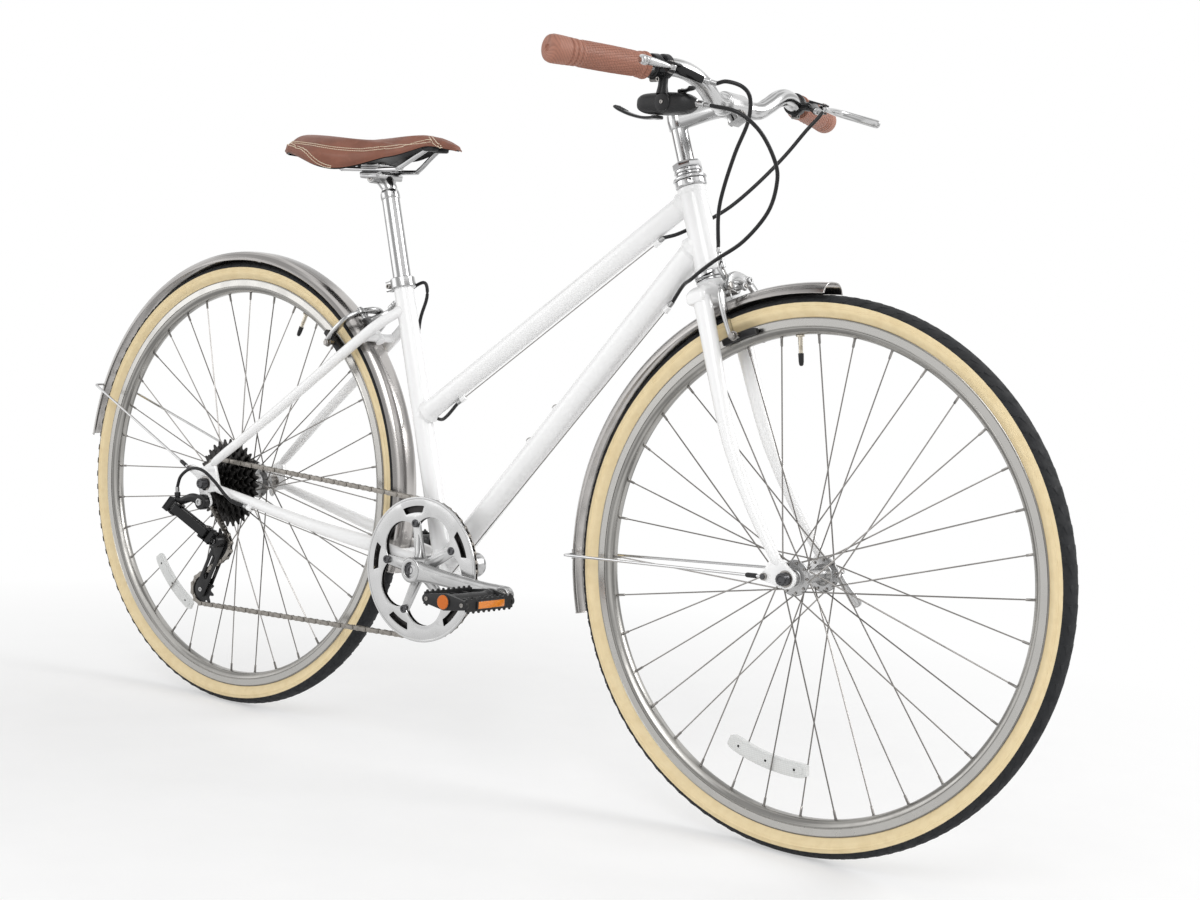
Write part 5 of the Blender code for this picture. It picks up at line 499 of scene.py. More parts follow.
class Shells:
    """Closed shells gathered into one mesh. Every shell keeps its own finish."""

    def __init__(self):
        self.bm = bmesh.new()
        self.wrap = self.bm.verts.layers.float_vector.new("wrap")
        self.finishes = []

    def vert(self, co, wrap=None):
        """A new corner. Its wrap coordinate gives surface lines their direction."""
        vert = self.bm.verts.new(co)
        vert[self.wrap] = co if wrap is None else wrap
        return vert

    def mark(self, faces, finish):
        if finish not in self.finishes:
            self.finishes.append(finish)
        for f in faces:
            f.material_index = self.finishes.index(finish)
            f.smooth = True

    def loft(self, rings, finish, closed=False, wraps=None):
        """A skin through rings of points, capped at both ends unless it closes on itself."""
        loops = [[self.vert(p, w) for p, w in zip(ring, wrap)] for ring, wrap in zip(rings, wraps or rings)]
        faces = []
        pairs = list(zip(loops, loops[1:])) + ([(loops[-1], loops[0])] if closed else [])
        for a, b in pairs:
            for i in range(len(a)):
                j = (i + 1) % len(a)
                faces.append(self.bm.faces.new((a[i], a[j], b[j], b[i])))
        if not closed:
            faces.append(self.bm.faces.new(loops[0][::-1]))
            faces.append(self.bm.faces.new(loops[-1]))
        bmesh.ops.recalc_face_normals(self.bm, faces=faces)
        self.mark(faces, finish)

    def tube(self, points, sizes, finish, up=Z, sides=24, steps=1, power=1.0, closed=False):
        """A tube along a path. Sizes are radii or (half width, half height); a power under 1 squares it."""
        points = [Vector(p) for p in points]
        if not isinstance(sizes, (list, tuple)) or (len(sizes) == 2 and len(points) != 2):
            sizes = [sizes] * len(points)
        sizes = [s if isinstance(s, (list, tuple)) else (s, s) for s in sizes]
        if steps > 1:
            points = smooth_line(points, steps)
            sizes = smooth_line(sizes, steps)
        rings, wraps, gone = [], [], 0.0
        for i, (p, size) in enumerate(zip(points, sizes)):
            gone += (p - points[i - 1]).length if i else 0.0
            before = (p - points[i - 1]) if i else (points[1] - p)
            after = (points[i + 1] - p) if i + 1 < len(points) else before
            if closed and i == len(points) - 1:
                after = points[0] - p
            if closed and i == 0:
                before = p - points[-1]
            along = (before.normalized() + after.normalized()).normalized()
            side = along.cross(up).normalized()
            top = side.cross(along)
            ring, wrap = [], []
            for k in range(sides):
                c, s = cos(2 * pi * (k + 0.5) / sides), sin(2 * pi * (k + 0.5) / sides)
                c, s = abs(c) ** power * (1 if c > 0 else -1), abs(s) ** power * (1 if s > 0 else -1)
                ring.append(p + side * (size[0] * c) + top * (size[1] * s))
                wrap.append((gone, size[0] * c, size[1] * s))
            rings.append(ring)
            wraps.append(wrap)
        self.loft(rings, finish, closed, wraps)

    def rod(self, start, end, radius, finish, sides=24, soft=0.0):
        way = Vector(end) - Vector(start)
        n = way.length
        self.turn([(0, radius), (n, radius)], start, way, finish, sides, soft)

    def turn(self, profile, at, axis, finish, steps=48, soft=0.0, ring=False, ends=True):
        """A turned body. The profile lists (along the axis, radius). Its ends are led in to the axis,
        or it closes on itself to make a ring. Soft is the radius that rounds its corners."""
        if ends and not ring:
            ends = [[(a, 0)] if r else [] for a, r in (profile[0], profile[-1])]
            profile = ends[0] + list(profile) + ends[1]
        if soft:
            profile = soften(profile, soft)
        axis = Vector(axis).normalized()
        u, v = cross_axes(axis)
        at = Vector(at)
        rows = []
        for a, r in profile:
            turns = [2 * pi * k / steps for k in range(1 if r < 1e-7 else steps)]
            rows.append([self.vert(at + axis * a + u * (r * cos(t)) + v * (r * sin(t)), (r * cos(t), a, r))
                         for t in turns])
        faces = []
        pairs = list(zip(rows, rows[1:])) + ([(rows[-1], rows[0])] if ring else [])
        for a, b in pairs:
            for k in range(steps):
                j = (k + 1) % steps
                corner = [a[k % len(a)], a[j % len(a)], b[j % len(b)], b[k % len(b)]]
                corner = [c for n, c in enumerate(corner) if c not in corner[:n]]
                if len(corner) > 2:
                    faces.append(self.bm.faces.new(corner))
        bmesh.ops.recalc_face_normals(self.bm, faces=faces)
        self.mark(faces, finish)

    def collar(self, at, axis, half, bore, radius, chamfer, finish, steps, soft):
        """A ring round a bore, of twice the length half, with chamfered rims."""
        self.turn([(-half, bore), (-half, radius - chamfer), (-half + chamfer, radius),
                   (half - chamfer, radius), (half, radius - chamfer), (half, bore)], at, axis, finish,
                  steps, soft, ring=True)

    def plate(self, outlines, at, u, v, thickness, finish, bevel=0.0):
        """A flat plate, thickened to both sides, with its rims broken."""
        bm = bmesh.new()
        at, w = Vector(at), Vector(u).cross(Vector(v)).normalized()
        base = at - w * (thickness / 2)
        edges = []
        for outline in outlines:
            verts = [bm.verts.new(base + Vector(u) * a + Vector(v) * b) for a, b in outline]
            edges += [bm.edges.new((p, q)) for p, q in zip(verts, verts[1:] + verts[:1])]
        if len(outlines) == 1:
            bm.faces.new(bm.verts[:])
        else:
            bmesh.ops.triangle_fill(bm, use_beauty=True, edges=edges)
        made = bmesh.ops.extrude_face_region(bm, geom=bm.faces[:] + bm.edges[:] + bm.verts[:])["geom"]
        bmesh.ops.translate(bm, verts=[e for e in made if isinstance(e, bmesh.types.BMVert)],
                            vec=w * thickness)
        bmesh.ops.recalc_face_normals(bm, faces=bm.faces[:])
        if bevel:
            rims = [e for e in bm.edges if len(e.link_faces) == 2 and e.calc_face_angle(0) > radians(70)
                    and min(abs(f.normal.dot(w)) for f in e.link_faces) < 0.1
                    and max(abs(f.normal.dot(w)) for f in e.link_faces) > 0.9]
            bmesh.ops.bevel(bm, geom=rims, offset=bevel, segments=2, profile=0.6, affect="EDGES",
                            clamp_overlap=True)
        self.take(bm, finish)

    def block(self, at, size, finish, axes=(X, Y, Z), bevel=0.0):
        """A block with broken edges."""
        bm = bmesh.new()
        bmesh.ops.create_cube(bm, size=1.0)
        u, v, w = (Vector(a).normalized() * s for a, s in zip(axes, size))
        for vert in bm.verts:
            vert.co = Vector(at) + u * vert.co.x + v * vert.co.y + w * vert.co.z
        if bevel:
            bmesh.ops.bevel(bm, geom=bm.edges[:], offset=bevel, segments=3, profile=0.5, affect="EDGES",
                            clamp_overlap=True)
        bmesh.ops.recalc_face_normals(bm, faces=bm.faces[:])
        self.take(bm, finish)

    def take(self, bm, finish):
        """Adds a finished bmesh."""
        wrap = bm.verts.layers.float_vector.get("wrap")
        copy = {v: self.vert(v.co, v[wrap] if wrap else None) for v in bm.verts}
        faces = [self.bm.faces.new([copy[v] for v in f.verts]) for f in bm.faces]
        self.mark(faces, finish)
        bm.free()

    def take_mesh(self, mesh, finish):
        bm = bmesh.new()
        bm.from_mesh(mesh)
        self.take(bm, finish)

    def build(self, name, sharp=32, place=True):
        """The object, with its place in its mesh."""
        if place:
            bmesh.ops.translate(self.bm, verts=self.bm.verts[:], vec=X * REAR_X)
        mesh = bpy.data.meshes.new(name)
        self.bm.to_mesh(mesh)
        self.bm.free()
        mesh.set_sharp_from_angle(angle=radians(sharp))
        for finish in self.finishes:
            mesh.materials.append(FINISHES[finish])
        obj = bpy.data.objects.new(name, mesh)
        bpy.context.scene.collection.objects.link(obj)
        return obj

    def piece(self, name, body, slot, *nodes, sharp=32):
        """The object, riding on its body in place of the nodes that it stands for."""
        obj = self.build(name, sharp)
        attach(obj, body)
        if nodes:
            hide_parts(*nodes)
        return obj


# ---------------------------------------------------------------- materials
class Nodes:
    """Short calls for building a node tree."""

    def __init__(self, tree):
        self.tree = tree

    def add(self, kind, inputs=(), **settings):
        node = self.tree.nodes.new(kind)
        for key, value in settings.items():
            setattr(node, key, value)
        for key, value in dict(inputs).items():
            self.give(node.inputs[key], value)
        return node

    def give(self, socket, value):
        if isinstance(value, bpy.types.NodeSocket):
            self.tree.links.new(value, socket)
        elif value is not None:
            socket.default_value = value

    def math(self, operation, *values, clamp=False):
        node = self.add("ShaderNodeMath", operation=operation, use_clamp=clamp)
        for socket, value in zip(node.inputs, values):
            self.give(socket, value)
        return node.outputs[0]

    def spread(self, value, low, high, to_low=0.0, to_high=1.0):
        node = self.add("ShaderNodeMapRange", {"Value": value, "From Min": low, "From Max": high,
                                               "To Min": to_low, "To Max": to_high})
        return node.outputs["Result"]

    def noise(self, vector, scale, detail=4.0, roughness=0.55):
        return self.add("ShaderNodeTexNoise", {"Vector": vector, "Scale": scale, "Detail": detail,
                                               "Roughness": roughness}).outputs["Fac"]

    def mix(self, factor, a, b):
        node = self.add("ShaderNodeMix", data_type="RGBA")
        self.give(node.inputs["Factor"], factor)
        self.give(node.inputs[6], a)
        self.give(node.inputs[7], b)
        return node.outputs[2]


def add_inputs(tree, inputs):
    for label, kind, default in inputs:
        socket = tree.interface.new_socket(name=label, in_out="INPUT", socket_type="NodeSocket" + kind)
        if default is not None:
            socket.default_value = default


def node_group(name, inputs, outputs):
    """An empty shader group with its sockets, given as (name, kind, default)."""
    tree = bpy.data.node_groups.new(name, "ShaderNodeTree")
    add_inputs(tree, inputs)

    for label, kind in outputs:
        tree.interface.new_socket(name=label, in_out="OUTPUT", socket_type="NodeSocket" + kind)
    return tree, tree.nodes.new("NodeGroupInput").outputs, tree.nodes.new("NodeGroupOutput").inputs


def make_wear_group():
    """Handling marks: broad smudges and fine specks, as a mask."""
    tree, given, out = node_group("Handling marks", (("Vector", "Vector", None), ("Scale", "Float", 40.0),
                                                     ("Amount", "Float", 0.5)), (("Mask", "Float"),))
    n = Nodes(tree)
    broad = n.noise(given["Vector"], given["Scale"], 3.0)
    fine = n.noise(given["Vector"], n.math("MULTIPLY", given["Scale"], 11.0), 2.0)
    both = n.math("ADD", n.spread(broad, 0.42, 0.68), n.spread(fine, 0.56, 0.72, 0.0, 0.5), clamp=True)
    tree.links.new(n.math("MULTIPLY", both, given["Amount"], clamp=True), out["Mask"])
    return tree


def make_lines_group():
    """Fine lines along the first direction of the vector, as drawn, turned or brushed metal has them."""
    tree, given, out = node_group("Machining lines", (("Vector", "Vector", None), ("Along", "Float", 12.0),
                                                      ("Across", "Float", 1800.0)), (("Height", "Float"),))
    n = Nodes(tree)
    scale = n.add("ShaderNodeCombineXYZ", {"X": given["Along"], "Y": given["Across"], "Z": given["Across"]})
    run = n.add("ShaderNodeVectorMath", {0: given["Vector"], 1: scale.outputs[0]}, operation="MULTIPLY")
    tree.links.new(n.noise(run.outputs[0], 1.0, 3.0, 0.6), out["Height"])
    return tree


def make_dust_group():
    """A film of dust that gathers on faces that look up."""
    tree, given, out = node_group("Settled dust", (("Vector", "Vector", None), ("Amount", "Float", 0.3)),
                                  (("Mask", "Float"),))
    n = Nodes(tree)
    facing = n.add("ShaderNodeSeparateXYZ", {"Vector": n.add("ShaderNodeNewGeometry").outputs["Normal"]})
    up = n.spread(facing.outputs["Z"], 0.2, 1.0)
    cloud = n.spread(n.noise(given["Vector"], 35.0, 5.0), 0.35, 0.7)
    tree.links.new(n.math("MULTIPLY", n.math("MULTIPLY", up, cloud), given["Amount"], clamp=True),
                   out["Mask"])
    return tree


def make_grain_group():
    """Pebbled grain: cells with soft floors, for leather, rubber and moulded plastic."""
    tree, given, out = node_group("Pebble grain", (("Vector", "Vector", None), ("Scale", "Float", 900.0)),
                                  (("Height", "Float"), ("Mask", "Float")))
    n = Nodes(tree)
    warp = n.add("ShaderNodeTexNoise", {"Vector": given["Vector"], "Scale": 300.0, "Detail": 2.0})
    moved = n.add("ShaderNodeVectorMath",
                  {0: warp.outputs["Color"], 1: warp.outputs["Color"], 2: given["Vector"]},
                  operation="MULTIPLY_ADD")
    cells = n.add("ShaderNodeTexVoronoi", {"Vector": moved.outputs[0], "Scale": given["Scale"]})
    tree.links.new(n.spread(cells.outputs["Distance"], 0.1, 0.7, 1.0, 0.0), out["Height"])
    tree.links.new(n.spread(n.noise(given["Vector"], 22.0, 4.0), 0.35, 0.68), out["Mask"])
    return tree


GROUPS = {}
FINISHES = {}


class Finish:
    """A material in the making: a Principled BSDF with its coordinates at hand."""

    def __init__(self, name, colour, roughness, metallic=0.0, **constants):
        self.material = bpy.data.materials.new(name.capitalize().replace("_", " "))
        self.material.use_nodes = True
        self.material.diffuse_color = (*colour, 1.0)
        tree = self.material.node_tree
        self.n = Nodes(tree)
        self.bsdf = next(x for x in tree.nodes if x.type == "BSDF_PRINCIPLED")
        self.colour, self.roughness = (*colour, 1.0), roughness
        self.set("Base Color", self.colour)
        self.set("Roughness", roughness)
        self.set("Metallic", metallic)
        for key, value in constants.items():
            self.set(key.replace("_", " "), value)
        self.place = self.n.add("ShaderNodeTexCoord").outputs["Object"]
        self.wrap = self.n.add("ShaderNodeAttribute", attribute_name="wrap").outputs["Vector"]
        FINISHES[name] = self.material

    def set(self, key, value):
        self.n.give(self.bsdf.inputs[key], value)

    def group(self, name, **inputs):
        node = self.n.add("ShaderNodeGroup", node_tree=GROUPS[name])
        for key, value in inputs.items():
            self.n.give(node.inputs[key], value)
        return node.outputs

    def marks(self, scale=40.0, amount=0.5):
        return self.group("marks", Vector=self.place, Scale=scale, Amount=amount)["Mask"]

    def bump(self, height, strength, distance):
        node = self.n.add("ShaderNodeBump", {"Strength": strength, "Distance": distance, "Height": height})
        self.set("Normal", node.outputs[0])

    def tint(self, factor, colour):
        self.colour = self.n.mix(factor, self.colour, (*colour, 1.0))
        self.set("Base Color", self.colour)


def metal(name, colour, low, high, lines=0.3, along=12.0, across=1800.0, marks=45.0, shade=0.86):
    """A machined or polished metal: fine lines, smudges in its gloss that make it a shade darker in places,
    and dark bands of painted reflection set by which way the surface faces.
    """
    f = Finish(name, colour, low, 1.0)
    mask = f.marks(marks, 0.8)
    cut = f.group("lines", Vector=f.wrap, Along=along, Across=across)["Height"]
    wear = f.n.math("ADD", mask, f.n.math("MULTIPLY", cut, 0.4))
    f.set("Roughness", f.n.spread(wear, 0.1, 1.1, low, high))
    f.tint(f.n.math("MULTIPLY", mask, 0.5), tuple(c * shade for c in colour))
    # Painted reflection: broad dark bands in the colour, set by which way the surface faces, stand in for a
    # studio mirrored in the metal.
    painted_reflection = f.n.noise(f.n.add("ShaderNodeNewGeometry").outputs["Normal"], 2.6, 1.0)
    f.tint(f.n.spread(painted_reflection, 0.44, 0.6, 0.0, 0.85), tuple(c * 0.42 for c in colour))
    f.bump(cut, lines, 0.00002)
    return f


def plastic(name, colour, low, high, grain=0.25, scale=1600.0, dust=0.12):
    f = Finish(name, colour, low, 0.0, Specular_IOR_Level=0.28)
    pebble = f.group("grain", Vector=f.place, Scale=scale)
    film = f.group("dust", Vector=f.place, Amount=dust)["Mask"]
    f.set("Roughness", f.n.spread(f.n.math("ADD", f.marks(55.0, 0.6), film), 0.0, 1.1, low, high))
    f.tint(film, tuple(c * 0.7 + 0.07 for c in colour))
    f.bump(pebble["Height"], grain, 0.00004)
    return f


def make_finishes(looks):
    """Every finish on the bike. The three main colours come from the panel."""
    GROUPS.update(marks=make_wear_group(), lines=make_lines_group(), dust=make_dust_group(),
                  grain=make_grain_group())
    white = tuple(looks.paint_colour)
    f = Finish("paint", white, 0.24, 0.0, Coat_Weight=0.6, Coat_Roughness=0.06)
    film = f.group("dust", Vector=f.place, Amount=0.06)["Mask"]
    f.set("Roughness",
          f.n.spread(f.n.math("ADD", f.n.noise(f.place, 16.0, 2.0), film), 0.3, 0.8, 0.22, 0.29))
    f.tint(film, (0.7, 0.69, 0.67))
    f.bump(f.n.noise(f.place, 160.0, 1.0), 0.04, 0.00005)

    metal("alloy", (0.62, 0.62, 0.62), 0.14, 0.3, 0.25)
    metal("satin", (0.5, 0.5, 0.5), 0.28, 0.44, 0.5, 14.0, 1500.0)
    metal("forged", (0.54, 0.54, 0.54), 0.22, 0.38, 0.35, 30.0, 900.0)
    metal("chrome", (0.74, 0.74, 0.745), 0.05, 0.14, 0.08, 8.0, 900.0, 35.0)
    metal("steel", (0.34, 0.325, 0.31), 0.22, 0.38, 0.3)
    metal("fender", (0.52, 0.5, 0.485), 0.16, 0.3, 0.3, 6.0, 1300.0, 24.0)
    metal("rim", (0.42, 0.41, 0.39), 0.26, 0.4, 0.3, 5.0, 1200.0)
    metal("track", (0.5, 0.49, 0.47), 0.2, 0.34, 0.9, 3.0, 2600.0, 30.0)
    metal("bolt", (0.1, 0.1, 0.105), 0.26, 0.42, 0.3)
    metal("dark_steel", (0.045, 0.043, 0.042), 0.34, 0.52, 0.4, 20.0, 1400.0)
    metal("chain", (0.31, 0.29, 0.265), 0.3, 0.5, 0.3, 30.0, 900.0, 90.0, 0.55)
    metal("brass", (0.72, 0.66, 0.55), 0.25, 0.38, 0.3)

    plastic("black", (0.018, 0.018, 0.019), 0.34, 0.56, 0.35, 1500.0)
    plastic("gloss_black", (0.014, 0.014, 0.015), 0.16, 0.32, 0.08, 1200.0, 0.12)
    plastic("housing", (0.012, 0.012, 0.013), 0.26, 0.42, 0.1, 1200.0, 0.1)
    plastic("shell", (0.016, 0.016, 0.017), 0.38, 0.58, 0.5, 1100.0)
    plastic("orange", (0.62, 0.15, 0.02), 0.3, 0.45, 0.1, 1200.0, 0.1)

    f = Finish("rubber", (0.017, 0.017, 0.018), 0.72, 0.0, Specular_IOR_Level=0.22)
    film = f.group("dust", Vector=f.place, Amount=0.35)["Mask"]
    f.tint(film, (0.06, 0.057, 0.053))
    f.set("Roughness", f.n.spread(f.marks(60.0, 1.0), 0.0, 1.0, 0.66, 0.88))
    f.bump(f.group("grain", Vector=f.place, Scale=1300.0)["Height"], 0.5, 0.00006)

    f = Finish("wall", (0.84, 0.69, 0.42), 0.62)
    threads = f.group("lines", Vector=f.wrap, Along=900.0, Across=260.0)["Height"]
    mask = f.marks(70.0, 0.9)
    f.tint(f.n.math("MULTIPLY", mask, 0.45), (0.72, 0.56, 0.31))
    f.set("Roughness", f.n.spread(mask, 0.0, 1.0, 0.55, 0.78))
    f.bump(threads, 0.5, 0.00006)

    leather = tuple(looks.leather_colour)
    f = Finish("leather", leather, 0.42, 0.0, Specular_IOR_Level=0.42)
    pebble = f.group("grain", Vector=f.place, Scale=760.0)
    creases = f.n.noise(f.place, 120.0, 6.0, 0.65)
    f.tint(f.n.math("MULTIPLY", pebble["Mask"], 0.75), tuple(c * 0.62 for c in leather))
    f.tint(f.n.spread(creases, 0.55, 0.75, 0.0, 0.35), tuple(min(c * 1.6 + 0.01, 1.0) for c in leather))
    f.set("Roughness", f.n.spread(f.n.math("ADD", pebble["Mask"], creases), 0.4, 1.5, 0.34, 0.52))
    f.bump(f.n.math("ADD", f.n.math("MULTIPLY", pebble["Height"], 0.55), creases), 0.55, 0.00016)

    f = Finish("stitch", (0.82, 0.7, 0.54), 0.62)
    twist = f.n.add("ShaderNodeTexWave", {"Vector": f.place, "Scale": 900.0, "Distortion": 2.0})
    f.tint(f.n.math("MULTIPLY", f.marks(80.0, 0.8), 0.6), (0.62, 0.49, 0.34))
    f.set("Roughness", f.n.spread(twist.outputs["Fac"], 0.0, 1.0, 0.5, 0.72))
    f.bump(twist.outputs["Fac"], 0.5, 0.0001)

    grip = tuple(looks.grip_colour)
    f = Finish("grip", grip, 0.5, 0.0, Specular_IOR_Level=0.4)
    ribs = f.n.add("ShaderNodeTexWave",
                   {"Vector": f.wrap, "Scale": 150.0, "Distortion": 0.6, "Detail": 1.0},
                   bands_direction="DIAGONAL")
    mask = f.group("grain", Vector=f.place, Scale=900.0)
    f.tint(f.n.spread(ribs.outputs["Fac"], 0.3, 0.8, 0.0, 0.55), tuple(c * 0.55 for c in grip))
    f.tint(f.n.math("MULTIPLY", mask["Mask"], 0.3), tuple(min(c * 1.35 + 0.01, 1.0) for c in grip))
    f.set("Roughness", f.n.spread(mask["Mask"], 0.0, 1.0, 0.42, 0.58))
    f.bump(f.n.math("ADD", ribs.outputs["Fac"], f.n.math("MULTIPLY", mask["Height"], 0.3)), 0.6, 0.00022)

    for name, colour in (("amber", (0.85, 0.25, 0.01)), ("lens", (0.78, 0.79, 0.78))):
        f = Finish(name, colour, 0.08, 0.0, Coat_Weight=0.5, Coat_Roughness=0.05)
        prisms = f.n.add("ShaderNodeTexVoronoi", {"Vector": f.place, "Scale": 420.0, "Randomness": 0.08},
                         distance="CHEBYCHEV")
        f.tint(f.n.spread(prisms.outputs["Distance"], 0.1, 0.55, 0.0, 0.5), tuple(c * 0.55 for c in colour))
        f.set("Roughness", f.n.spread(prisms.outputs["Distance"], 0.0, 0.6, 0.05, 0.22))
        f.bump(prisms.outputs["Distance"], 0.35, 0.0003)

    f = Finish("tread", (0.019, 0.02, 0.022), 0.74, 0.0, Specular_IOR_Level=0.28)
    f.tint(f.group("dust", Vector=f.place, Amount=0.35)["Mask"], (0.065, 0.062, 0.058))
    f.set("Roughness", f.n.spread(f.marks(80.0, 1.0), 0.0, 1.0, 0.7, 0.9))
    f.bump(f.n.noise(f.place, 1500.0, 3.0), 0.4, 0.00006)


# ---------------------------------------------------------------- repeats
def new_repeat_tree(name, sockets):
    tree = bpy.data.node_groups.new(name, "GeometryNodeTree")
    add_inputs(tree, sockets)

    tree.interface.new_socket(name="Geometry", in_out="OUTPUT", socket_type="NodeSocketGeometry")
    given, out = tree.nodes.new("NodeGroupInput"), tree.nodes.new("NodeGroupOutput")
    return tree, Nodes(tree), given.outputs, out.inputs["Geometry"]


def make_ring_tree():
    """Copies of a piece turned about an axis along Y: spokes, nipples, tread blocks, teeth and bolts."""
    sockets = (("Piece", "Object", None), ("Count", "Int", 9), ("Start Angle", "Float", 0.0),
               ("Centre", "Vector", None), ("Finish", "Material", None))
    tree, n, given, out = new_repeat_tree("Ring of pieces", sockets)
    points = n.add("GeometryNodePoints", {"Count": given["Count"], "Position": given["Centre"]})
    turn = n.math("DIVIDE", 2 * pi, given["Count"])
    angle = n.math("ADD", given["Start Angle"],
                   n.math("MULTIPLY", n.add("GeometryNodeInputIndex").outputs[0], turn))
    euler = n.add("ShaderNodeCombineXYZ", {"Y": n.math("MULTIPLY", angle, -1.0)})
    piece = n.add("GeometryNodeObjectInfo", {"Object": given["Piece"]}, transform_space="ORIGINAL")
    copies = n.add("GeometryNodeInstanceOnPoints",
                   {"Points": points.outputs[0], "Instance": piece.outputs["Geometry"],
                    "Rotation": euler.outputs[0]})
    real = n.add("GeometryNodeRealizeInstances", {"Geometry": copies.outputs[0]})
    done = n.add("GeometryNodeSetMaterial", {"Geometry": real.outputs[0], "Material": given["Finish"]})
    tree.links.new(done.outputs[0], out)
    return tree


def make_line_tree():
    """Copies of a piece on a line of points. Each point's turn attribute gives its rotation."""
    sockets = (("Geometry", "Geometry", None), ("Piece", "Object", None), ("Other Piece", "Object", None),
               ("Size", "Float", 1.0), ("Finish", "Material", None))
    tree, n, given, out = new_repeat_tree("Pieces on points", sockets)
    turn = n.add("GeometryNodeInputNamedAttribute", {"Name": "turn"}, data_type="FLOAT_VECTOR")
    parity = n.math("MODULO", n.add("GeometryNodeInputIndex").outputs[0], 2.0)
    odd = n.math("GREATER_THAN", parity, 0.5)
    even = n.math("LESS_THAN", parity, 0.5)
    size = n.add("ShaderNodeCombineXYZ", {"X": given["Size"], "Y": given["Size"], "Z": given["Size"]})
    parts = []
    for socket, chosen in (("Piece", even), ("Other Piece", odd)):
        piece = n.add("GeometryNodeObjectInfo", {"Object": given[socket]}, transform_space="ORIGINAL")
        copies = n.add("GeometryNodeInstanceOnPoints",
                       {"Points": given["Geometry"], "Selection": chosen,
                        "Instance": piece.outputs["Geometry"], "Rotation": turn.outputs[0],
                        "Scale": size.outputs[0]})
        parts.append(copies.outputs[0])
    joined = n.add("GeometryNodeJoinGeometry")
    for part in parts:
        tree.links.new(part, joined.inputs[0])
    real = n.add("GeometryNodeRealizeInstances", {"Geometry": joined.outputs[0]})
    done = n.add("GeometryNodeSetMaterial", {"Geometry": real.outputs[0], "Material": given["Finish"]})
    tree.links.new(done.outputs[0], out)
    return tree


TREES = {}


def repeated(tree, base, **inputs):
    """The mesh that a tree makes, read from the evaluated object."""
    mesh = base or bpy.data.meshes.new("repeat")
    host = bpy.data.objects.new("repeat_host", mesh)
    bpy.context.scene.collection.objects.link(host)
    modifier = host.modifiers.new("Repeat", "NODES")
    modifier.node_group = TREES[tree]
    names = {item.name: item.identifier for item in TREES[tree].interface.items_tree
             if item.item_type == "SOCKET" and item.in_out == "INPUT"}
    for label, value in inputs.items():
        modifier[names[label.replace("_", " ")]] = value
    bpy.context.view_layer.update()
    made = bpy.data.meshes.new_from_object(host.evaluated_get(bpy.context.evaluated_depsgraph_get()))
    bpy.data.objects.remove(host)
    return made


def ring_of(shells, piece, finish, axle, count, start=0.0):
    """Adds a ring of copies of a piece to the shells, about an axle."""
    made = repeated("ring", None, Piece=piece, Count=count, Start_Angle=start, Centre=tuple(axle),
                    Finish=FINISHES[finish])
    shells.take_mesh(made, finish)
    bpy.data.meshes.remove(made)


def on_points(shells, places, piece, other, finish, size=1.0):
    """Adds copies of two pieces in turn at places, each a point and a rotation."""
    mesh = bpy.data.meshes.new("places")
    mesh.from_pydata([tuple(p) for p, _ in places], [], [])
    turns = mesh.attributes.new("turn", "FLOAT_VECTOR", "POINT")
    for spot, (_, turn) in zip(turns.data, places):
        spot.vector = turn
    made = repeated("line", mesh, Piece=piece, Other_Piece=other, Size=size, Finish=FINISHES[finish])
    shells.take_mesh(made, finish)
    bpy.data.meshes.remove(made)


def pattern(shells, name):
    """A piece to repeat: an object about its own origin, to be discarded after use."""
    return shells.build(name, place=False)


def discard(*objects):
    for obj in objects:
        mesh = obj.data
        bpy.data.objects.remove(obj)
        bpy.data.meshes.remove(mesh)


# ---------------------------------------------------------------- frame and fork
def bead(shells, at, axis, radius, finish, width=0.0035, height=0.0012):
    """A smooth weld collar round a tube."""
    profile = [(-width, radius - 0.0005), (-width * 0.5, radius + height * 0.8), (0, radius + height),
               (width * 0.5, radius + height * 0.8), (width, radius - 0.0005)]
    shells.turn(profile, at, axis, finish, 40, 0.001, ring=True)


def mitre(shells, start, way, radius, cut_radius, finish):
    """The fillet where a tube meets a larger one."""
    shells.turn([(cut_radius * 0.6, radius + 0.0004), (cut_radius * 0.98, radius + 0.003),
                 (cut_radius + 0.0035, radius + 0.001), (cut_radius + 0.007, radius - 0.0003),
                 (cut_radius * 0.6, radius - 0.0006)], start, way, finish, 40, ring=True)


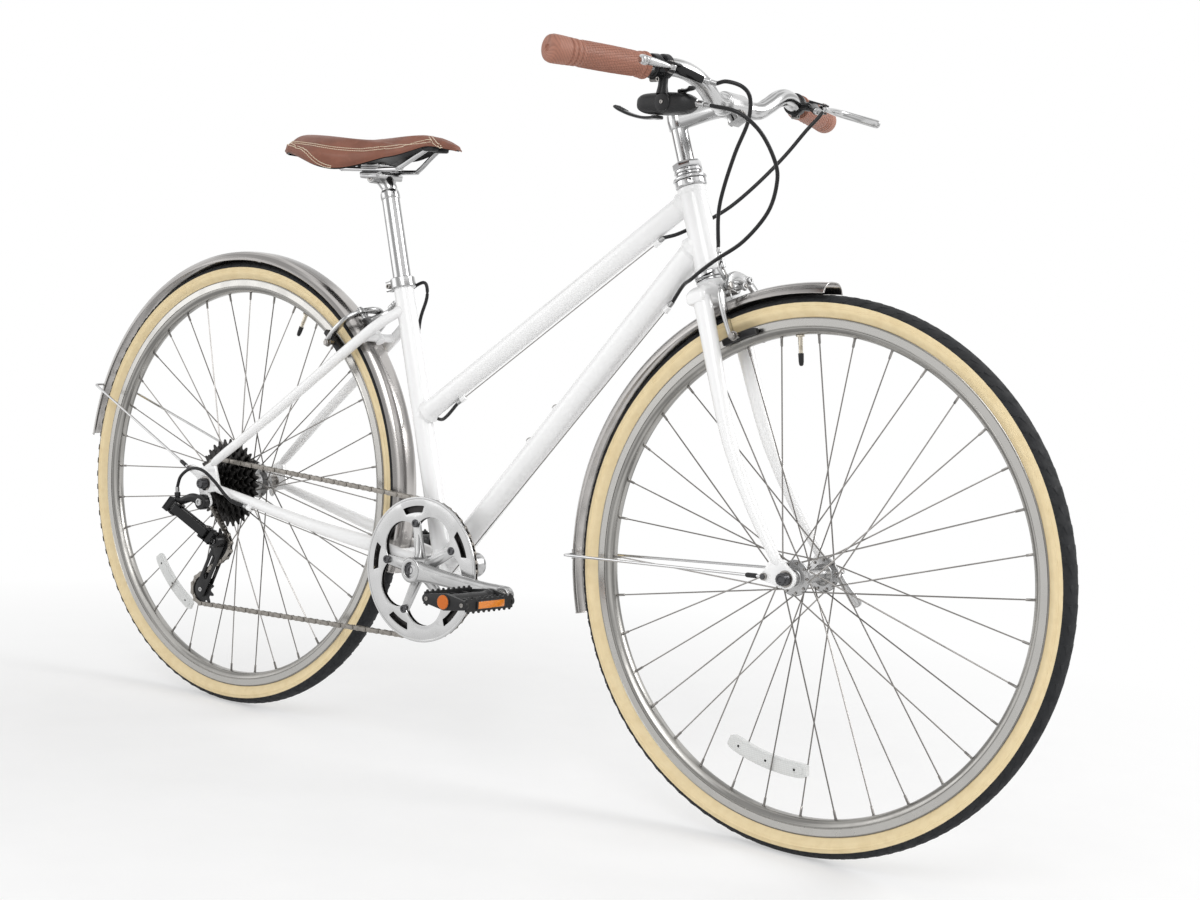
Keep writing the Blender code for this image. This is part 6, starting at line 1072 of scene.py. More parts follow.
def build_frame_piece():
    s = Shells()
    head_r = HEAD_TUBE_D / 2
    head = [(HEAD_TUBE_LOW, 0), (HEAD_TUBE_LOW, head_r + 0.0012), (HEAD_TUBE_LOW + 0.006, head_r + 0.0012),
            (HEAD_TUBE_LOW + 0.009, head_r), (HEAD_TOP - 0.009, head_r),
            (HEAD_TOP - 0.006, head_r + 0.0012), (HEAD_TOP, head_r + 0.0012), (HEAD_TOP, 0)]
    s.turn(head, steer(0), STEER_UP, "paint", 56, 0.0015)
    seat_top = BB + SEAT_DIR * SEAT_TUBE_LENGTH
    s.rod(BB, seat_top, SEAT_TUBE_D / 2, "paint", 48)
    top_start, top_way, _ = top_line()
    s.rod(top_start, steer(TOP_TUBE_ON_HEAD), TOP_TUBE_D / 2, "paint", 48)
    s.rod(BB, steer(DOWN_TUBE_ON_HEAD), DOWN_TUBE_D / 2, "paint", 52)
    s.turn([(-0.034, 0.0205), (-0.028, 0.0205), (-0.026, 0.0198), (0.026, 0.0198), (0.028, 0.0205),
            (0.034, 0.0205)], BB, Y, "paint", 56, 0.001)
    for side in (1, -1):
        s.turn([(0.0335, 0.009), (0.0335, 0.0188), (0.0362, 0.018), (0.0362, 0.009)], BB, Y * side, "satin",
               48, 0.0006, ring=True)
    mitre(s, top_start, top_way, TOP_TUBE_D / 2, SEAT_TUBE_D / 2, "paint")
    mitre(s, steer(TOP_TUBE_ON_HEAD), -top_way, TOP_TUBE_D / 2, head_r, "paint")
    down = (steer(DOWN_TUBE_ON_HEAD) - BB).normalized()
    mitre(s, steer(DOWN_TUBE_ON_HEAD), -down, DOWN_TUBE_D / 2, head_r, "paint")
    mitre(s, BB, down, DOWN_TUBE_D / 2, BB_SHELL_R, "paint")
    mitre(s, BB, SEAT_DIR, SEAT_TUBE_D / 2, BB_SHELL_R, "paint")
    for side in (1, -1):
        rear_stay(s, side)
    low = REAR_AXLE + (BB - REAR_AXLE).normalized() * (FENDER_R + BRIDGE_D / 2 + GAP)
    for at in (low, bridge_spot()):
        s.rod(at - Y * 0.0325, at + Y * 0.0325, BRIDGE_D / 2, "paint", 32)
        for side in (1, -1):
            bead(s, at + Y * (side * 0.0275), Y, BRIDGE_D / 2, "paint", 0.003, 0.001)
    spot, forward, _ = brake_frame(True)
    s.turn([(-0.0085, 0.0072), (0.0085, 0.0072)], spot, forward, "paint", 32, 0.0008)
    for k in range(2):
        along = BOTTLE_BOSS_UP + k * BOTTLE_BOSS_PITCH
        seat = on_tube(down_line(), along, -DOWN_TUBE_D / 2 + 0.003)
        top = on_tube(down_line(), along, -DOWN_TUBE_D / 2 - 0.0022)
        out = (top - seat).normalized()
        s.turn([(0, 0.0072), (0.003, 0.007), (0.0038, 0.005), (0.0052, 0.005)], seat, out, "paint", 28,
               0.0006)
        s.turn([(0, 0.0043), (0.0022, 0.004), (0.0026, 0.002), (0.001, 0.0016)], top - out * 0.0004, out,
               "steel", 24, 0.0003)
    for at, along, root in stop_places().values():
        web = (root - at).normalized()
        s.turn([(-STOP_L / 2, 0.0014), (-STOP_L / 2, STOP_D / 2), (STOP_L / 2 - 0.001, STOP_D / 2),
                (STOP_L / 2, STOP_D / 2 - 0.0008), (STOP_L / 2, 0.0014)], at, along, "paint", 28, 0.0006,
               ring=True)
        s.block(at + web * 0.0035, (STOP_L * 0.9, 0.0034, 0.007), "paint", (along, along.cross(web), web),
                0.0008)
    brake_mount(s, True)
    s.piece("frame_body", "frame", "frame_paint", "frame", sharp=40)


def axle_marks(s, at, radius):
    """The bright rings that an axle's nuts press into both faces of a dropout."""
    for face in (1, -1):
        s.turn([(0, 0.005), (0, radius), (0.0004, radius - 0.0003), (0.0004, 0.005)],
               at + Y * (face * DROPOUT_T / 2), Y * face, "steel", 40, 0.0002, ring=True)


def rear_stay(s, side):
    """The chain stay, the seat stay and the dropout of one side."""
    y_tip = REAR_DROPOUT_Y + DROPOUT_T / 2
    inner, outer = FENDER_W / 2 + GAP, -CHAIN_Y - CHAIN_HALF_W - GAP
    narrow, slim = (inner + outer) / 2, (outer - inner) / 2 - 0.0008
    chain_run = ((0.014, 0.02, 0.002), (0.114, narrow - 0.002, 0), (0.25, narrow + 0.001, 0.001),
                 (0.345, narrow + 0.0125, 0.001), (0.54, 0.0565, -0.001), (0.908, y_tip - 0.001, -0.001),
                 (0.949, y_tip, 0))
    chain_sizes = ((0.0095, 0.0125), (slim, 0.012), (slim, 0.0112), (0.0085, 0.0105), (0.008, 0.0088),
                   (0.006, 0.0065), (0.0031, 0.0055))
    s.tube([chain_stay_point(p, side * y, rise) for p, y, rise in chain_run], chain_sizes, "paint", Z, 32,
           5)
    top, tip = seat_stay_ends()
    r = 0.0155 / 2
    seat_run = ((0.0, 0.01, r * 0.9), (0.09, 0.027, r), (0.22, inner + 0.0125, r), (0.69, 0.053, r * 0.95),
                (1.0, y_tip - 0.001, 0.0065))
    points = [top.lerp(tip, part) + Y * (side * y) for part, y, _ in seat_run]
    points.append(tip + Vector((-0.016, side * y_tip, -0.014)))
    s.tube(points, [(v, v) for _, _, v in seat_run] + [(0.0031, 0.0046)], "paint", Z, 32, 6)
    at = REAR_AXLE + Y * (side * y_tip)
    web = hull([(0, 0, 0.0145), (0.024, -0.0035, 0.006), (0.0115, 0.0285, 0.006), (-0.01, 0.01, 0.011)])
    s.plate([web], at, X, Z, DROPOUT_T, "paint", 0.0007)
    eye = eyelet_point()
    ear = hull([(-0.012, 0.012, 0.009), (eye.x, eye.z - TYRE_R, 0.0055)], 32)
    s.plate([ear], at, X, Z, DROPOUT_T - 0.001, "paint", 0.0006)
    axle_marks(s, at, 0.0115)
    if side < 0:
        tab = hull([(-0.007, -0.006, 0.008), (0.004, -0.028, 0.0085)])
        s.plate([tab], at - Y * 0.0002, X, Z, DROPOUT_T + 0.0004, "paint", 0.0006)
        s.turn([(0.002, 0.0038), (0.016, 0.0038), (0.016, 0.0062), (0.0185, 0.0056), (0.0185, 0.003),
                (0.0168, 0.0028)], hanger_point(), -Y, "satin", 36, 0.0004)


def brake_mount(s, rear):
    """The bolt that holds a caliper, the plate behind its arms, and its nuts."""
    centre, forward, up, _, _ = brake_drop(rear)
    spot = brake_frame(rear)[0]
    side = -1 if rear else 1
    back = BRAKE_ARM_T + 1.5 * GAP
    outline = hull([(0, 0, 0.0065), (side * BRAKE_SIDE_PIVOT_Y, BRAKE_SIDE_PIVOT_UP, 0.0055)])
    s.plate([outline], centre - forward * (back + 0.00125), Y, up, 0.0025, "satin", 0.0004)
    s.rod(spot, centre + forward * (back + 0.001), 0.0029, "satin", 24)
    s.turn([(0, 0.0056), (0.0034, 0.0056), (0.0042, 0.0048)], centre + forward * (back - 0.0001), forward,
           "satin", 6, 0.0004)
    s.turn([(0, 0.0032), (0.0018, 0.0026)], centre + forward * (back + 0.004), forward, "steel", 24, 0.0004)
    at = centre + Y * (side * BRAKE_SIDE_PIVOT_Y) + up * BRAKE_SIDE_PIVOT_UP
    s.rod(at - forward * back, at + forward * back, 0.0029, "satin", 24)
    s.turn([(0, 0.005), (0.0022, 0.005), (0.003, 0.0042), (0.003, 0.002), (0.0014, 0.0018)],
           at + forward * back, forward, "satin", 30, 0.0004)
    s.turn([(0.002, 0.0056), (0.027, 0.0056)], spot, forward, "satin", 28, 0.0006)


def crown_low():
    return sqrt(FENDER_R ** 2 - (FORK_OFFSET - 0.015) ** 2) + GAP


def blade_offset(up):
    return 0.004 + (FORK_OFFSET - 0.004) * max(1 - up / BLADE_BEND_UP, 0.0) ** 1.6


def build_fork_piece():
    s = Shells()
    low = crown_low()
    race = HEAD_TUBE_LOW - CUP_HEIGHT - GAP
    s.turn([(low + 0.004, 0.0127), (low + 0.024, 0.0127), (low + 0.024, 0.0185), (race - 0.002, 0.0195),
            (race, 0.0185), (race, 0.012)], steer(0), STEER_UP, "paint", 48, 0.0008)
    s.turn([(race - 0.0034, 0.018), (race - 0.0034, 0.02), (race, 0.02), (race, 0.018)], steer(0), STEER_UP,
           "chrome", 48, 0.0006, ring=True)
    rings = []
    half_y = BLADE_Y + BLADE_TOP_D / 2
    for k in range(41):
        part = sin((k / 20 - 1) * pi / 2)
        edge = sqrt(max(1 - abs(part) ** 8, 0.0))
        depth = 0.015 * (0.62 + 0.38 * edge)
        top = low + 0.03 - 0.013 * abs(part) ** 2.5 - 0.0025 * (1 - edge)
        foot = low + 0.004 * (1 - edge)
        mid, tall = (top + foot) / 2, (top - foot) / 2
        ring = []
        for j in range(36):
            c, z = cos(2 * pi * j / 36), sin(2 * pi * j / 36)
            c, z = abs(c) ** 0.55 * (1 if c > 0 else -1), abs(z) ** 0.55 * (1 if z > 0 else -1)
            ring.append(steer(mid + tall * z, depth * c, part * half_y))
        rings.append(ring)
    s.loft(rings, "paint")
    for side in (1, -1):
        points, sizes = [], []
        for up in (low + 0.01, low - 0.03, BLADE_BEND_UP, 0.15, 0.105, 0.06, 0.03, 0.018):
            part = min(max((low - 0.02 - up) / (low - 0.04), 0.0), 1.0)
            radius = (BLADE_TOP_D + (BLADE_TIP_D - BLADE_TOP_D) * part ** 0.9) / 2
            y = BLADE_Y + 0.0155 * min(part * 1.1, 1.0)
            points.append(steer(up, blade_offset(up), side * y))
            sizes.append((min(radius, 0.0108), radius) if up > 0.15 else (radius * 0.95, radius))
        sizes[-1] = (0.0031, 0.0055)
        s.tube(points, sizes, "paint", STEER_FWD, 36, 6)
        at = FRONT_AXLE + Y * (side * (FRONT_DROPOUT_Y + DROPOUT_T / 2))
        ahead = blade_offset(0.026) - FORK_OFFSET
        web = hull([(0, 0, 0.0125), (ahead, 0.026, 0.0052), (-0.0285, 0.009, 0.0055)])
        s.plate([web], at, STEER_FWD, STEER_UP, DROPOUT_T, "paint", 0.0007)
        axle_marks(s, at, 0.0105)
    brake_mount(s, False)
    s.piece("fork_body", "steering", "frame_paint", "fork", sharp=40)


def build_headset():
    """The cups in the head tube, and above them the race and lock nut that turn with the fork."""
    s = Shells()
    s.turn([(HEAD_TOP + GAP, 0.015), (HEAD_TOP + GAP, 0.0192), (HEAD_TOP + 0.0022, 0.0205),
            (HEAD_TOP + CUP_HEIGHT - 0.001, 0.0205), (HEAD_TOP + CUP_HEIGHT, 0.0196),
            (HEAD_TOP + CUP_HEIGHT, 0.015)], steer(0), STEER_UP, "chrome", 64, 0.0008, ring=True)
    s.turn([(HEAD_TUBE_LOW - CUP_HEIGHT, 0.015), (HEAD_TUBE_LOW - CUP_HEIGHT, 0.0198),
            (HEAD_TUBE_LOW - CUP_HEIGHT + 0.001, 0.0206), (HEAD_TUBE_LOW - 0.002, 0.0206),
            (HEAD_TUBE_LOW, 0.0196), (HEAD_TUBE_LOW, 0.015)], steer(0), STEER_UP, "chrome", 64, 0.0008,
           ring=True)
    s.piece("headset_cups", "frame", "steel", "head_cup_upper")
    s = Shells()
    low = HEAD_TOP + CUP_HEIGHT + GAP
    s.turn([(low, 0.0128), (low, 0.0208), (low + 0.0012, 0.0219), (low + 0.003, 0.0219),
            (low + 0.0062, 0.0178), (low + 0.007, 0.0172), (low + 0.0095, 0.0172), (low + 0.0095, 0.0128)],
           steer(0), STEER_UP, "chrome", 64, 0.0006, ring=True)
    for a, b, r in ((0.0098, 0.0148, 0.0186), (0.0152, 0.0243, 0.0188)):
        s.turn([(low + a, 0.0128), (low + a, r - 0.001), (low + a + 0.0008, r), (low + b - 0.0012, r),
                (low + b, r - 0.0016), (low + b, 0.0128)], steer(0), STEER_UP, "chrome",
               8 if a > 0.012 else 64, 0.0005, ring=True)
    s.turn([(low + 0.0146, 0.0125), (low + 0.0146, 0.0166), (low + 0.0154, 0.0166), (low + 0.0154, 0.0125)],
           steer(0), STEER_UP, "bolt", 48, ring=True)
    s.piece("headset_lock_nut", "steering", "steel", "headset_locknut", sharp=25)


# ---------------------------------------------------------------- wheels
def build_tyre(axle, body, name, node):
    """Cream walls with their bead lines, a dark tread and its blocks."""
    s = Shells()
    half = [(0.0096, 0.3115), (0.0097, 0.3158), (0.0103, 0.3178), (0.0128, 0.3205), (0.0158, 0.3235),
            (0.0172, 0.3265), (0.0171, 0.33), (0.0164, 0.3334), (0.0158, 0.335), (0.0146, 0.3344),
            (0.015, 0.33), (0.0125, 0.324), (0.0078, 0.318), (0.0078, 0.3115)]
    crown = [(0.0, 0.3445), (0.0022, 0.3444), (0.0055, 0.3438), (0.009, 0.3423), (0.0118, 0.3405),
             (0.0133, 0.3392), (0.015, 0.3368), (0.0158, 0.335)]
    bed = [(0.0135, 0.329), (0.01, 0.335), (0.0, 0.337)]
    s.turn(both_sides(crown) + bed + [(-y, r) for y, r in bed[-2::-1]], axle, Y, "tread", 144, ring=True)
    for side in (1, -1):
        s.turn([(side * y, r) for y, r in half], axle, Y, "wall", 144, ring=True)
        s.turn([(side * 0.0166, 0.328), (side * 0.01765, 0.3288), (side * 0.0177, 0.3302),
                (side * 0.0166, 0.3312)], axle, Y, "wall", 144, 0.0004, ring=True)
    block = Shells()
    block.block((0.3423, 0, 0.0), (0.0048, 0.0042, 0.0064), "tread", bevel=0.0005)
    centre = pattern(block, "tread_centre")
    ring_of(s, centre, "tread", axle, 132)
    for side in (1, -1):
        for y, r, size, start in ((0.0072, 0.3405, (0.005, 0.005, 0.0112), 0.5),
                                  (0.0134, 0.3367, (0.005, 0.0036, 0.0086), 0.0)):
            tilt = 0.3 if y < 0.01 else 0.85
            out = Vector((cos(tilt), side * sin(tilt), 0))
            across = Vector((-side * sin(tilt), cos(tilt), 0))
            run = (Z + across * (side * 0.35)).normalized()
            shoulder = Shells()
            shoulder.block(Vector((r, side * y, 0)), size, "tread", (out, run.cross(out), run), 0.0005)
            notch = pattern(shoulder, "tread_shoulder")
            ring_of(s, notch, "tread", axle, 96, start * 2 * pi / 96)
            discard(notch)
    discard(centre)
    s.piece(name, body, "tyre", node, sharp=45)


def build_rim(axle, body, valve_angle, name, node):
    """The rim with its brake tracks, and the valve with its cap."""
    s = Shells()
    w = RIM_W / 2
    half = [(0.0, RIM_IN), (0.004, RIM_IN + 0.0002), (0.0062, RIM_IN + 0.0012), (0.01, RIM_IN + 0.0055),
            (w - 0.0003, RIM_IN + 0.008), (w - 0.0003, RIM_IN + 0.0086), (w - 0.0008, RIM_IN + 0.0092)]
    top = [(w - 0.0008, RIM_R - 0.0012), (w - 0.0002, RIM_R - 0.0006), (w - 0.0006, RIM_R),
           (w - 0.0014, RIM_R - 0.0002), (w - 0.0016, RIM_R - 0.006)]
    s.turn(both_sides(half + top), axle, Y, "rim", 180, ring=True)
    for side in (1, -1):
        band = [(side * (w - 0.001), RIM_R - 0.0108), (side * (w + 0.0001), RIM_R - 0.0104),
                (side * (w + 0.0001), RIM_R - 0.002), (side * (w - 0.001), RIM_R - 0.0016)]
        s.turn(band, axle, Y, "track", 180, ring=True)
    out = on_wheel(Vector(), 1.0, valve_angle)
    base = axle + out * RIM_IN
    profile = [(0.004, 0), (0.004, 0.0029), (-0.012, 0.0029), (-0.012, 0.0026), (-0.026, 0.0026),
               (-0.026, 0)]
    s.turn(profile, base, out, "brass", 24)
    for k in range(6):
        s.turn([(-0.0132 - k * 0.0009, 0.0024), (-0.0135 - k * 0.0009, 0.0029),
                (-0.0138 - k * 0.0009, 0.0024)], base, out, "brass", 20, ring=True)
    s.turn([(-0.0002, 0.0025), (-0.0002, 0.0056), (-0.0024, 0.0052), (-0.0024, 0.0025)], base, out, "brass",
           24, 0.0005, ring=True)
    s.turn([(-0.0225, 0.001), (-0.0225, 0.0036), (-0.033, 0.0033), (-0.0372, 0.0026), (-0.0384, 0.0012),
            (-0.0384, 0)], base, out, "gloss_black", 24, 0.0008, ends=False)
    s.piece(name, body, "alloy", node, sharp=35)


def build_hub(axle, body, valve_angle, name, node, left_end, left_y, right_y, right_end, flange_r):
    """The hub shell with its spokes. Four laced spokes are repeated to fill the wheel."""
    s = Shells()
    neck, barrel, t = 0.0095, 0.0086, 0.0022
    r = flange_r
    shell = [(-right_end, 0), (-right_end, neck), (-right_y - t - 0.0008, neck),
             (-right_y - t, neck + 0.003), (-right_y - t * 0.55, r - 0.0012), (-right_y, r),
             (-right_y + t * 0.55, r - 0.0012), (-right_y + t, neck + 0.004),
             (-right_y + 0.009, barrel + 0.0008), (-right_y + 0.014, barrel), (left_y - 0.014, barrel),
             (left_y - 0.009, barrel + 0.0008), (left_y - t, neck + 0.004), (left_y - t * 0.55, r - 0.0012),
             (left_y, r), (left_y + t * 0.55, r - 0.0012), (left_y + t, neck + 0.003),
             (left_y + t + 0.0008, neck), (left_end, neck), (left_end, 0)]
    s.turn(shell, axle, Y, "satin", 72, 0.0012)
    for y, out in ((left_end, 1), (-right_end, -1)):
        s.turn([(0.0001, 0.0048), (0.0001, 0.0086), (-0.002, 0.0092), (-0.002, 0.0048)], axle + Y * y,
               Y * out, "black", 40, 0.0004, ring=True)
    hole_r = flange_r - 0.004
    rim_in = RIM_IN + 0.0006
    first = valve_angle + pi / SPOKES
    for side in (1, -1):
        flange_y = left_y if side > 0 else -right_y
        for lean in (1, -1):
            k = (1 if side > 0 else 0) + (0 if lean > 0 else 2)
            at_rim = first + 2 * pi * k / SPOKES
            at_hub = at_rim + lean * radians(60)
            off = lean * 0.0011
            start = on_wheel(Vector(), hole_r, at_hub - at_rim, flange_y + off)
            end = on_wheel(Vector(), rim_in, 0.0, side * 0.0012)
            lead = start.lerp(end, 0.012)
            spoke = Shells()
            head = on_wheel(Vector(), hole_r, at_hub - at_rim, flange_y - off * 2.3)
            spoke.tube([head, start + (head - start) * 0.2, lead, end],
                       [0.00105, 0.00105, 0.00098, 0.00092], "steel", X.cross(end - start), 8)
            spoke.turn([(-0.0004, 0.0019), (0.0004, 0.0017), (0.0008, 0)], head, head - start, "steel", 10)
            way = (start - end).normalized()
            spoke.turn([(-0.001, 0.0021), (0.0016, 0.0021), (0.002, 0.0017), (0.0115, 0.0016),
                        (0.0122, 0.0011)], end, way, "steel", 8)
            one = pattern(spoke, "spoke")
            ring_of(s, one, "steel", axle, SPOKES // 4, at_rim)
            discard(one)
    s.piece(name, body, "steel", node, sharp=35)


def build_reflector(axle, body, name, node):
    """A clear wheel reflector: curved shell, raised lens rim and clips over the spokes."""
    lo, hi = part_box(node)
    lo, hi = lo - X * REAR_X, hi - X * REAR_X
    front = axle.x > 0.5
    r = 0.24 if front else 0.232
    middle = radians(-99) if front else radians(-129)
    room = min(hi.y, -lo.y) - 0.0002
    s = Shells()
    count = 28

    def band(low, high, near, far, span, finish):
        rings = []
        for k in range(count + 1):
            part = k / count * 2 - 1
            a = middle + span * part / 2
            squeeze = (1 - abs(part) ** 10) ** 0.5 if abs(part) < 1 else 0.0
            trim = 0.0035 * (1 - squeeze)
            outline = soften([(low + trim, near), (low + trim, far), (high - trim, far),
                              (high - trim, near)], 0.0008, True)
            rings.append([on_wheel(axle, rr, a, y) for rr, y in outline])
        s.loft(rings, finish)

    span = radians(28)
    band(r - 0.0095, r + 0.0095, -room + 0.0006, room - 0.0006, span, "lens")
    for side in (1, -1):
        near, far = sorted((side * (room - 0.001), side * room))
        band(r - 0.007, r + 0.007, near, far, span * 0.92, "lens")
    for k in (-1, 0, 1):
        a = middle + span * 0.36 * k
        s.block(on_wheel(axle, r, a), (0.004, 0.0042, 2 * room), "lens",
                (on_wheel(Vector(), 1, a), Vector((-sin(a), 0, cos(a))), Y), 0.0006)
    s.piece(name, body, "lens", node)


def build_axle(axle, dropout_y, left_lock, right_lock, body, name, node):
    """The axle with its lock nuts and cones, the skewer's nut and the quick release's cup."""
    s = Shells()
    outside = dropout_y + DROPOUT_T + GAP + AXLE_PAST_DROPOUT
    inside = dropout_y - GAP
    s.rod(axle - Y * outside, axle + Y * outside, 0.0047, "steel", 32)
    for side, lock in ((1, left_lock), (-1, right_lock)):
        s.turn([(lock, 0.003), (lock, 0.0078), (lock + 0.0015, 0.0084), (inside - 0.0005, 0.0084),
                (inside, 0.008), (inside, 0.003)], axle, Y * side,
               "steel" if inside - lock > 0.004 else "black", 40, 0.0004, ring=True)
        for k in range(3):
            a = lock + (inside - lock) * (0.3 + 0.2 * k)
            s.turn([(a - 0.0002, 0.008), (a, 0.0085), (a + 0.0002, 0.008)], axle, Y * side, "satin", 40,
                   ring=True)
    s.turn([(outside, 0.0084), (outside + 0.0025, 0.0082), (outside + 0.011, 0.0068),
            (outside + 0.011, 0.004), (outside + 0.0098, 0.0036)], axle, -Y, "bolt", 40, 0.0008)
    for a in around(14):
        at = on_wheel(axle, 0.0072, a, -(outside + 0.0055))
        s.rod(at - Y * 0.0035, at + Y * 0.0035, 0.0008, "bolt", 8)
    s.turn([(outside, 0.0083), (outside + 0.0024, 0.0083), (outside + 0.004, 0.0074),
            (outside + QR_CUP_L, 0.0074)], axle, Y, "satin", 40, 0.0008)
    s.piece(name, body, "steel", node)


def build_qr(axle, dropout_y, way, body, name, node):
    """The quick-release lever on its pivot."""
    s = Shells()
    at = axle + Y * (dropout_y + DROPOUT_T + GAP + AXLE_PAST_DROPOUT + QR_CUP_L + GAP + QR_PIVOT_R)
    way = way.normalized()
    hinge = way.cross(Y).normalized()
    s.turn([(-0.0085, 0.0042), (-0.0078, QR_PIVOT_R), (0.0078, QR_PIVOT_R), (0.0085, 0.0042)], at, hinge,
           "satin", 36, 0.0006)
    for end in (1, -1):
        s.turn([(0, 0.0026), (0.0006, 0.0022)], at + hinge * (end * 0.0084), hinge * end, "steel", 24,
               0.0002)
    run = [(0.0, 0.0), (0.006, 0.0006), (0.014, 0.0026), (0.026, 0.006), (0.036, 0.0092), (0.043, 0.0116),
           (0.0468, 0.0126), (0.0482, 0.0128)]
    sizes = [(0.0062, 0.0034), (0.006, 0.0032), (0.0054, 0.0026), (0.0058, 0.0026), (0.0068, 0.0027),
             (0.0072, 0.0026), (0.0056, 0.002), (0.0026, 0.0012)]
    s.tube([at + way * a + Y * b for a, b in run], sizes, "alloy", Y, 24, 4, 0.8)
    s.piece(name, body, "steel", node, sharp=40)


def build_fender(axle, body, start, end, name, node):
    """Rolled sheet with folded edges, a shallow channel along each side and a rolled hem at each end."""
    s = Shells()
    half_w, depth, t = FENDER_W / 2, FENDER_DEPTH, FENDER_T
    outer = [(0.0, FENDER_R), (0.006, FENDER_R - 0.0001), (0.0105, FENDER_R - 0.0007),
             (0.014, FENDER_R - 0.0022), (0.0172, FENDER_R - 0.0046), (0.0196, FENDER_R - 0.0074),
             (0.0212, FENDER_R - 0.0104), (half_w - 0.0004, FENDER_R - depth + 0.0012),
             (half_w, FENDER_R - depth + 0.0002), (half_w - 0.0006, FENDER_R - depth - 0.0004),
             (half_w - 0.0017, FENDER_R - depth + 0.0002)]
    inner = [(0.0196, FENDER_R - 0.0104), (0.0182, FENDER_R - 0.0078), (0.016, FENDER_R - 0.0052),
             (0.0132, FENDER_R - 0.0032), (0.01, FENDER_R - 0.0018), (0.006, FENDER_R - t - 0.0001),
             (0.0, FENDER_R - t)]
    section = both_sides(outer) + inner + [(-y, r) for y, r in inner[-2::-1]]
    count = int(degrees(end - start) / 1.6)
    rings = []
    for k in range(count + 1):
        angle = start + (end - start) * k / count
        from_end = min(k, count - k) * radians(1.6) * FENDER_R
        lift = 0.0007 if 0.001 < from_end < 0.007 else 0.0
        rings.append([on_wheel(axle, r + (0.0 if r < FENDER_R - depth + 0.001 else lift * 0.4), angle, y)
                      for y, r in section])
    s.loft(rings, "fender")
    for stop, way in ((start, 1), (end, -1)):
        hem = []
        for y, r in both_sides(outer[:9]):
            hem.append(on_wheel(axle, r - 0.0004, stop + way * 0.0012, y))
        s.tube(hem, 0.0009, "fender", Y.cross(on_wheel(Vector(), 1, stop)), 10)
    s.piece(name, body, "alloy", node, sharp=40)


def build_stay(axle, fender_angle, eye, eye_y, body, name, node):
    """The fender's wire stay, one bent rod with an eye on each side and a clip over the fender."""
    s = Shells()
    over = FENDER_R + 0.002 + GAP
    out = on_wheel(Vector(), 1.0, fender_angle)
    corner_y = FENDER_W / 2 + 0.006
    half = [Vector((eye.x, eye_y, eye.z)), axle + out * (over - 0.014) + Y * (corner_y + 0.0015),
            axle + out * (over - 0.002) + Y * corner_y, axle + out * over + Y * (corner_y - 0.008)]
    points = half + [mirror(p) for p in reversed(half)]
    run = [points[0], points[0].lerp(points[1], 0.5)]
    for a, p, b in zip(points, points[1:], points[2:]):
        r = min(0.004, (a - p).length * 0.4, (b - p).length * 0.4)
        start, end = p + (a - p).normalized() * r, p + (b - p).normalized() * r
        run += [start, (start + end + p * 2) / 4, end]
    run += [points[-2].lerp(points[-1], 0.5), points[-1]]
    across = (half[1] - half[0]).normalized().cross(Y)
    s.tube(run, 0.0019, "chrome", across, 16)
    for side in (1, -1):
        at = Vector((eye.x, side * eye_y, eye.z))
        s.turn([(-0.0015, 0.0046), (0.0015, 0.0046)], at, Y, "steel", 28, 0.0004)
        s.turn([(0, 0.0036), (0.0016, 0.0032)], at + Y * (side * 0.0014), Y * side, "bolt", 24, 0.0004)
        leg = Vector((half[1].x, side * half[1].y, half[1].z)) - at
        way = leg.normalized()
        s.turn([(0.01, 0.0031), (0.024, 0.0031), (0.026, 0.0024)], at, way, "black", 20, 0.0005)
    grip = axle + out * (over - 0.0006)
    s.block(grip, (0.003, 0.016, 0.012), "fender", (out, Y, out.cross(Y)), 0.0006)
    s.turn([(0, 0.0036), (0.0018, 0.0034), (0.0024, 0.002)], grip + out * 0.0014, out, "steel", 24, 0.0004)
    s.piece(name, body, "alloy", node)


# ---------------------------------------------------------------- drive
def teeth_outline(teeth, phase):
    """A sprocket's edge: round seats for the rollers and softly pointed teeth."""
    pitch_r, turn = pitch_radius(teeth), 2 * pi / teeth
    root, tip = pitch_r - 0.0042, pitch_r + 0.0034
    edge = []
    for k in range(teeth):
        for part, r in ((-0.5, root), (-0.36, root + 0.0005), (-0.25, root + 0.0026), (-0.13, tip - 0.0012),
                        (-0.045, tip), (0.045, tip), (0.13, tip - 0.0012), (0.25, root + 0.0026),
                        (0.36, root + 0.0005)):
            edge.append(polar(r, phase + (k + part) * turn))
    return edge


def lobes():
    """The inner edge of the ring and the guard: it comes in at each of the five bolts."""
    edge = []
    for a in around(180, SPIDER_ANGLE):

        bay = (sin(2.5 * (a - SPIDER_ANGLE)) ** 2 + 0.002) ** 0.35
        edge.append(polar(BOLT_CIRCLE_R - 0.0085 + 0.0225 * bay, a))
    return edge


def slots():
    """The five curved windows in the guard."""
    found = []
    for middle in around(5, SPIDER_ANGLE):

        outer = [polar(0.0895, middle + radians(26) * (i / 14 - 0.5)) for i in range(15)]
        inner = [polar(0.08, middle + radians(24) * (0.46 - i / 12 * 0.92)) for i in range(13)]
        found.append(soften(outer + inner, 0.0025, True))
    return found


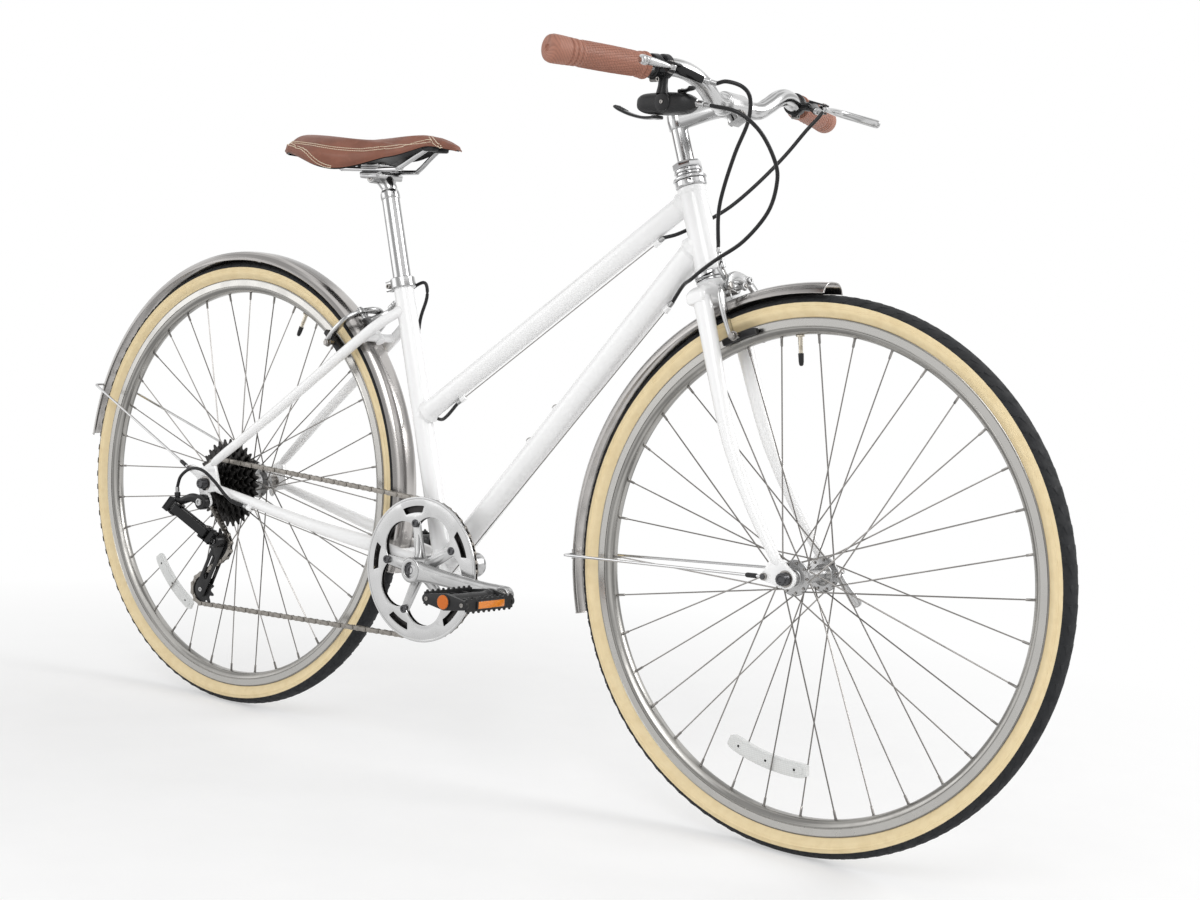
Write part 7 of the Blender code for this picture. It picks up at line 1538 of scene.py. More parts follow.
def build_cassette_piece():
    s = Shells()
    end = -cog_y(0) + COG_T / 2 + 0.0035
    s.turn([(-end + 0.0004, 0.0052), (-end + 0.0004, 0.0125), (-end, 0.015), (-end + 0.0022, 0.0165),
            (-0.0262, 0.0165), (-0.0262, 0.0052)], REAR_AXLE, Y, "dark_steel", 56, 0.0006, ring=True)
    for a in around(12):
        at = on_wheel(REAR_AXLE, 0.011, a, -end + 0.0002)
        s.turn([(-0.0004, 0.0012), (0.0004, 0.001)], at, -Y, "steel", 10)
    phase = tooth_phase(CHAIN_COURSE, 6)
    for index, teeth in enumerate(COG_TEETH):
        start = phase if teeth == COG_IN_USE else 0.37 * index
        outlines = [teeth_outline(teeth, start), circle(0.016, 40)]
        if teeth > 20:
            for k in range(6):
                outlines.append(circle(min(0.0075, (pitch_radius(teeth) - 0.026) * 0.42), 18,
                                       polar((pitch_radius(teeth) + 0.017) / 2 - 0.001,
                                             k * pi / 3 + start)))
        s.plate(outlines, REAR_AXLE + Y * cog_y(index), X, Z, COG_T, "dark_steel", 0.0003)
        if index:
            y = (cog_y(index) + cog_y(index - 1)) / 2
            s.turn([(y - 0.0014, 0.015), (y - 0.0014, 0.0182), (y + 0.0014, 0.0182), (y + 0.0014, 0.015)],
                   REAR_AXLE, Y, "dark_steel", 48, ring=True)
    s.piece("cassette_cogs", "freewheel", "black_steel", "cassette", sharp=30)


def build_chainrings():
    s = Shells()
    s.plate([teeth_outline(RING_TEETH, tooth_phase(CHAIN_COURSE, 0)), lobes()], BB + Y * CHAIN_Y, X, Z,
            COG_T, "dark_steel", 0.0003)
    s.piece("chainring_plate", "crankset", "alloy", "chainring", sharp=30)
    s = Shells()
    guard_y = SPIDER_Y - SPIDER_T / 2 - GAP - 0.0011
    guard_r = pitch_radius(RING_TEETH) + CHAIN_HALF_H + 0.001
    s.plate([circle(guard_r, 200), lobes()] + slots(), BB + Y * guard_y, X, Z, 0.002, "alloy", 0.0004)
    s.turn([(-0.0006, guard_r - 0.0042), (-0.0014, guard_r - 0.003), (-0.0014, guard_r - 0.0004),
            (-0.0004, guard_r), (0.0008, guard_r - 0.0004), (0.0008, guard_r - 0.0042)], BB + Y * guard_y,
           Y, "alloy", 200, 0.0004, ring=True)
    bolt = Shells()
    bolt.turn([(-0.0012, 0.0058), (0.0012, 0.0056), (0.0018, 0.0048), (0.0018, 0.0026), (0.0002, 0.0024)],
              X * BOLT_CIRCLE_R - Y * 0.0011, -Y, "bolt", 30, 0.0003)
    one = pattern(bolt, "ring_bolt")
    ring_of(s, one, "bolt", BB + Y * guard_y, 5, SPIDER_ANGLE)
    discard(one)
    s.piece("chain_guard_ring", "crankset", "alloy", "chain_guard", sharp=35)


def build_crank(side):
    """A crank arm with its bolt and the pedal axle. The right one carries the spider."""
    s = Shells()
    way = crank_way(side)
    boss_in = abs(SPIDER_Y) - SPIDER_T / 2 if side < 0 else 0.0505
    mid_y = CRANK_FACE_Y - CRANK_T / 2
    s.turn([(boss_in, 0.0086), (boss_in, 0.0172), (CRANK_FACE_Y - 0.006, 0.0184),
            (CRANK_FACE_Y - 0.0014, 0.0176), (CRANK_FACE_Y, 0.016), (CRANK_FACE_Y, 0.0112),
            (CRANK_FACE_Y - 0.003, 0.0104), (CRANK_FACE_Y - 0.003, 0.0086)], BB, Y * side, "forged", 64,
           0.0012, ring=True)
    s.turn([(CRANK_FACE_Y - 0.004, 0.01), (CRANK_FACE_Y - 0.0016, 0.01), (CRANK_FACE_Y - 0.0012, 0.0086),
            (CRANK_FACE_Y - 0.002, 0.0078), (CRANK_FACE_Y - 0.0012, 0.0068), (CRANK_FACE_Y - 0.0008, 0.004),
            (CRANK_FACE_Y - 0.0022, 0.0034)], BB, Y * side, "bolt", 48, 0.0004)
    run = ((0.0, 0.015, -0.0004), (0.014, 0.0142, -0.0002), (0.032, 0.0122, 0.0), (0.06, 0.0108, 0.0004),
           (0.1, 0.0104, 0.001), (0.135, 0.0108, 0.0016), (0.158, 0.0122, 0.002), (0.17, 0.0128, 0.002),
           (0.178, 0.0104, 0.002), (0.1815, 0.0052, 0.002))
    points = [BB + way * a + Y * (side * (mid_y + out)) for a, _, out in run]
    sizes = [(half, CRANK_T / 2 - 0.0006 if half > 0.006 else 0.004) for _, half, _ in run]
    s.tube(points, sizes, "forged", Y, 40, 5, 0.62)
    inset = [BB + way * a + Y * (side * (CRANK_FACE_Y + out)) for a,
             out in ((0.04, 0.0002), (0.06, 0.0002), (0.1, 0.0007), (0.135, 0.0012), (0.15, 0.0014))]
    s.tube(inset,
           [(0.0008, 0.0003), (0.0046, 0.0004), (0.0044, 0.0004), (0.0046, 0.0004), (0.0008, 0.0003)],
           "satin", Y, 20, 4)
    end = BB + way * CRANK_LENGTH
    s.turn([(mid_y - 0.0048, 0.004), (mid_y - 0.0048, 0.012), (CRANK_FACE_Y + 0.0012, 0.0126),
            (CRANK_FACE_Y + 0.002, 0.0116), (CRANK_FACE_Y + 0.002, 0.004)], end, Y * side, "forged", 56,
           0.001, ring=True)
    s.turn([(CRANK_FACE_Y + 0.0018, 0.0074), (CRANK_FACE_Y + 0.005, 0.0074), (CRANK_FACE_Y + 0.005, 0.0045),
            (PEDAL_INNER_Y + 0.084, 0.0044)], end, Y * side, "steel", 32, 0.0004)
    s.turn([(mid_y - 0.0056, 0.0042), (mid_y - 0.004, 0.005)], end, Y * side, "steel", 6, 0.0004)
    if side < 0:
        for a in around(5, SPIDER_ANGLE):

            arm = hull([(*polar(0.012, a), 0.0092), (*polar(BOLT_CIRCLE_R, a), 0.0068)])
            s.plate([arm], BB + Y * SPIDER_Y, X, Z, SPIDER_T, "forged", 0.0007)
            ridge = [on_wheel(BB, r, a, SPIDER_Y - h) for r,
                     h in ((0.014, 0.006), (0.024, 0.003), (0.038, 0.0016), (0.052, 0.0008))]
            s.tube(ridge, [(0.0075, 0.004), (0.006, 0.0022), (0.005, 0.0012), (0.003, 0.0005)], "forged", Y,
                   20, 4)
    s.piece(side_name(side) + "_crank_arm", "crankset", "alloy", side_name(side) + "_crank", sharp=38)


def build_crank_axle():
    s = Shells()
    s.rod(BB - Y * 0.0358, BB + Y * 0.0358, 0.0083, "steel", 36)
    for side in (1, -1):
        s.tube([BB + Y * (side * 0.034), BB + Y * (side * 0.0598)], [0.0083, 0.0077], "steel", Z, 4)
    s.piece("bottom_bracket_axle", "crankset", "steel", "crank_axle")


def build_pedal_piece(side):
    """A caged pedal with reflectors, ribs and its axle tube."""
    way = crank_way(side)
    at = BB + way * CRANK_LENGTH + Y * (side * (PEDAL_INNER_Y + PEDAL_LENGTH / 2))
    s = Shells()
    half_l, half_h = PEDAL_LENGTH / 2, PEDAL_H / 2
    for front in (1, -1):
        edge = []
        n = 9
        step = (2 * half_l - 0.006) / n
        for k in range(n):
            a = -half_l + 0.003 + step * k
            edge += [(a, half_h - 0.003), (a + step * 0.3, half_h - 0.0028),
                     (a + step * 0.44, half_h - 0.0003), (a + step * 0.56, half_h - 0.0003),
                     (a + step * 0.7, half_h - 0.0028)]
        edge.append((half_l - 0.003, half_h - 0.003))
        outline = edge + [(a, -b) for a, b in reversed(edge)]
        middle = at + X * (front * (PEDAL_DEPTH / 2 - 0.003))
        s.plate([outline], middle, Y, Z, 0.0028, "black", 0.0003)
        face = middle + X * (front * 0.0022)
        s.block(face, (0.0032, PEDAL_LENGTH * 0.56, PEDAL_H * 0.52), "black", bevel=0.0008)
        s.block(face + X * (front * 0.0012), (0.0018, PEDAL_LENGTH * 0.52, PEDAL_H * 0.42), "amber",
                bevel=0.0005)
    frame_end = hull([(PEDAL_DEPTH / 2 - 0.0065, 0, 0.0062), (-PEDAL_DEPTH / 2 + 0.0065, 0, 0.0062),
                      (0, 0, 0.0112)])
    for k in (-1, 1):
        s.plate([frame_end], at + Y * (k * (half_l - 0.0034)), X, Z, 0.0052, "black", 0.001)
        for m in (-1, 1):
            s.turn([(0, 0.003), (0.0012, 0.0028), (0.0012, 0.0012), (0.0003, 0.001)],
                   at + Y * (k * (half_l - 0.001)) + X * (m * (PEDAL_DEPTH / 2 - 0.0085)), Y * k, "steel",
                   20, 0.0003)
    s.turn([(-half_l, 0.005), (-half_l, 0.0104), (-half_l + 0.012, 0.0104), (-half_l + 0.018, 0.0085),
            (half_l - 0.018, 0.0085), (half_l - 0.01, 0.0104), (half_l + 0.001, 0.0104),
            (half_l + 0.001, 0)], at, Y * side, "black", 44, 0.001, ends=False)
    s.turn([(half_l + 0.0006, 0.0094), (half_l + 0.002, 0.0092), (half_l + 0.003, 0.008)], at, Y * side,
           "orange", 40, 0.0005)
    for k in (-1, 0, 1):
        s.block(at + Y * (k * 0.024), (PEDAL_DEPTH - 0.008, 0.0045, 0.0095), "black", bevel=0.001)
    for m in (-1, 1):
        s.block(at + X * (m * 0.021), (0.004, PEDAL_LENGTH - 0.01, 0.0085), "black", bevel=0.001)
    label = side_name(side)

    s.piece(label + "_pedal_cage", label + "_pedal", "black", label + "_pedal", sharp=35)


def build_chain_piece():
    """Outer and inner links in turn on the chain's course."""
    links = []
    for outer in (True, False):
        s = Shells()
        near = 0.0024 if outer else 0.0014
        for side in (1, -1):
            outline = []
            for a in around(16):

                x = 0.0039 * cos(a) + (PITCH / 2 if cos(a) > 0.01
                                       else (-PITCH / 2 if cos(a) < -0.01 else 0))
                z = 0.0039 * sin(a) * (1 if abs(cos(a)) > 0.01 else 0.74)
                outline.append((x, z))
            s.plate([outline], Y * (side * (near + 0.0005)), X, Z, 0.0009, "chain", 0.00018)
        for end in (-1, 1):
            if outer:
                s.turn([(-0.0037, 0.0015), (0.0037, 0.0015)], X * (end * PITCH / 2), Y, "chain", 10)
            else:
                s.turn([(-0.0013, 0.002), (-0.0013, 0.0037), (0.0013, 0.0037), (0.0013, 0.002)],
                       X * (end * PITCH / 2), Y, "chain", 14, ring=True)
        links.append(pattern(s, "outer_link_pattern" if outer else "inner_link_pattern"))
    s = Shells()
    places = []
    for pin in range(CHAIN_LINKS):
        a, _ = on_chain(CHAIN_COURSE, pin)
        b, _ = on_chain(CHAIN_COURSE, (pin + 1) % CHAIN_LINKS)
        way = b - a
        places.append(((a + b) / 2 + Y * CHAIN_Y, (0.0, -atan2(way.z, way.x), 0.0)))
    on_points(s, places, links[0], links[1], "chain")
    discard(*links)
    s.piece("chain_links", "frame", "chain", "chain", sharp=35)


# ---------------------------------------------------------------- derailleur
def build_derailleur_pieces():
    """The knuckles, both links, the cage and its pulleys, each riding on its own body."""
    along, sway, hinge = link_axes()
    high, low = link_pins()
    high_mid, low_mid = (high[0] + high[1]) / 2, (low[0] + low[1]) / 2
    hang = hanger_point()
    lift = 0.007 + GAP + EAR_T / 2

    def ears(s, pins, away):
        middle = (pins[0] + pins[1]) / 2
        flat = hull([(-0.00775, 0, 0.0055), (0.00775, 0, 0.0055), (0, 0.011, 0.0065)])
        for k in (1, -1):
            s.plate([flat], middle + hinge * (lift * k), sway, away, EAR_T, "gloss_black", 0.0005)
        s.block(middle + away * 0.0125, (0.02, 0.0075, 2 * lift + EAR_T), "gloss_black",
                (sway, away, hinge), 0.0014)
        for pin in pins:
            s.rod(pin - hinge * (lift + 0.0004), pin + hinge * (lift + 0.0012), 0.0017, "steel", 20)
            s.turn([(0, 0.0029), (0.001, 0.0026)], pin + hinge * (lift + 0.0011), hinge, "steel", 22,
                   0.0003)

    s = Shells()
    inner, outer = -(DROPOUT_T / 2 + 0.0004 + GAP), -(0.0185 - 0.0025 - GAP)
    s.turn([(outer, 0.0042), (outer, 0.0106), (outer + 0.0012, 0.0118), (inner - 0.001, 0.0118),
            (inner, 0.011), (inner, 0.0042)], hang, Y, "gloss_black", 48, 0.0008, ring=True)
    s.tube([hang - Y * 0.01, hang + Vector((-0.02, -0.0125, 0.0045)),
            high_mid + hinge * 0.015 - along * 0.001, high_mid - along * 0.0105 + hinge * 0.01],
           [(0.0085, 0.005), (0.0068, 0.0052), (0.0056, 0.0056), (0.005, 0.0056)], "gloss_black", Y, 24, 6,
           0.8)
    ears(s, high, -along)
    stop_at, stop_up = derailleur_stop()
    s.turn([(0, 0.0038), (0.004, 0.0038), (0.0044, 0.0046), (0.01, 0.0046), (0.011, 0.004)], stop_at,
           stop_up, "black", 12, 0.0004)
    for k in (-1, 1):
        s.turn([(0, 0.0018), (0.0022, 0.0018)], high_mid - along * 0.0155 + sway * (0.0045 * k), -along,
               "steel", 14, 0.0003)
    s.piece("derailleur_knuckle", "derailleur", "black", "derailleur_body", sharp=38)

    for pair, name, finish in ((0, "outer_link", "gloss_black"), (1, "inner_link", "black")):
        s = Shells()
        start = high[pair]
        outline = hull([(0, 0, 0.0049), (0.06, 0, 0.0049)])
        s.plate([outline], start, along, sway, 0.0136, finish, 0.0012)
        rib = hull([(0.01, 0, 0.003), (0.05, 0, 0.003)])
        s.plate([rib], start, along, sway, 0.014, "black", 0.0006)
        s.piece(name + "_arm", name, "steel", name)

    s = Shells()
    pivot_at = cage_pivot()
    plate_in = CHAIN_HALF_W + 0.0006
    knuckle_in = CHAIN_Y - plate_in - 0.0015 - GAP
    ears(s, low, along)
    far = low_mid.y + 0.006
    s.turn([(far - 0.001, 0.0086), (far + 0.001, 0.01), (knuckle_in - 0.001, 0.0104), (knuckle_in, 0.0098),
            (knuckle_in, 0.0035), (CHAIN_Y - 0.0037, 0.0035)], pivot_at, Y, "gloss_black", 48, 0.0008)
    s.turn([(0, 0.0042), (0.0012, 0.004), (0.0012, 0.0022), (0.0004, 0.002)],
           Vector((pivot_at.x, far - 0.0008, pivot_at.z)), -Y, "satin", 28, 0.0003)
    s.piece("pulley_side_knuckle", "pulley_knuckle", "black", "p_knuckle", sharp=38)

    guide = Vector((GUIDE_PULLEY[0], CHAIN_Y, GUIDE_PULLEY[1]))
    tight = Vector((TENSION_PULLEY[0], CHAIN_Y, TENSION_PULLEY[1]))
    down = tight - guide
    s = Shells()
    for side in (-1, 1):
        ends = [(0, 0, 0.0108), (down.x, down.z, 0.0113)]
        if side < 0:
            ends.append((pivot_at.x - guide.x, pivot_at.z - guide.z, 0.0098))
        window = hull([(down.x * 0.28, down.z * 0.28, 0.0046), (down.x * 0.7, down.z * 0.7, 0.005)], 20)
        s.plate([hull(ends), window], guide + Y * (side * (plate_in + 0.00075)), X, Z, 0.0014,
                "gloss_black", 0.0004)
    for at in (guide, tight):
        reach = plate_in + 0.0015
        s.rod(at - Y * reach, at + Y * reach, 0.0024, "satin", 20)
        for side in (1, -1):
            s.turn([(0, 0.0038), (0.001, 0.0034), (0.001, 0.0016), (0.0002, 0.0014)],
                   at + Y * (side * (reach - 0.0002)), Y * side, "satin", 24, 0.0003)
    s.piece("pulley_cage", "cage", "black", "cage", sharp=35)

    for at, which, name in ((guide, 4, "guide_pulley"), (tight, 2, "tension_pulley")):
        s = Shells()
        s.plate([teeth_outline(PULLEY_TEETH, tooth_phase(CHAIN_COURSE, which)), circle(0.0064, 32)], at, X,
                Z, 0.002, "black", 0.0003)
        s.turn([(-plate_in + GAP, 0.0027), (-plate_in + GAP, 0.0066), (plate_in - GAP, 0.0066),
                (plate_in - GAP, 0.0027)], at, Y, "steel", 40, 0.0005, ring=True)
        s.piece(name + "_wheel", name, "black", name, sharp=30)


# ---------------------------------------------------------------- brakes
def build_caliper_arm(rear, which):
    """One arm of a dual-pivot caliper with its shoe: side or centre, named for its pivot."""
    centre, forward, up, drop, tilt = brake_drop(rear)
    side = -1 if rear else 1
    shift = (BRAKE_ARM_T + GAP) / 2 * (1 if which == "side" else -1)
    pad_side = side if which == "side" else -side
    plane = centre + forward * shift

    def at(y, rise):
        return plane + Y * y + up * rise

    s = Shells()
    thin = BRAKE_ARM_T / 2 - 0.0002
    leg = [(0.0325, -0.004), (0.0362, -0.014), (0.0372, -0.026), (0.0362, -0.04), (0.033, drop)]
    if which == "side":
        hub = (side * BRAKE_SIDE_PIVOT_Y, BRAKE_SIDE_PIVOT_UP)
        run = [(-side * 0.03, -0.001), (-side * 0.018, 0.0115), (0.0, 0.015), hub]
        run += [(side * y, rise) for y, rise in leg]
        sizes = [(0.0042, thin)] + [(0.006, thin)] * (len(run) - 2) + [(0.0052, thin)]
        s.tube([at(*p) for p in run], sizes, "alloy", forward, 28, 6, 0.6)
        s.turn([(-0.005, 0.0036), (0.005, 0.0036), (0.0058, 0.0028)], at(-side * ANCHOR_Y, 0.0012), up,
               "steel", 6, 0.0004)
        s.turn([(0, 0.0046), (0.0014, 0.0046)], at(-side * ANCHOR_Y, 0.0012) + forward * 0.0028, forward,
               "steel", 24, 0.0004)
    else:
        hub = (0.0, 0.0)
        run = [(0.0, 0.0), (-side * 0.017, 0.003)] + [(-side * y, rise) for y, rise in leg]
        s.tube([at(*p) for p in run], [(0.006, thin)] * (len(run) - 1) + [(0.0052, thin)], "alloy", forward,
               28, 6, 0.6)
        lift = [(0.0, 0.0), (-side * 0.015, 0.012), (-side * 0.023, 0.0215),
                (-side * ANCHOR_Y, BARREL_UP - 0.004)]
        s.tube([at(*p) for p in lift], [(0.0058, thin), (0.005, thin), (0.0046, thin), (0.0044, thin)],
               "alloy", forward, 28, 5, 0.6)
        barrel = [(-0.0075, 0.001), (-0.0075, 0.0044), (0.001, 0.0044), (0.001, 0.0034), (0.0024, 0.0034),
                  (0.0024, 0.0044), (0.0058, 0.0044), (0.0064, 0.0034), (BARREL_LENGTH, 0.0034),
                  (BARREL_LENGTH, 0.001)]
        s.turn(barrel, centre + Y * (-side * ANCHOR_Y) + up * BARREL_UP, up, "alloy", 36, 0.0003, ring=True)
    s.collar(at(*hub), forward, BRAKE_ARM_T / 2, 0.0031, 0.0068, 0.0008, "alloy", 44, 0.0005)
    radial = (up + forward * tilt).normalized()
    along = radial.cross(Y).normalized()
    pad_y = RIM_W / 2 + PAD_CLEARANCE + PAD_T
    middle = centre + up * drop
    arc = []
    for k in range(9):
        part = k / 4 - 1
        taper = 1.0 - 0.16 * abs(part) ** 3
        spot = middle + along * (0.025 * part) - radial * (0.0011 * part * part)
        arc.append((spot + Y * (pad_side * (pad_y - 0.0016)), 0.0028, 0.0044 * taper))
    s.tube([p for p, _, _ in arc], [(b, a) for _, a, b in arc], "rubber", Y, 20, 2, 0.45)
    holder = [(p + Y * (pad_side * 0.004), a, b) for p, a, b in arc]
    s.tube([p for p, _, _ in holder], [(0.0046 * (0.86 if k in (0, 8) else 1), 0.0022) for k in range(9)],
           "black", Y, 20, 2, 0.5)
    for k in (-1, 0, 1):
        s.block(middle + along * (0.012 * k) + Y * (pad_side * (pad_y - 0.004)), (0.0012, 0.0008, 0.008),
                "black", (along, Y, radial), 0.0002)
    stud = middle + Y * (pad_side * (pad_y + 0.002))
    end = middle + Y * (pad_side * 0.0405)
    s.rod(stud, end, 0.0032, "steel", 24)
    s.turn([(0, 0.0062), (0.0012, 0.0062)], end - Y * (pad_side * 0.0066), Y * pad_side, "steel", 32,
           0.0004)
    s.turn([(0, 0.0052), (0.004, 0.0052), (0.0048, 0.0042)], end - Y * (pad_side * 0.0054), Y * pad_side,
           "steel", 6, 0.0004)
    label = "rear" if rear else "front"
    s.piece(f"{label}_brake_{which}_arm", f"{label}_{which}_arm", "alloy", f"{label}_caliper_{which}_arm",
            sharp=38)


# ---------------------------------------------------------------- cockpit
def build_stem():
    s = Shells()
    centre = bar_centre()
    low, top = steer(QUILL_TOP - 0.135), steer(QUILL_TOP + 0.004)
    s.rod(low, top, 0.0111, "alloy", 48)
    s.turn([(-0.016, 0.0128), (-0.004, 0.0134), (0.0045, 0.0128), (0.0075, 0.0105), (0.009, 0.007),
            (0.009, 0.0042), (0.005, 0.0038)], steer(QUILL_TOP), STEER_UP, "alloy", 56, 0.0012)
    s.turn([(0.004, 0.004), (0.0086, 0.004), (0.0092, 0.0034), (0.0092, 0.002), (0.007, 0.0018)],
           steer(QUILL_TOP), STEER_UP, "steel", 28, 0.0003)
    reach = centre - steer(QUILL_TOP - 0.004)
    base = steer(QUILL_TOP - 0.004)
    s.tube([base, base + reach * 0.25, base + reach * 0.55, base + reach * 0.78, centre - reach * 0.1],
           [(0.0108, 0.0132), (0.0102, 0.0118), (0.0098, 0.0106), (0.0112, 0.0108), (0.015, 0.0122)],
           "alloy", Z, 40, 6)
    clamp_r = 0.0127 + 0.0038
    s.collar(centre, Y, 0.02, 0.0126, clamp_r, 0.0012, "alloy", 64, 0.0012)
    below = (X * 0.55 - Z * 0.83).normalized()
    across = below.cross(Y)
    for k in (1, -1):
        s.block(centre + below * clamp_r + across * (k * 0.0044), (0.014, 0.0072, 0.022), "alloy",
                (below, across, Y), 0.0014)
    at = centre + below * (clamp_r + 0.002)
    s.rod(at - across * 0.0112, at + across * 0.0112, 0.003, "steel", 24)
    s.turn([(0, 0.0046), (0.0034, 0.0046), (0.0034, 0.0022), (0.0012, 0.002)], at + across * 0.0088, across,
           "steel", 28, 0.0004)
    s.turn([(0, 0.0044), (0.0034, 0.0044)], at - across * 0.0088, -across, "steel", 6, 0.0004)
    s.piece("quill_stem", "steering", "alloy", "stem", sharp=40)


def build_bar():
    s = Shells()
    start = bar_centre()
    half = [start] + [start + Vector(p) for p in BAR_BEND]
    line = [mirror(p) for p in reversed(half[1:])] + half
    line = smooth_line(line, 8)
    sizes = []
    for p in line:
        near = min(max((0.04 - abs(p.y)) / 0.014, 0.0), 1.0)
        near = near * near * (3 - 2 * near)
        sizes.append((BAR_D + (0.0254 - BAR_D) * near) / 2)
    s.tube(line, sizes, "alloy", Z, 40)
    s.piece("handlebar_tube", "steering", "alloy", "handlebar")


def build_grip_piece(side):
    s = Shells()
    start, way = bar_at(side * 0.1755)
    end = bar_at(side * BAR_HALF)[0]
    length = (end - start).length + 0.004
    bore, fat, thin = 0.011, GRIP_FAT_R, GRIP_THIN_R

    def swollen(part):
        return 0.0007 * sin(part * pi) + (fat - thin - 0.0012) * part ** 3

    profile = [(0, bore), (0, thin + 0.0012), (0.001, thin + 0.0018), (0.004, thin + 0.0018),
               (0.0052, thin - 0.0004), (0.0064, thin - 0.0004), (0.0078, thin + 0.001),
               (0.0105, thin + 0.001), (0.0118, thin - 0.0006), (0.013, thin - 0.0004)]
    body = []
    for k in range(21):
        part = k / 20
        body.append((0.015 + (length - 0.06) * part, thin - 0.0002 + swollen(part)))
    profile += body
    tail = length - 0.045
    profile += [(tail + 0.002, fat - 0.0014), (tail + 0.003, fat - 0.0026), (tail + 0.0042, fat - 0.0026),
                (tail + 0.0052, fat - 0.001), (tail + 0.0092, fat - 0.0009), (tail + 0.0102, fat - 0.0024),
                (tail + 0.0114, fat - 0.0024), (tail + 0.0124, fat - 0.0007), (tail + 0.0164, fat - 0.0006),
                (tail + 0.0174, fat - 0.0022), (tail + 0.0186, fat - 0.0022), (tail + 0.0196, fat - 0.0004),
                (length - 0.014, fat), (length - 0.007, fat), (length - 0.0028, fat - 0.0012),
                (length - 0.0008, fat - 0.004), (length, fat - 0.008), (length, 0.0042),
                (length - 0.002, 0.0036), (length - 0.002, 0)]
    s.turn(profile, start, way, "grip", 72, 0.0006, ends=False)
    u, v = cross_axes(way)
    for a in around(28):

        points = []
        for j in range(9):
            part = j / 8
            turn_by = a + part * 1.1 * side
            points.append(start + way * (0.017 + (length - 0.064) * part)
                          + (u * cos(turn_by) + v * sin(turn_by)) * (thin - 0.0001 + swollen(part)))
        s.tube(points, 0.00055, "grip", way, 6, 2)
    label = side_name(side)

    s.piece("bar_grip_" + label, "steering", "grip", "grip_" + label, sharp=40)


def build_lever(side):
    """A brake lever: the clamped bracket with its barrel, and the blade on its pivot."""
    at, way = bar_at(side * 0.162)
    pivot_at, axis = lever_pivot(side), Vector((0.253, 0, 0.967)).normalized()
    forward = axis.cross(Y).normalized()
    if forward.x < 0:
        forward = -forward
    start, out = lever_barrel(side)
    s = Shells()
    outer = BAR_D / 2 + 0.0035
    s.collar(at, way, 0.0055, 0.0111, outer + 0.0003, 0.0009, "gloss_black", 48, 0.0006)
    under = at - Z * (outer + 0.001) + X * 0.002
    s.turn([(-0.005, 0.0034), (0.005, 0.0034), (0.005, 0.0018), (0.003, 0.0016)], under, X, "steel", 24,
           0.0004)
    s.block(under + Z * 0.0015, (0.0085, 0.0085, 0.0052), "gloss_black", bevel=0.0012)
    neck = at + forward * (outer + 0.001)
    bend = Vector((pivot_at.x - 0.006, side * (LEVER_Y - 0.018), pivot_at.z + 0.001))
    lift = 0.0035 + GAP + EAR_T / 2
    s.tube([neck - forward * 0.003, at.lerp(bend, 0.72) + forward * 0.004, bend, start + out * 0.001],
           [(0.0064, 0.0052), (0.0074, 0.0062), (0.007, 0.0062), (0.0052, 0.0048)], "gloss_black", Z, 28, 7,
           0.8)
    flat = hull([(0, 0, 0.0062), ((bend - pivot_at).dot(forward), (bend - pivot_at).dot(Y), 0.007)])
    for k in (1, -1):
        s.plate([flat], pivot_at + axis * (lift * k), forward, Y, EAR_T, "gloss_black", 0.0006)
    s.rod(pivot_at - axis * (lift + 0.0004), pivot_at + axis * (lift + 0.0004), 0.0019, "steel", 20)
    for k in (1, -1):
        s.turn([(0, 0.0034), (0.0011, 0.0031), (0.0011, 0.0014), (0.0002, 0.0012)],
               pivot_at + axis * (k * (lift + 0.0011)), axis * k, "steel", 24, 0.0003)
    s.turn([(-0.001, 0.001), (-0.001, 0.0044), (0.0022, 0.0044), (0.0026, 0.0034), (0.004, 0.0034),
            (0.0044, 0.0043), (0.0094, 0.0043), (LEVER_BARREL_L, 0.0036), (LEVER_BARREL_L, 0.001)], start,
           out, "alloy", 32, 0.0003, ring=True)
    u, v = cross_axes(out)
    for a in around(12):
        ridge = start + out * 0.0068 + (u * cos(a) + v * sin(a)) * 0.0042
        s.rod(ridge - out * 0.0022, ridge + out * 0.0022, 0.0005, "alloy", 6)
    label = side_name(side)

    s.piece(f"lever_bracket_{label}", "steering", "black", f"brake_bracket_{label}", sharp=38)

    s = Shells()
    run = [(0.0, 0.0), (0.0005, 0.012), (-0.0018, 0.03), (-0.0012, 0.052), (0.011, 0.073), (0.024, 0.0865),
           (0.0305, 0.092), (0.033, 0.0945), (0.0341, 0.0957)]
    points = [pivot_at + forward * a + Y * (side * b) for a, b in run]
    half = [0.0046, 0.0046, 0.004, 0.004, 0.0042, 0.0046, 0.0048, 0.004, 0.002]
    tall = [0.0032, 0.0033, 0.0046, 0.0052, 0.0054, 0.0056, 0.0056, 0.0046, 0.0022]
    s.tube(points, list(zip(half, tall)), "alloy", axis, 28, 5, 0.8)
    s.collar(pivot_at, axis, 0.0034, 0.0021, 0.0064, 0.0008, "alloy", 40, 0.0006)
    s.piece(f"lever_blade_{label}", f"{label}_lever", "steel", f"brake_lever_{label}", sharp=40)


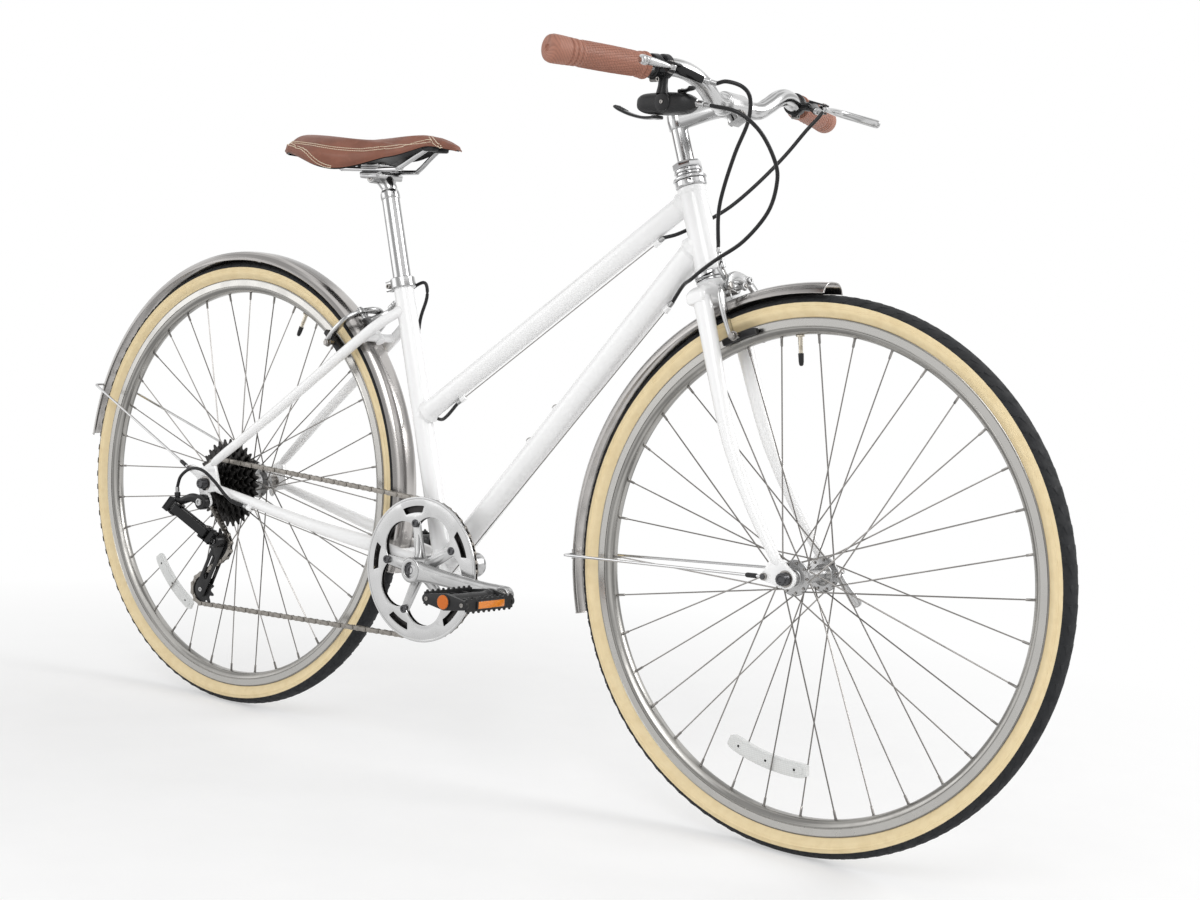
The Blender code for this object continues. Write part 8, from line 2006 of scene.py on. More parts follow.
def build_shifter_pieces():
    """The shifter pod under the bar, its thumb lever and its release trigger."""
    at, way = bar_at(-0.146)
    s = Shells()
    sections = ((-0.04, 0.0095, 0.007), (-0.0385, 0.012, 0.0092), (-0.03, 0.0155, 0.012),
                (-0.01, 0.0168, 0.0132), (0.0, 0.017, 0.0135), (0.014, 0.0164, 0.013),
                (0.026, 0.015, 0.012), (0.035, 0.0105, 0.0088), (0.0395, 0.0066, 0.006),
                (0.0415, 0.0048, 0.0046))
    middle = [pod_at(x, POD_Y, POD_Z) for x, _, _ in sections]
    s.tube(middle, [(a, b) for _, a, b in sections], "black", Z, 48, 5, 0.72)
    s.collar(at, way, 0.0046, 0.0111, 0.015, 0.0008, "black", 48, 0.0006)
    top = pod_at(at.x - bar_centre().x, 0.146, -0.0055)
    s.tube([top, (top + at - Z * 0.013) / 2, at - Z * 0.013], [0.0078, 0.006, 0.006], "black", Y, 28, 4)
    s.turn([(-0.001, 0.0112), (0.0012, 0.0112), (0.0022, 0.0102)], pod_at(0.002, POD_Y + 0.016, POD_Z), -Y,
           "gloss_black", 48, 0.0008)
    s.turn([(0, 0.0026), (0.0012, 0.0024), (0.0012, 0.0012), (0.0004, 0.001)],
           pod_at(0.002, POD_Y + 0.0182, POD_Z), -Y, "steel", 24, 0.0003)
    s.turn([(-0.006, 0.001), (-0.006, 0.0046), (-0.001, 0.0046), (-0.0006, 0.0034), (0.0006, 0.0034),
            (0.001, 0.0043), (0.008, 0.0043), (SHIFT_BARREL_L, 0.0036), (SHIFT_BARREL_L, 0.001)],
           SHIFT_BARREL, SHIFT_OUT, "alloy", 32, 0.0003, ring=True)
    s.rod(THUMB_PIVOT, THUMB_PIVOT + Z * 0.008, 0.0021, "steel", 20)
    s.rod(TRIGGER_PIVOT - Z * 0.006, TRIGGER_PIVOT + Z * 0.003, 0.0019, "steel", 20)
    s.piece("shifter_pod", "steering", "black", "shifter_body", sharp=38)

    s = Shells()
    run = [(0, 0, 0), (-0.02, 0.001, 0.0), (-0.04, 0.002, 0.004), (-0.055, 0.002, 0.0095),
           (-0.0635, 0.002, 0.0135), (-0.0665, 0.002, 0.015)]
    s.tube([THUMB_PIVOT + Vector(p) for p in run],
           [(0.0064, 0.0019), (0.0062, 0.002), (0.0072, 0.0022), (0.0084, 0.0024), (0.007, 0.0022),
            (0.0034, 0.0012)], "gloss_black", Z, 28, 5, 0.8)
    s.collar(THUMB_PIVOT, Z, 0.002, 0.0023, 0.0078, 0.0008, "gloss_black", 40, 0.0005)
    for k in range(5):
        spot = THUMB_PIVOT + Vector((-0.05 - 0.003 * k, 0.002, 0.0098 + 0.0013 * k))
        s.rod(spot - Y * 0.0055, spot + Y * 0.0055, 0.0007, "black", 8)
    s.piece("thumb_lever_blade", "thumb_lever", "black", "thumb_lever", sharp=40)

    s = Shells()
    run = [(0, 0, 0), (0.014, -0.008, 0.0002), (0.026, -0.018, 0.0004), (0.03, -0.0245, 0.0004),
           (0.0312, -0.0264, 0.0004)]
    s.tube([TRIGGER_PIVOT + Vector(p) for p in run],
           [(0.005, 0.0016), (0.0042, 0.0018), (0.005, 0.0022), (0.004, 0.0018), (0.002, 0.001)],
           "gloss_black", Z, 24, 5, 0.8)
    s.turn([(-0.0017, 0.0021), (-0.0017, 0.0054), (-0.001, 0.006), (0.001, 0.006), (0.0017, 0.0054),
            (0.0017, 0.0021)], TRIGGER_PIVOT, Z, "gloss_black", 36, 0.0004, ring=True)
    s.piece("release_trigger_blade", "release_trigger", "black", "release_trigger", sharp=40)


# ---------------------------------------------------------------- saddle and post
def saddle_section(part):
    """Half width, top height and skirt length of the saddle, from its tail (0) to its nose (1)."""
    def along(table):
        for (a, p), (b, q) in zip(table, table[1:]):
            if part <= b:
                t = (part - a) / (b - a)
                return p + (q - p) * t * t * (3 - 2 * t)
        return table[-1][1]
    half = along(((0, 0.78), (0.1, 0.985), (0.24, 1.0), (0.62, 0.36), (0.9, 0.245), (1.0, 0.13)))
    top = along(((0, -0.003), (0.1, 0.0025), (0.45, -0.003), (0.82, 0.0035), (1.0, -0.008)))
    skirt = along(((0, 0.03), (0.35, 0.049), (0.62, 0.03), (1.0, 0.01)))
    end = min(part, 1 - part) / 0.045
    tuck = 1.0 if end >= 1 else 0.55 + 0.45 * sqrt(max(1 - (1 - end) ** 2, 0.0))
    return half * SADDLE_W / 2 * tuck, SADDLE_TOP_Z + top - (1 - tuck) * 0.014, skirt * tuck


def saddle_outline(part):
    """Half of a section, from the crown (0) over the side to the hem (1), as a function."""
    half, top, skirt = saddle_section(part)
    shape = [(0.0, 0.0, 0.0), (0.18, 0.0001, 0.0), (0.36, 0.0006, 0.0), (0.54, 0.0022, 0.0),
             (0.7, 0.0052, 0.03), (0.83, 0.009, 0.1), (0.93, 0.01, 0.24), (0.985, 0.007, 0.44),
             (1.0, 0.0, 0.66), (0.985, 0.0, 0.9), (0.955, 0.0, 1.0)]
    line = smooth_line([(a * half, b * min(skirt / 0.03, 1.0) + c * skirt, 0) for a, b, c in shape], 4)

    def at(u, side):
        spot = min(max(u, 0.0), 1.0) * (len(line) - 1)
        k = min(int(spot), len(line) - 2)
        p = line[k].lerp(line[k + 1], spot - k)
        return Vector((SADDLE_BACK + SADDLE_LENGTH * part, side * p.x, top - p.y))
    return at


def saddle_belly(part):
    """Where a section lies, its half width, the level of its hem and how far its hollow rises."""
    half, top, skirt = saddle_section(part)
    hem = top - skirt
    return SADDLE_BACK + SADDLE_LENGTH * part, half, hem, top - min(0.55 * skirt, 0.017) - hem


def seams():
    """The stitched seams of the cover, each as (part, place on the section) pairs, for both sides."""
    tail = [(0.012, 0.3), (0.03, 0.48), (0.065, 0.585), (0.12, 0.665), (0.2, 0.765), (0.29, 0.88),
            (0.362, 0.985)]
    edge = [(0.068, 0.56), (0.14, 0.56), (0.24, 0.56), (0.36, 0.57), (0.48, 0.585), (0.6, 0.6), (0.72, 0.6),
            (0.82, 0.57), (0.872, 0.53)]
    nose = [(0.842, 0.3), (0.872, 0.45), (0.9, 0.6), (0.918, 0.74), (0.93, 0.88), (0.936, 0.985)]
    lines = []
    for table in (tail, edge, nose):
        for side in (1, -1):
            lines.append([saddle_outline(min(max(p.x, 0.0), 1.0))(p.y, side)
                          for p in smooth_line([(a, b, 0) for a, b in table], 16)])
    return lines


def swell(obj, cap, hold):
    """A cloth run with air pressure inside. The held vertices stay, and no vertex moves past the cap."""
    mesh = obj.data
    rest = [v.co.copy() for v in mesh.vertices]
    group = obj.vertex_groups.new(name="hold")
    group.add(hold, 1.0, "REPLACE")
    cloth = obj.modifiers.new("Cloth", "CLOTH")
    settings = cloth.settings
    settings.quality = 6
    settings.mass = 0.3
    settings.tension_stiffness = settings.compression_stiffness = 25
    settings.shear_stiffness = 12
    settings.bending_stiffness = 1.0
    settings.use_pressure = True
    settings.uniform_pressure_force = 4.0
    settings.vertex_group_mass = "hold"
    settings.effector_weights.gravity = 0.0
    scene = bpy.context.scene
    cloth.point_cache.frame_start, cloth.point_cache.frame_end = 1, 20
    for number in range(1, 21):
        scene.frame_set(number)
    grown = obj.evaluated_get(bpy.context.evaluated_depsgraph_get()).to_mesh()
    moved = [v.co.copy() for v in grown.vertices]
    obj.evaluated_get(bpy.context.evaluated_depsgraph_get()).to_mesh_clear()
    obj.modifiers.remove(cloth)
    obj.vertex_groups.remove(group)
    scene.frame_set(1)
    for vert, start, end in zip(mesh.vertices, rest, moved):
        step = end - start
        vert.co = start + step * (cap / max(step.length, cap))
    mesh.update()


def build_saddle_piece(looks):
    s = Shells()
    rings, hold = [], set()
    for n in range(113):
        part = n / 112
        x, half, hem, rise = saddle_belly(part)
        at = saddle_outline(part)

        right = [at(k / 30, -1) for k in range(31)]
        left = [at(k / 30, 1) for k in range(30, 0, -1)]
        inner = [Vector((x, y * half, hem + rise * lift)) for y,
                 lift in ((-0.9, 0.06), (-0.85, 0.45), (-0.74, 0.85), (-0.55, 0.96), (0.0, 1.0),
                          (0.55, 0.96), (0.74, 0.85), (0.85, 0.45), (0.9, 0.06))]
        rings.append(right + inner + left)
    s.loft(rings, "leather")
    cover = s.build("saddle_cover", 60)
    width = 31 + 9 + 30
    for n in range(len(rings)):
        for k in range(28, 43):
            hold.add(n * width + k)
    swell(cover, looks.pad_swell, sorted(hold))
    lines = seams()
    tree = KDTree(sum(len(line) for line in lines))
    number = 0
    for line in lines:
        for p in line:
            tree.insert(p + X * REAR_X, number)
            number += 1
    tree.balance()
    mesh = cover.data
    normals = [v.normal.copy() for v in mesh.vertices]
    for vert, normal in zip(mesh.vertices, normals):
        if vert.index in hold:
            continue
        far = tree.find(vert.co)[2]
        puff, sunk = 0.001 * (1 - exp(-(far / 0.012) ** 2)), looks.seam_depth * exp(-(far / 0.0017) ** 2)
        vert.co += normal * (puff - sunk)
    mesh.update()
    mesh.set_sharp_from_angle(angle=radians(60))
    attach(cover, "seat")
    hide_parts("saddle")
    stitch_seams(cover, lines, looks)

    s = Shells()
    rings = []
    for k in range(61):
        part = 0.03 + 0.935 * k / 60
        x, half, hem, rise = saddle_belly(part)
        outer = [(y, hem + rise * lift - 0.0006) for y,
                 lift in ((-0.925, 0.0), (-0.9, -0.035), (-0.84, 0.4), (-0.72, 0.8), (-0.53, 0.91),
                          (0, 0.93), (0.53, 0.91), (0.72, 0.8), (0.84, 0.4), (0.9, -0.035), (0.925, 0.0))]
        top_side = [(0.88, 0.1), (0.83, 0.55), (0.0, 1.04), (-0.83, 0.55), (-0.88, 0.1)]
        ring = [Vector((x, y * half, z)) for y, z in outer]
        ring += [Vector((x, y * half, hem + rise * lift)) for y, lift in top_side]
        rings.append(ring)
    s.loft(rings, "shell")
    for side in (1, -1):
        for at, size in ((RAIL_RUN[0], (0.022, 0.016, 0.012)), (RAIL_RUN[-1], (0.024, 0.013, 0.01))):
            spot = Vector((POST_CLAMP_X + at[0], side * at[1], RAIL_Z + at[2] - 0.001))
            s.block(spot, size, "shell", bevel=0.003)
    s.piece("saddle_base", "seat", "black", sharp=45)

    s = Shells()
    for side in (1, -1):
        run = [Vector((POST_CLAMP_X + a, side * b, RAIL_Z + c)) for a, b, c in RAIL_RUN]
        s.tube(run, RAIL_R, "chrome", Z, 24, 7)
    plate_z = RAIL_Z + RAIL_R - 0.0006
    s.block((POST_CLAMP_X, 0, plate_z + 0.003), (0.034, 0.054, 0.0055), "satin", bevel=0.0016)
    for side in (1, -1):
        s.tube([(POST_CLAMP_X - 0.0165, side * 0.022, RAIL_Z + 0.0026),
                (POST_CLAMP_X + 0.0165, side * 0.022, RAIL_Z + 0.0026)], [(0.005, 0.0034)] * 2, "satin", Z,
               28)
    s.turn([(0, 0.0052), (0.0036, 0.0052), (0.004, 0.0046), (0.004, 0.0026), (0.0018, 0.0022)],
           (POST_CLAMP_X, 0, plate_z + 0.0052), Z, "steel", 30, 0.0004)
    s.piece("saddle_rails_pair", "seat", "steel", "saddle_rails", sharp=40)

    s = Shells()
    cradle_top = RAIL_Z - RAIL_R - GAP
    s.rod(BB + SEAT_DIR * (SEAT_TUBE_LENGTH - 0.1), BB + SEAT_DIR * 0.545, SEAT_POST_R, "alloy", 64)
    top = BB + SEAT_DIR * 0.541
    s.turn([(0, 0.01), (0, 0.0138), (0.004, 0.0142), (0.01, 0.0138), (0.014, 0.012), (0.014, 0.008)], top,
           SEAT_DIR, "alloy", 64, 0.0012, ring=True)
    s.tube([top + SEAT_DIR * 0.004, top + SEAT_DIR * 0.014, BB + SEAT_DIR * 0.56,
            Vector((POST_CLAMP_X + 0.001, 0, cradle_top - 0.004))],
           [(0.0128, 0.0128), (0.0112, 0.0112), (0.0114, 0.0116), (0.013, 0.011)], "alloy", Y, 40, 6)
    s.block((POST_CLAMP_X, 0, cradle_top - 0.0055), (0.036, 0.054, 0.0085), "satin", bevel=0.0024)
    for side in (1, -1):
        s.tube([(POST_CLAMP_X - 0.0175, side * 0.022, cradle_top - 0.003),
                (POST_CLAMP_X + 0.0175, side * 0.022, cradle_top - 0.003)], [(0.0052, 0.003)] * 2, "satin",
               Z, 28)
    axis_at = Vector((POST_CLAMP_X + 0.001, 0, cradle_top - 0.0085))
    s.turn([(-0.0235, 0.0072), (-0.0215, 0.008), (0.0215, 0.008), (0.0235, 0.0072)], axis_at, Y, "satin",
           44, 0.001)
    for side in (1, -1):
        s.turn([(0, 0.0052), (0.0014, 0.005), (0.0014, 0.0026), (0.0004, 0.0024)],
               axis_at + Y * (side * 0.0234), Y * side, "steel", 30, 0.0004)
    s.piece("seat_post", "seat", "alloy", "seatpost", sharp=40)


def stitch_seams(cover, lines, looks):
    """A double row of thread along each seam, laid on the cover."""
    bm = bmesh.new()
    bm.from_mesh(cover.data)
    skin = BVHTree.FromBMesh(bm)
    bm.free()
    s = Shells()
    half = looks.stitch_length / 2
    s.tube([(-half, 0, -0.0004), (-half * 0.72, 0, 0.00015), (0, 0, 0.0003), (half * 0.72, 0, 0.00015),
            (half, 0, -0.0004)], [0.0004, 0.00056, 0.00062, 0.00056, 0.0004], "stitch", Y, 8)
    stitch = pattern(s, "stitch")
    places = []
    pitch = looks.stitch_length * 1.22
    for line in lines:
        points = [p + X * REAR_X for p in line]
        for row in (-1, 1):
            gone, due = 0.0, pitch / 2
            for a, b in zip(points, points[1:]):
                length = (b - a).length
                while gone + length >= due:
                    p = a.lerp(b, (due - gone) / length)
                    along = (b - a).normalized()
                    spot, normal, _, _ = skin.find_nearest(p)
                    across = normal.cross(along).normalized()
                    spot, normal, _, _ = skin.find_nearest(p + across * (row * STITCH_ROW_OFF))
                    along = (along - normal * along.dot(normal)).normalized()
                    across = normal.cross(along)
                    turn = Matrix((along, across, normal)).transposed().to_euler()
                    places.append((spot - normal * 0.00005, tuple(turn)))
                    due += pitch
                gone += length
    s = Shells()
    on_points(s, places, stitch, stitch, "stitch")
    discard(stitch)
    thread = s.build("saddle_stitches", place=False)
    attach(thread, "seat")


def build_seat_clamp_piece():
    s = Shells()
    top = SEAT_TUBE_LENGTH
    bore = SEAT_TUBE_D / 2 + GAP
    s.turn([(top - 0.0155, bore), (top - 0.0155, bore + 0.0028), (top - 0.0146, bore + 0.0034),
            (top - 0.0016, bore + 0.0034), (top - 0.0005, bore + 0.0026), (top - 0.0005, bore)], BB,
           SEAT_DIR, "alloy", 64, 0.0008, ring=True)
    behind = SEAT_DIR.cross(Y).normalized()
    behind = behind if behind.x < 0 else -behind
    at = BB + SEAT_DIR * (top - 0.008) + behind * (bore + 0.0055)
    for k in (1, -1):
        s.block(at + Y * (k * 0.0043), (0.0095, 0.0066, 0.0125), "alloy", (behind, Y, SEAT_DIR), 0.0016)
    pin = at + behind * 0.001
    s.rod(pin - Y * 0.0085, pin + Y * 0.0085, 0.0025, "steel", 20)
    s.turn([(0, 0.0038), (0.003, 0.0038), (0.003, 0.002), (0.001, 0.0018)], pin - Y * 0.0074, -Y, "steel",
           28, 0.0003)
    s.turn([(0, 0.0036), (0.0026, 0.0036)], pin + Y * 0.0074, Y, "steel", 6, 0.0003)
    s.piece("seat_collar", "frame", "alloy", "seat_clamp", sharp=38)


# ---------------------------------------------------------------- cables
FRONT_BRAKE_ROUTE = ((0.934, -0.123, 0.93), (0.952, -0.116, 0.9245), (0.9575, -0.106, 0.912),
                     (0.946, -0.089, 0.887), (0.9168, -0.067, 0.853), (0.889, -0.045, 0.811),
                     (0.8755, -0.0315, 0.78))
REAR_BRAKE_ROUTE = ((0.9165, 0.1205, 0.921), (0.904, 0.112, 0.902), (0.884, 0.099, 0.869),
                    (0.861, 0.079, 0.833), (0.838, 0.059, 0.802), (0.82, 0.042, 0.783),
                    (0.801, 0.027, 0.769), (0.785, 0.012, 0.757))
REAR_LOOP_ROUTE = ((0.408, 0.012, 0.486), (0.388, 0.0205, 0.4795), (0.366, 0.024, 0.486),
                   (0.349, 0.0255, 0.505), (0.336, 0.0265, 0.542), (0.328, 0.028, 0.582),
                   (0.3275, 0.029, 0.62), (0.3375, 0.029, 0.653), (0.334, 0.028, 0.673),
                   (0.318, 0.027, 0.67))
SHIFT_ROUTE = ((0.956, -0.128, 0.893), (0.979, -0.111, 0.872), (0.988, -0.088, 0.84),
               (0.981, -0.069, 0.816), (0.958, -0.048, 0.783), (0.9207, -0.039, 0.748),
               (0.884, -0.0385, 0.725), (0.86, -0.0355, 0.71), (0.84, -0.029, 0.698), (0.819, -0.015, 0.69))
DERAILLEUR_LOOP_ROUTE = ((0.072, -0.078, 0.324), (0.056, -0.0825, 0.3345), (0.036, -0.0865, 0.352),
                         (0.012, -0.0895, 0.366), (-0.013, -0.0915, 0.367), (-0.035, -0.092, 0.353))


def housing(s, start, way, points, end, end_way):
    """A housing between two stops, with a ferrule on each end."""
    lead = 0.007
    line = [start + way * lead] + [Vector(p) for p in points] + [end + end_way * lead]
    s.tube([start] + smooth_line(line, 6) + [end], HOUSING_D / 2, "housing", Z, 20)
    for at, out in ((start, way), (end, end_way)):
        s.turn([(0, 0.001), (0, 0.0029), (0.0012, 0.0032), (0.007, 0.0032), (0.0078, 0.0026),
                (0.0078, 0.001)], at, out, "satin", 28, 0.0003, ring=True)


def wire(s, points):
    s.tube(points, WIRE_D / 2, "steel",
           Z if abs((Vector(points[-1]) - Vector(points[0])).normalized().z) < 0.9 else X, 8)


def caliper_wire(s, end, up, foot):
    """The bare wire from the barrel down to the other arm, with its crimped tip."""
    wire(s, [end - up * 0.0002, end - up * 0.018, foot, foot - up * 0.022])
    s.turn([(0, 0.0012), (0.006, 0.0012)], foot - up * 0.0215, -up, "satin", 12, 0.0003)


def build_cable_pieces():
    stops = stop_places()
    half = STOP_L / 2 + GAP

    def barrel_of(rear):
        centre, ahead, up, _, _ = brake_drop(rear)
        side = -1 if rear else 1
        top = centre + Y * (-side * ANCHOR_Y) + up * (BARREL_UP + BARREL_LENGTH + GAP)
        foot = centre + Y * (-side * ANCHOR_Y) + ahead * (BRAKE_ARM_T + GAP) / 2 + up * 0.0115
        return top, up, foot

    s = Shells()
    start, way = lever_barrel(-1)
    end, up, foot = barrel_of(False)
    housing(s, start + way * (LEVER_BARREL_L + GAP), way, FRONT_BRAKE_ROUTE, end, up)
    caliper_wire(s, end, up, foot)
    s.piece("front_brake_cable_run", "steering", "housing", "front_brake_housing")

    s = Shells()
    start, way = lever_barrel(1)
    at, along, _ = stops["top_front"]
    housing(s, start + way * (LEVER_BARREL_L + GAP), way, REAR_BRAKE_ROUTE, at + along * half, along)
    bend_piece(s, "rear_brake_front_run", "rear_brake_front_housing")

    s = Shells()
    far, along, _ = stops["top_rear"]
    wire(s, [at + along * (half - 0.002), far - along * (half - 0.0002)])
    end, up, foot = barrel_of(True)
    housing(s, far - along * half, -along, REAR_LOOP_ROUTE, end, up)
    caliper_wire(s, end, up, foot)
    s.piece("rear_brake_cable_run", "frame", "housing", "rear_brake_cable")

    s = Shells()
    at, along, _ = stops["down"]
    begin = SHIFT_BARREL + SHIFT_OUT * (SHIFT_BARREL_L + GAP)
    housing(s, begin, SHIFT_OUT, SHIFT_ROUTE, at + along * half, along)
    bend_piece(s, "shift_front_run", "shift_front_housing")

    s = Shells()
    far, back, _ = stops["stay"]
    route = [at + along * (half - 0.002)]
    route += [on_wheel(BB, 0.0224, radians(degree), -0.012)
              for degree in (-44, -53, -62, -71, -80, -89, -98)]
    route += [far - back * (half + 0.004), far + back * (half - 0.0002)]
    wire(s, route)
    stop_at, stop_up = derailleur_stop()
    stop_top = stop_at + stop_up * (0.011 + GAP)
    housing(s, far + back * half, back, DERAILLEUR_LOOP_ROUTE, stop_top, stop_up)
    bend_piece(s, "shift_rear_run", "shift_cable")


def bend_piece(s, name, node):
    """A cable that runs between the frame and a moving body, built where it lies in place of its node and
    attached to neither.
    """
    obj = s.build(name)
    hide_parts(node)
    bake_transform(obj)


# ---------------------------------------------------------------- stage
def seen_directly(n):
    """1 on rays from the camera, from a mirror or through glass, which see the studio as plain white."""
    path = n.add("ShaderNodeLightPath").outputs
    return n.math("MAXIMUM", n.math("MAXIMUM", path["Is Camera Ray"], path["Is Glossy Ray"]),
                  path["Is Transmission Ray"])


def build_stage(looks):
    scene = bpy.context.scene
    mesh = bpy.data.meshes.new("floor")
    mesh.from_pydata([(-30, -30, -0.0004), (30, -30, -0.0004), (30, 30, -0.0004), (-30, 30, -0.0004)], [],
                     [(0, 1, 2, 3)])
    floor = bpy.data.objects.new("floor", mesh)
    scene.collection.objects.link(floor)
    material = bpy.data.materials.new("Studio floor")
    material.use_nodes = True
    n = Nodes(material.node_tree)
    material.node_tree.nodes.remove(next(x for x in material.node_tree.nodes
                                         if x.type == "BSDF_PRINCIPLED"))
    output = next(x for x in material.node_tree.nodes if x.type == "OUTPUT_MATERIAL")
    place = n.add("ShaderNodeTexCoord").outputs["Object"]
    far = n.add("ShaderNodeVectorMath", {0: place}, operation="LENGTH").outputs["Value"]
    seen = seen_directly(n)
    speckle = n.spread(n.noise(place, 9.0, 4.0), 0.3, 0.7, 0.93, 0.96)
    tone = n.add("ShaderNodeCombineColor", {"Red": speckle, "Green": speckle, "Blue": speckle}).outputs[0]
    paper = n.add("ShaderNodeBsdfDiffuse", {"Color": tone})
    white = n.add("ShaderNodeEmission", {"Color": (1, 1, 1, 1), "Strength": 1.0})
    fade = n.math("MULTIPLY", seen, n.spread(far, 0.7, 1.7, 0.45, 1.0))
    mix = n.add("ShaderNodeMixShader", {0: fade, 1: paper.outputs[0], 2: white.outputs[0]})
    material.node_tree.links.new(mix.outputs[0], output.inputs["Surface"])
    mesh.materials.append(material)

    world = scene.world or bpy.data.worlds.new("Studio")
    scene.world = world
    world.use_nodes = True
    world.node_tree.nodes.clear()
    n = Nodes(world.node_tree)
    seen = seen_directly(n)
    lit = n.add("ShaderNodeBackground", {"Color": (1, 1, 1, 1), "Strength": looks.world_light})
    white = n.add("ShaderNodeBackground", {"Color": (1, 1, 1, 1), "Strength": 1.0})
    mix = n.add("ShaderNodeMixShader", {0: seen, 1: lit.outputs[0], 2: white.outputs[0]})
    out = n.add("ShaderNodeOutputWorld")
    world.node_tree.links.new(mix.outputs[0], out.inputs["Surface"])

    for name, at, size, power in (("key", (1.8, -3.4, 3.2), 2.4, looks.key_light),
                                  ("fill", (-3.2, -2.6, 1.6), 2.6, looks.key_light * 0.3),
                                  ("rim", (2.7, 1.9, 2.3), 1.5, looks.key_light * 0.8)):
        lamp = bpy.data.lights.new(name, "AREA")
        lamp.energy, lamp.size = power, size
        obj = bpy.data.objects.new(name, lamp)
        obj.location = at
        obj.rotation_euler = (Vector((0.0, 0.0, 0.45)) - Vector(at)).to_track_quat("-Z", "Y").to_euler()
        scene.collection.objects.link(obj)

    camera = bpy.data.cameras.new("camera")
    camera.lens, camera.sensor_width = CAMERA_LENS, CAMERA_SENSOR
    camera.clip_start, camera.clip_end = 0.05, 100
    obj = bpy.data.objects.new("camera", camera)
    back = Vector((sin(CAMERA_TURN) * cos(CAMERA_RISE), -cos(CAMERA_TURN) * cos(CAMERA_RISE),
                   sin(CAMERA_RISE)))
    right = (-back).cross(Z).normalized()
    up = right.cross(-back)
    c, s = cos(CAMERA_ROLL), sin(CAMERA_ROLL)
    right, up = right * c + up * s, up * c - right * s
    matrix = Matrix((right, up, back)).transposed().to_4x4()
    matrix.translation = Vector((CAMERA_AT[0] + REAR_X, *CAMERA_AT[1:]))
    obj.matrix_world = matrix
    scene.collection.objects.link(obj)
    scene.camera = obj
    scene.view_settings.view_transform = "Standard"


# ---------------------------------------------------------------- add-on
class CityBikeLooks(bpy.types.PropertyGroup):
    """Colours and small sizes that the panel offers."""

    paint_colour: FloatVectorProperty(name="Frame paint", description="Colour of the frame and fork",
                                      subtype="COLOR", size=3, min=0, max=1, default=(0.93, 0.93, 0.93))
    leather_colour: FloatVectorProperty(name="Saddle leather", description="Colour of the saddle cover",
                                        subtype="COLOR", size=3, min=0, max=1,
                                        default=(0.245, 0.092, 0.056))
    grip_colour: FloatVectorProperty(name="Grip rubber", description="Colour of the two grips",
                                     subtype="COLOR", size=3, min=0, max=1, default=(0.36, 0.16, 0.11))
    seam_depth: FloatProperty(name="Seam depth", description="Depth of the saddle's sewn seams",
                              unit="LENGTH", min=0, max=0.004, default=0.0012)
    pad_swell: FloatProperty(name="Pad swell", description="The furthest that the padding may swell",
                             unit="LENGTH", min=0, max=0.01, default=0.0022)
    stitch_length: FloatProperty(name="Stitch length", description="Length of one saddle stitch",
                                 unit="LENGTH", min=0.001, max=0.01, default=0.0027)
    key_light: FloatProperty(name="Key light", description="Power of the main lamp", min=0, max=1000,
                             default=70)
    world_light: FloatProperty(name="World light", description="Strength of the studio's even light", min=0,
                               max=2, default=0.55)


def looks():
    return bpy.context.scene.city_bike


class CITYBIKE_OT_finishes(bpy.types.Operator):
    """Makes every material, and the trees that lay out repeated pieces."""

    bl_idname = "city_bike.finishes"
    bl_label = "Finishes"
    bl_options = {"REGISTER", "UNDO"}

    def execute(self, context):
        make_finishes(looks())
        TREES.update(ring=make_ring_tree(), line=make_line_tree())
        return {"FINISHED"}


class CITYBIKE_OT_frame(bpy.types.Operator):
    """Builds the white frame, the headset and the seat collar."""

    bl_idname = "city_bike.frame"
    bl_label = "Frame and headset"
    bl_options = {"REGISTER", "UNDO"}

    def execute(self, context):
        build_frame_piece()
        build_headset()
        build_seat_clamp_piece()
        return {"FINISHED"}


class CITYBIKE_OT_fork(bpy.types.Operator):
    """Builds the crown, the raked blades and the front brake's bolts."""

    bl_idname = "city_bike.fork"
    bl_label = "Fork"
    bl_options = {"REGISTER", "UNDO"}

    def execute(self, context):
        build_fork_piece()
        return {"FINISHED"}


class CITYBIKE_OT_wheels(bpy.types.Operator):
    """Builds tyres, rims, spoked hubs, reflectors, axles and quick releases."""

    bl_idname = "city_bike.wheels"
    bl_label = "Wheels"
    bl_options = {"REGISTER", "UNDO"}

    def execute(self, context):
        for axle, body, valve, label in ((FRONT_AXLE, "front_wheel", FRONT_VALVE, "front"),
                                         (REAR_AXLE, "rear_wheel", REAR_VALVE, "rear")):
            build_tyre(axle, body, label + "_tyre_tread", label + "_tyre")
            build_rim(axle, body, valve, label + "_wheel_rim", label + "_rim")
            build_reflector(axle, body, label + "_spoke_reflector", label + "_reflector")
        build_hub(FRONT_AXLE, "front_wheel", FRONT_VALVE, "front_hub_spokes", "front_hub_and_spokes", 0.044,
                  0.0345, 0.0345, 0.044, 0.0225)
        build_hub(REAR_AXLE, "rear_wheel", REAR_VALVE, "rear_hub_spokes", "rear_hub_and_spokes", 0.056,
                  0.0345, 0.0205, 0.0249, 0.025)
        build_axle(FRONT_AXLE, FRONT_DROPOUT_Y, 0.0443, 0.0443, "steering", "front_axle_set", "front_axle")
        build_axle(REAR_AXLE, REAR_DROPOUT_Y, 0.0563, -cog_y(0) + COG_T / 2 + 0.0038, "frame",
                   "rear_axle_set", "rear_axle")
        build_qr(FRONT_AXLE, FRONT_DROPOUT_Y, Vector((0.56, 0, -0.83)), "front_qr", "front_quick_release",
                 "front_qr_lever")
        build_qr(REAR_AXLE, REAR_DROPOUT_Y, Vector((-0.86, 0, -0.51)), "rear_qr", "rear_quick_release",
                 "rear_qr_lever")
        return {"FINISHED"}


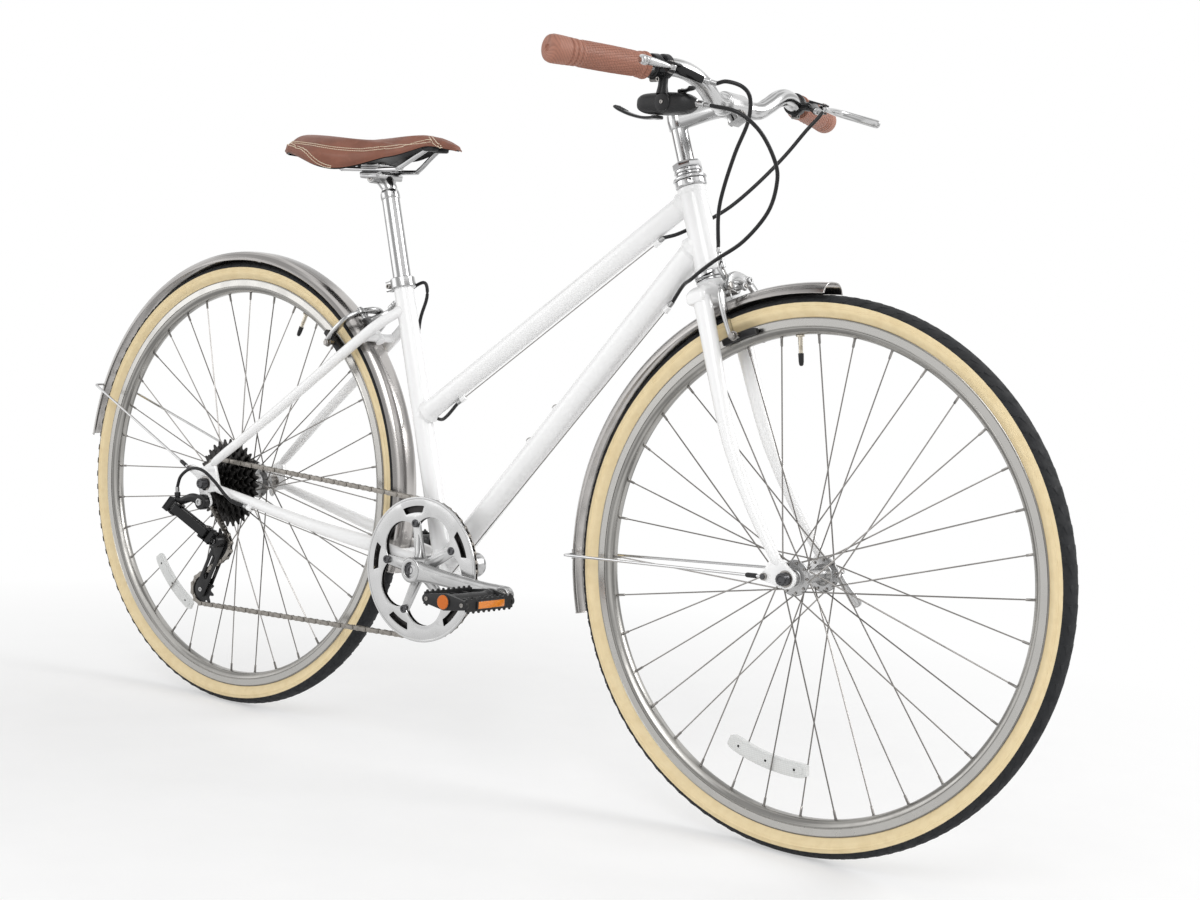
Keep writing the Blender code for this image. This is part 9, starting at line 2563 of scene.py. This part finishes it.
class CITYBIKE_OT_fenders(bpy.types.Operator):
    """Builds both fenders and their wire stays."""

    bl_idname = "city_bike.fenders"
    bl_label = "Fenders"
    bl_options = {"REGISTER", "UNDO"}

    def execute(self, context):
        build_fender(FRONT_AXLE, "steering", radians(90), radians(196), "front_fender_sheet",
                     "front_fender")
        build_fender(REAR_AXLE, "frame", radians(-15), REAR_FENDER_TO, "rear_fender_sheet", "rear_fender")
        front_eye = FRONT_AXLE + STEER_FWD * -0.0285 + STEER_UP * 0.009
        front = (FRONT_AXLE, radians(183.4), front_eye, FRONT_DROPOUT_Y, "steering", "front")
        rear = (REAR_AXLE, radians(159.57), eyelet_point(), REAR_DROPOUT_Y, "frame", "rear")
        for axle, angle, eye, y, body, label in (front, rear):
            build_stay(axle, angle, eye, y + DROPOUT_T + GAP + 0.002, body, label + "_stay_wire",
                       label + "_fender_stay")
        return {"FINISHED"}


class CITYBIKE_OT_drive(bpy.types.Operator):
    """Builds the chainring, guard, cranks, pedals, cassette and chain."""

    bl_idname = "city_bike.drive"
    bl_label = "Drive"
    bl_options = {"REGISTER", "UNDO"}

    def execute(self, context):
        build_cassette_piece()
        build_chainrings()
        build_crank_axle()
        for side in (1, -1):
            build_crank(side)
            build_pedal_piece(side)
        build_chain_piece()
        return {"FINISHED"}


class CITYBIKE_OT_derailleur(bpy.types.Operator):
    """Builds the knuckles, links, cage and pulleys."""

    bl_idname = "city_bike.derailleur"
    bl_label = "Rear derailleur"
    bl_options = {"REGISTER", "UNDO"}

    def execute(self, context):
        build_derailleur_pieces()
        return {"FINISHED"}


class CITYBIKE_OT_brakes(bpy.types.Operator):
    """Builds the four caliper arms with their shoes."""

    bl_idname = "city_bike.brakes"
    bl_label = "Brakes"
    bl_options = {"REGISTER", "UNDO"}

    def execute(self, context):
        for rear in (False, True):
            for which in ("centre", "side"):
                build_caliper_arm(rear, which)
        return {"FINISHED"}


class CITYBIKE_OT_cockpit(bpy.types.Operator):
    """Builds the stem, handlebar, grips, brake levers and shifter."""

    bl_idname = "city_bike.cockpit"
    bl_label = "Cockpit"
    bl_options = {"REGISTER", "UNDO"}

    def execute(self, context):
        build_stem()
        build_bar()
        for side in (1, -1):
            build_grip_piece(side)
            build_lever(side)
        build_shifter_pieces()
        return {"FINISHED"}


class CITYBIKE_OT_saddle(bpy.types.Operator):
    """Builds the padded cover with its seams, the shell, the rails and the post."""

    bl_idname = "city_bike.saddle"
    bl_label = "Saddle"
    bl_options = {"REGISTER", "UNDO"}

    def execute(self, context):
        build_saddle_piece(looks())
        return {"FINISHED"}


class CITYBIKE_OT_cables(bpy.types.Operator):
    """Builds the housings and the bare wires."""

    bl_idname = "city_bike.cables"
    bl_label = "Cables"
    bl_options = {"REGISTER", "UNDO"}

    def execute(self, context):
        build_cable_pieces()
        return {"FINISHED"}


class CITYBIKE_OT_stage(bpy.types.Operator):
    """Makes the floor, the lights and the camera."""

    bl_idname = "city_bike.stage"
    bl_label = "Stage"
    bl_options = {"REGISTER", "UNDO"}

    def execute(self, context):
        build_stage(looks())
        return {"FINISHED"}


class CITYBIKE_PT_panel(bpy.types.Panel):
    """The bike's looks and its building steps."""

    bl_label = "City bike"
    bl_space_type = "VIEW_3D"
    bl_region_type = "UI"
    bl_category = "City bike"

    def draw(self, context):
        layout = self.layout
        for name in CityBikeLooks.__annotations__:
            layout.prop(context.scene.city_bike, name)
        for step in STEPS:
            layout.operator(step.bl_idname)


STEPS = (CITYBIKE_OT_finishes, CITYBIKE_OT_frame, CITYBIKE_OT_fork, CITYBIKE_OT_wheels, CITYBIKE_OT_fenders,
         CITYBIKE_OT_drive, CITYBIKE_OT_derailleur, CITYBIKE_OT_brakes, CITYBIKE_OT_cockpit,
         CITYBIKE_OT_saddle, CITYBIKE_OT_cables, CITYBIKE_OT_stage)
CLASSES = (CityBikeLooks, *STEPS, CITYBIKE_PT_panel)


def register():
    for cls in CLASSES:
        bpy.utils.register_class(cls)
    bpy.types.Scene.city_bike = PointerProperty(type=CityBikeLooks)


def unregister():
    del bpy.types.Scene.city_bike
    for cls in reversed(CLASSES):
        bpy.utils.unregister_class(cls)


def main():
    register()
    for step in STEPS:
        group, name = step.bl_idname.split(".")
        getattr(getattr(bpy.ops, group), name)()


if __name__ == "__main__":
    main()
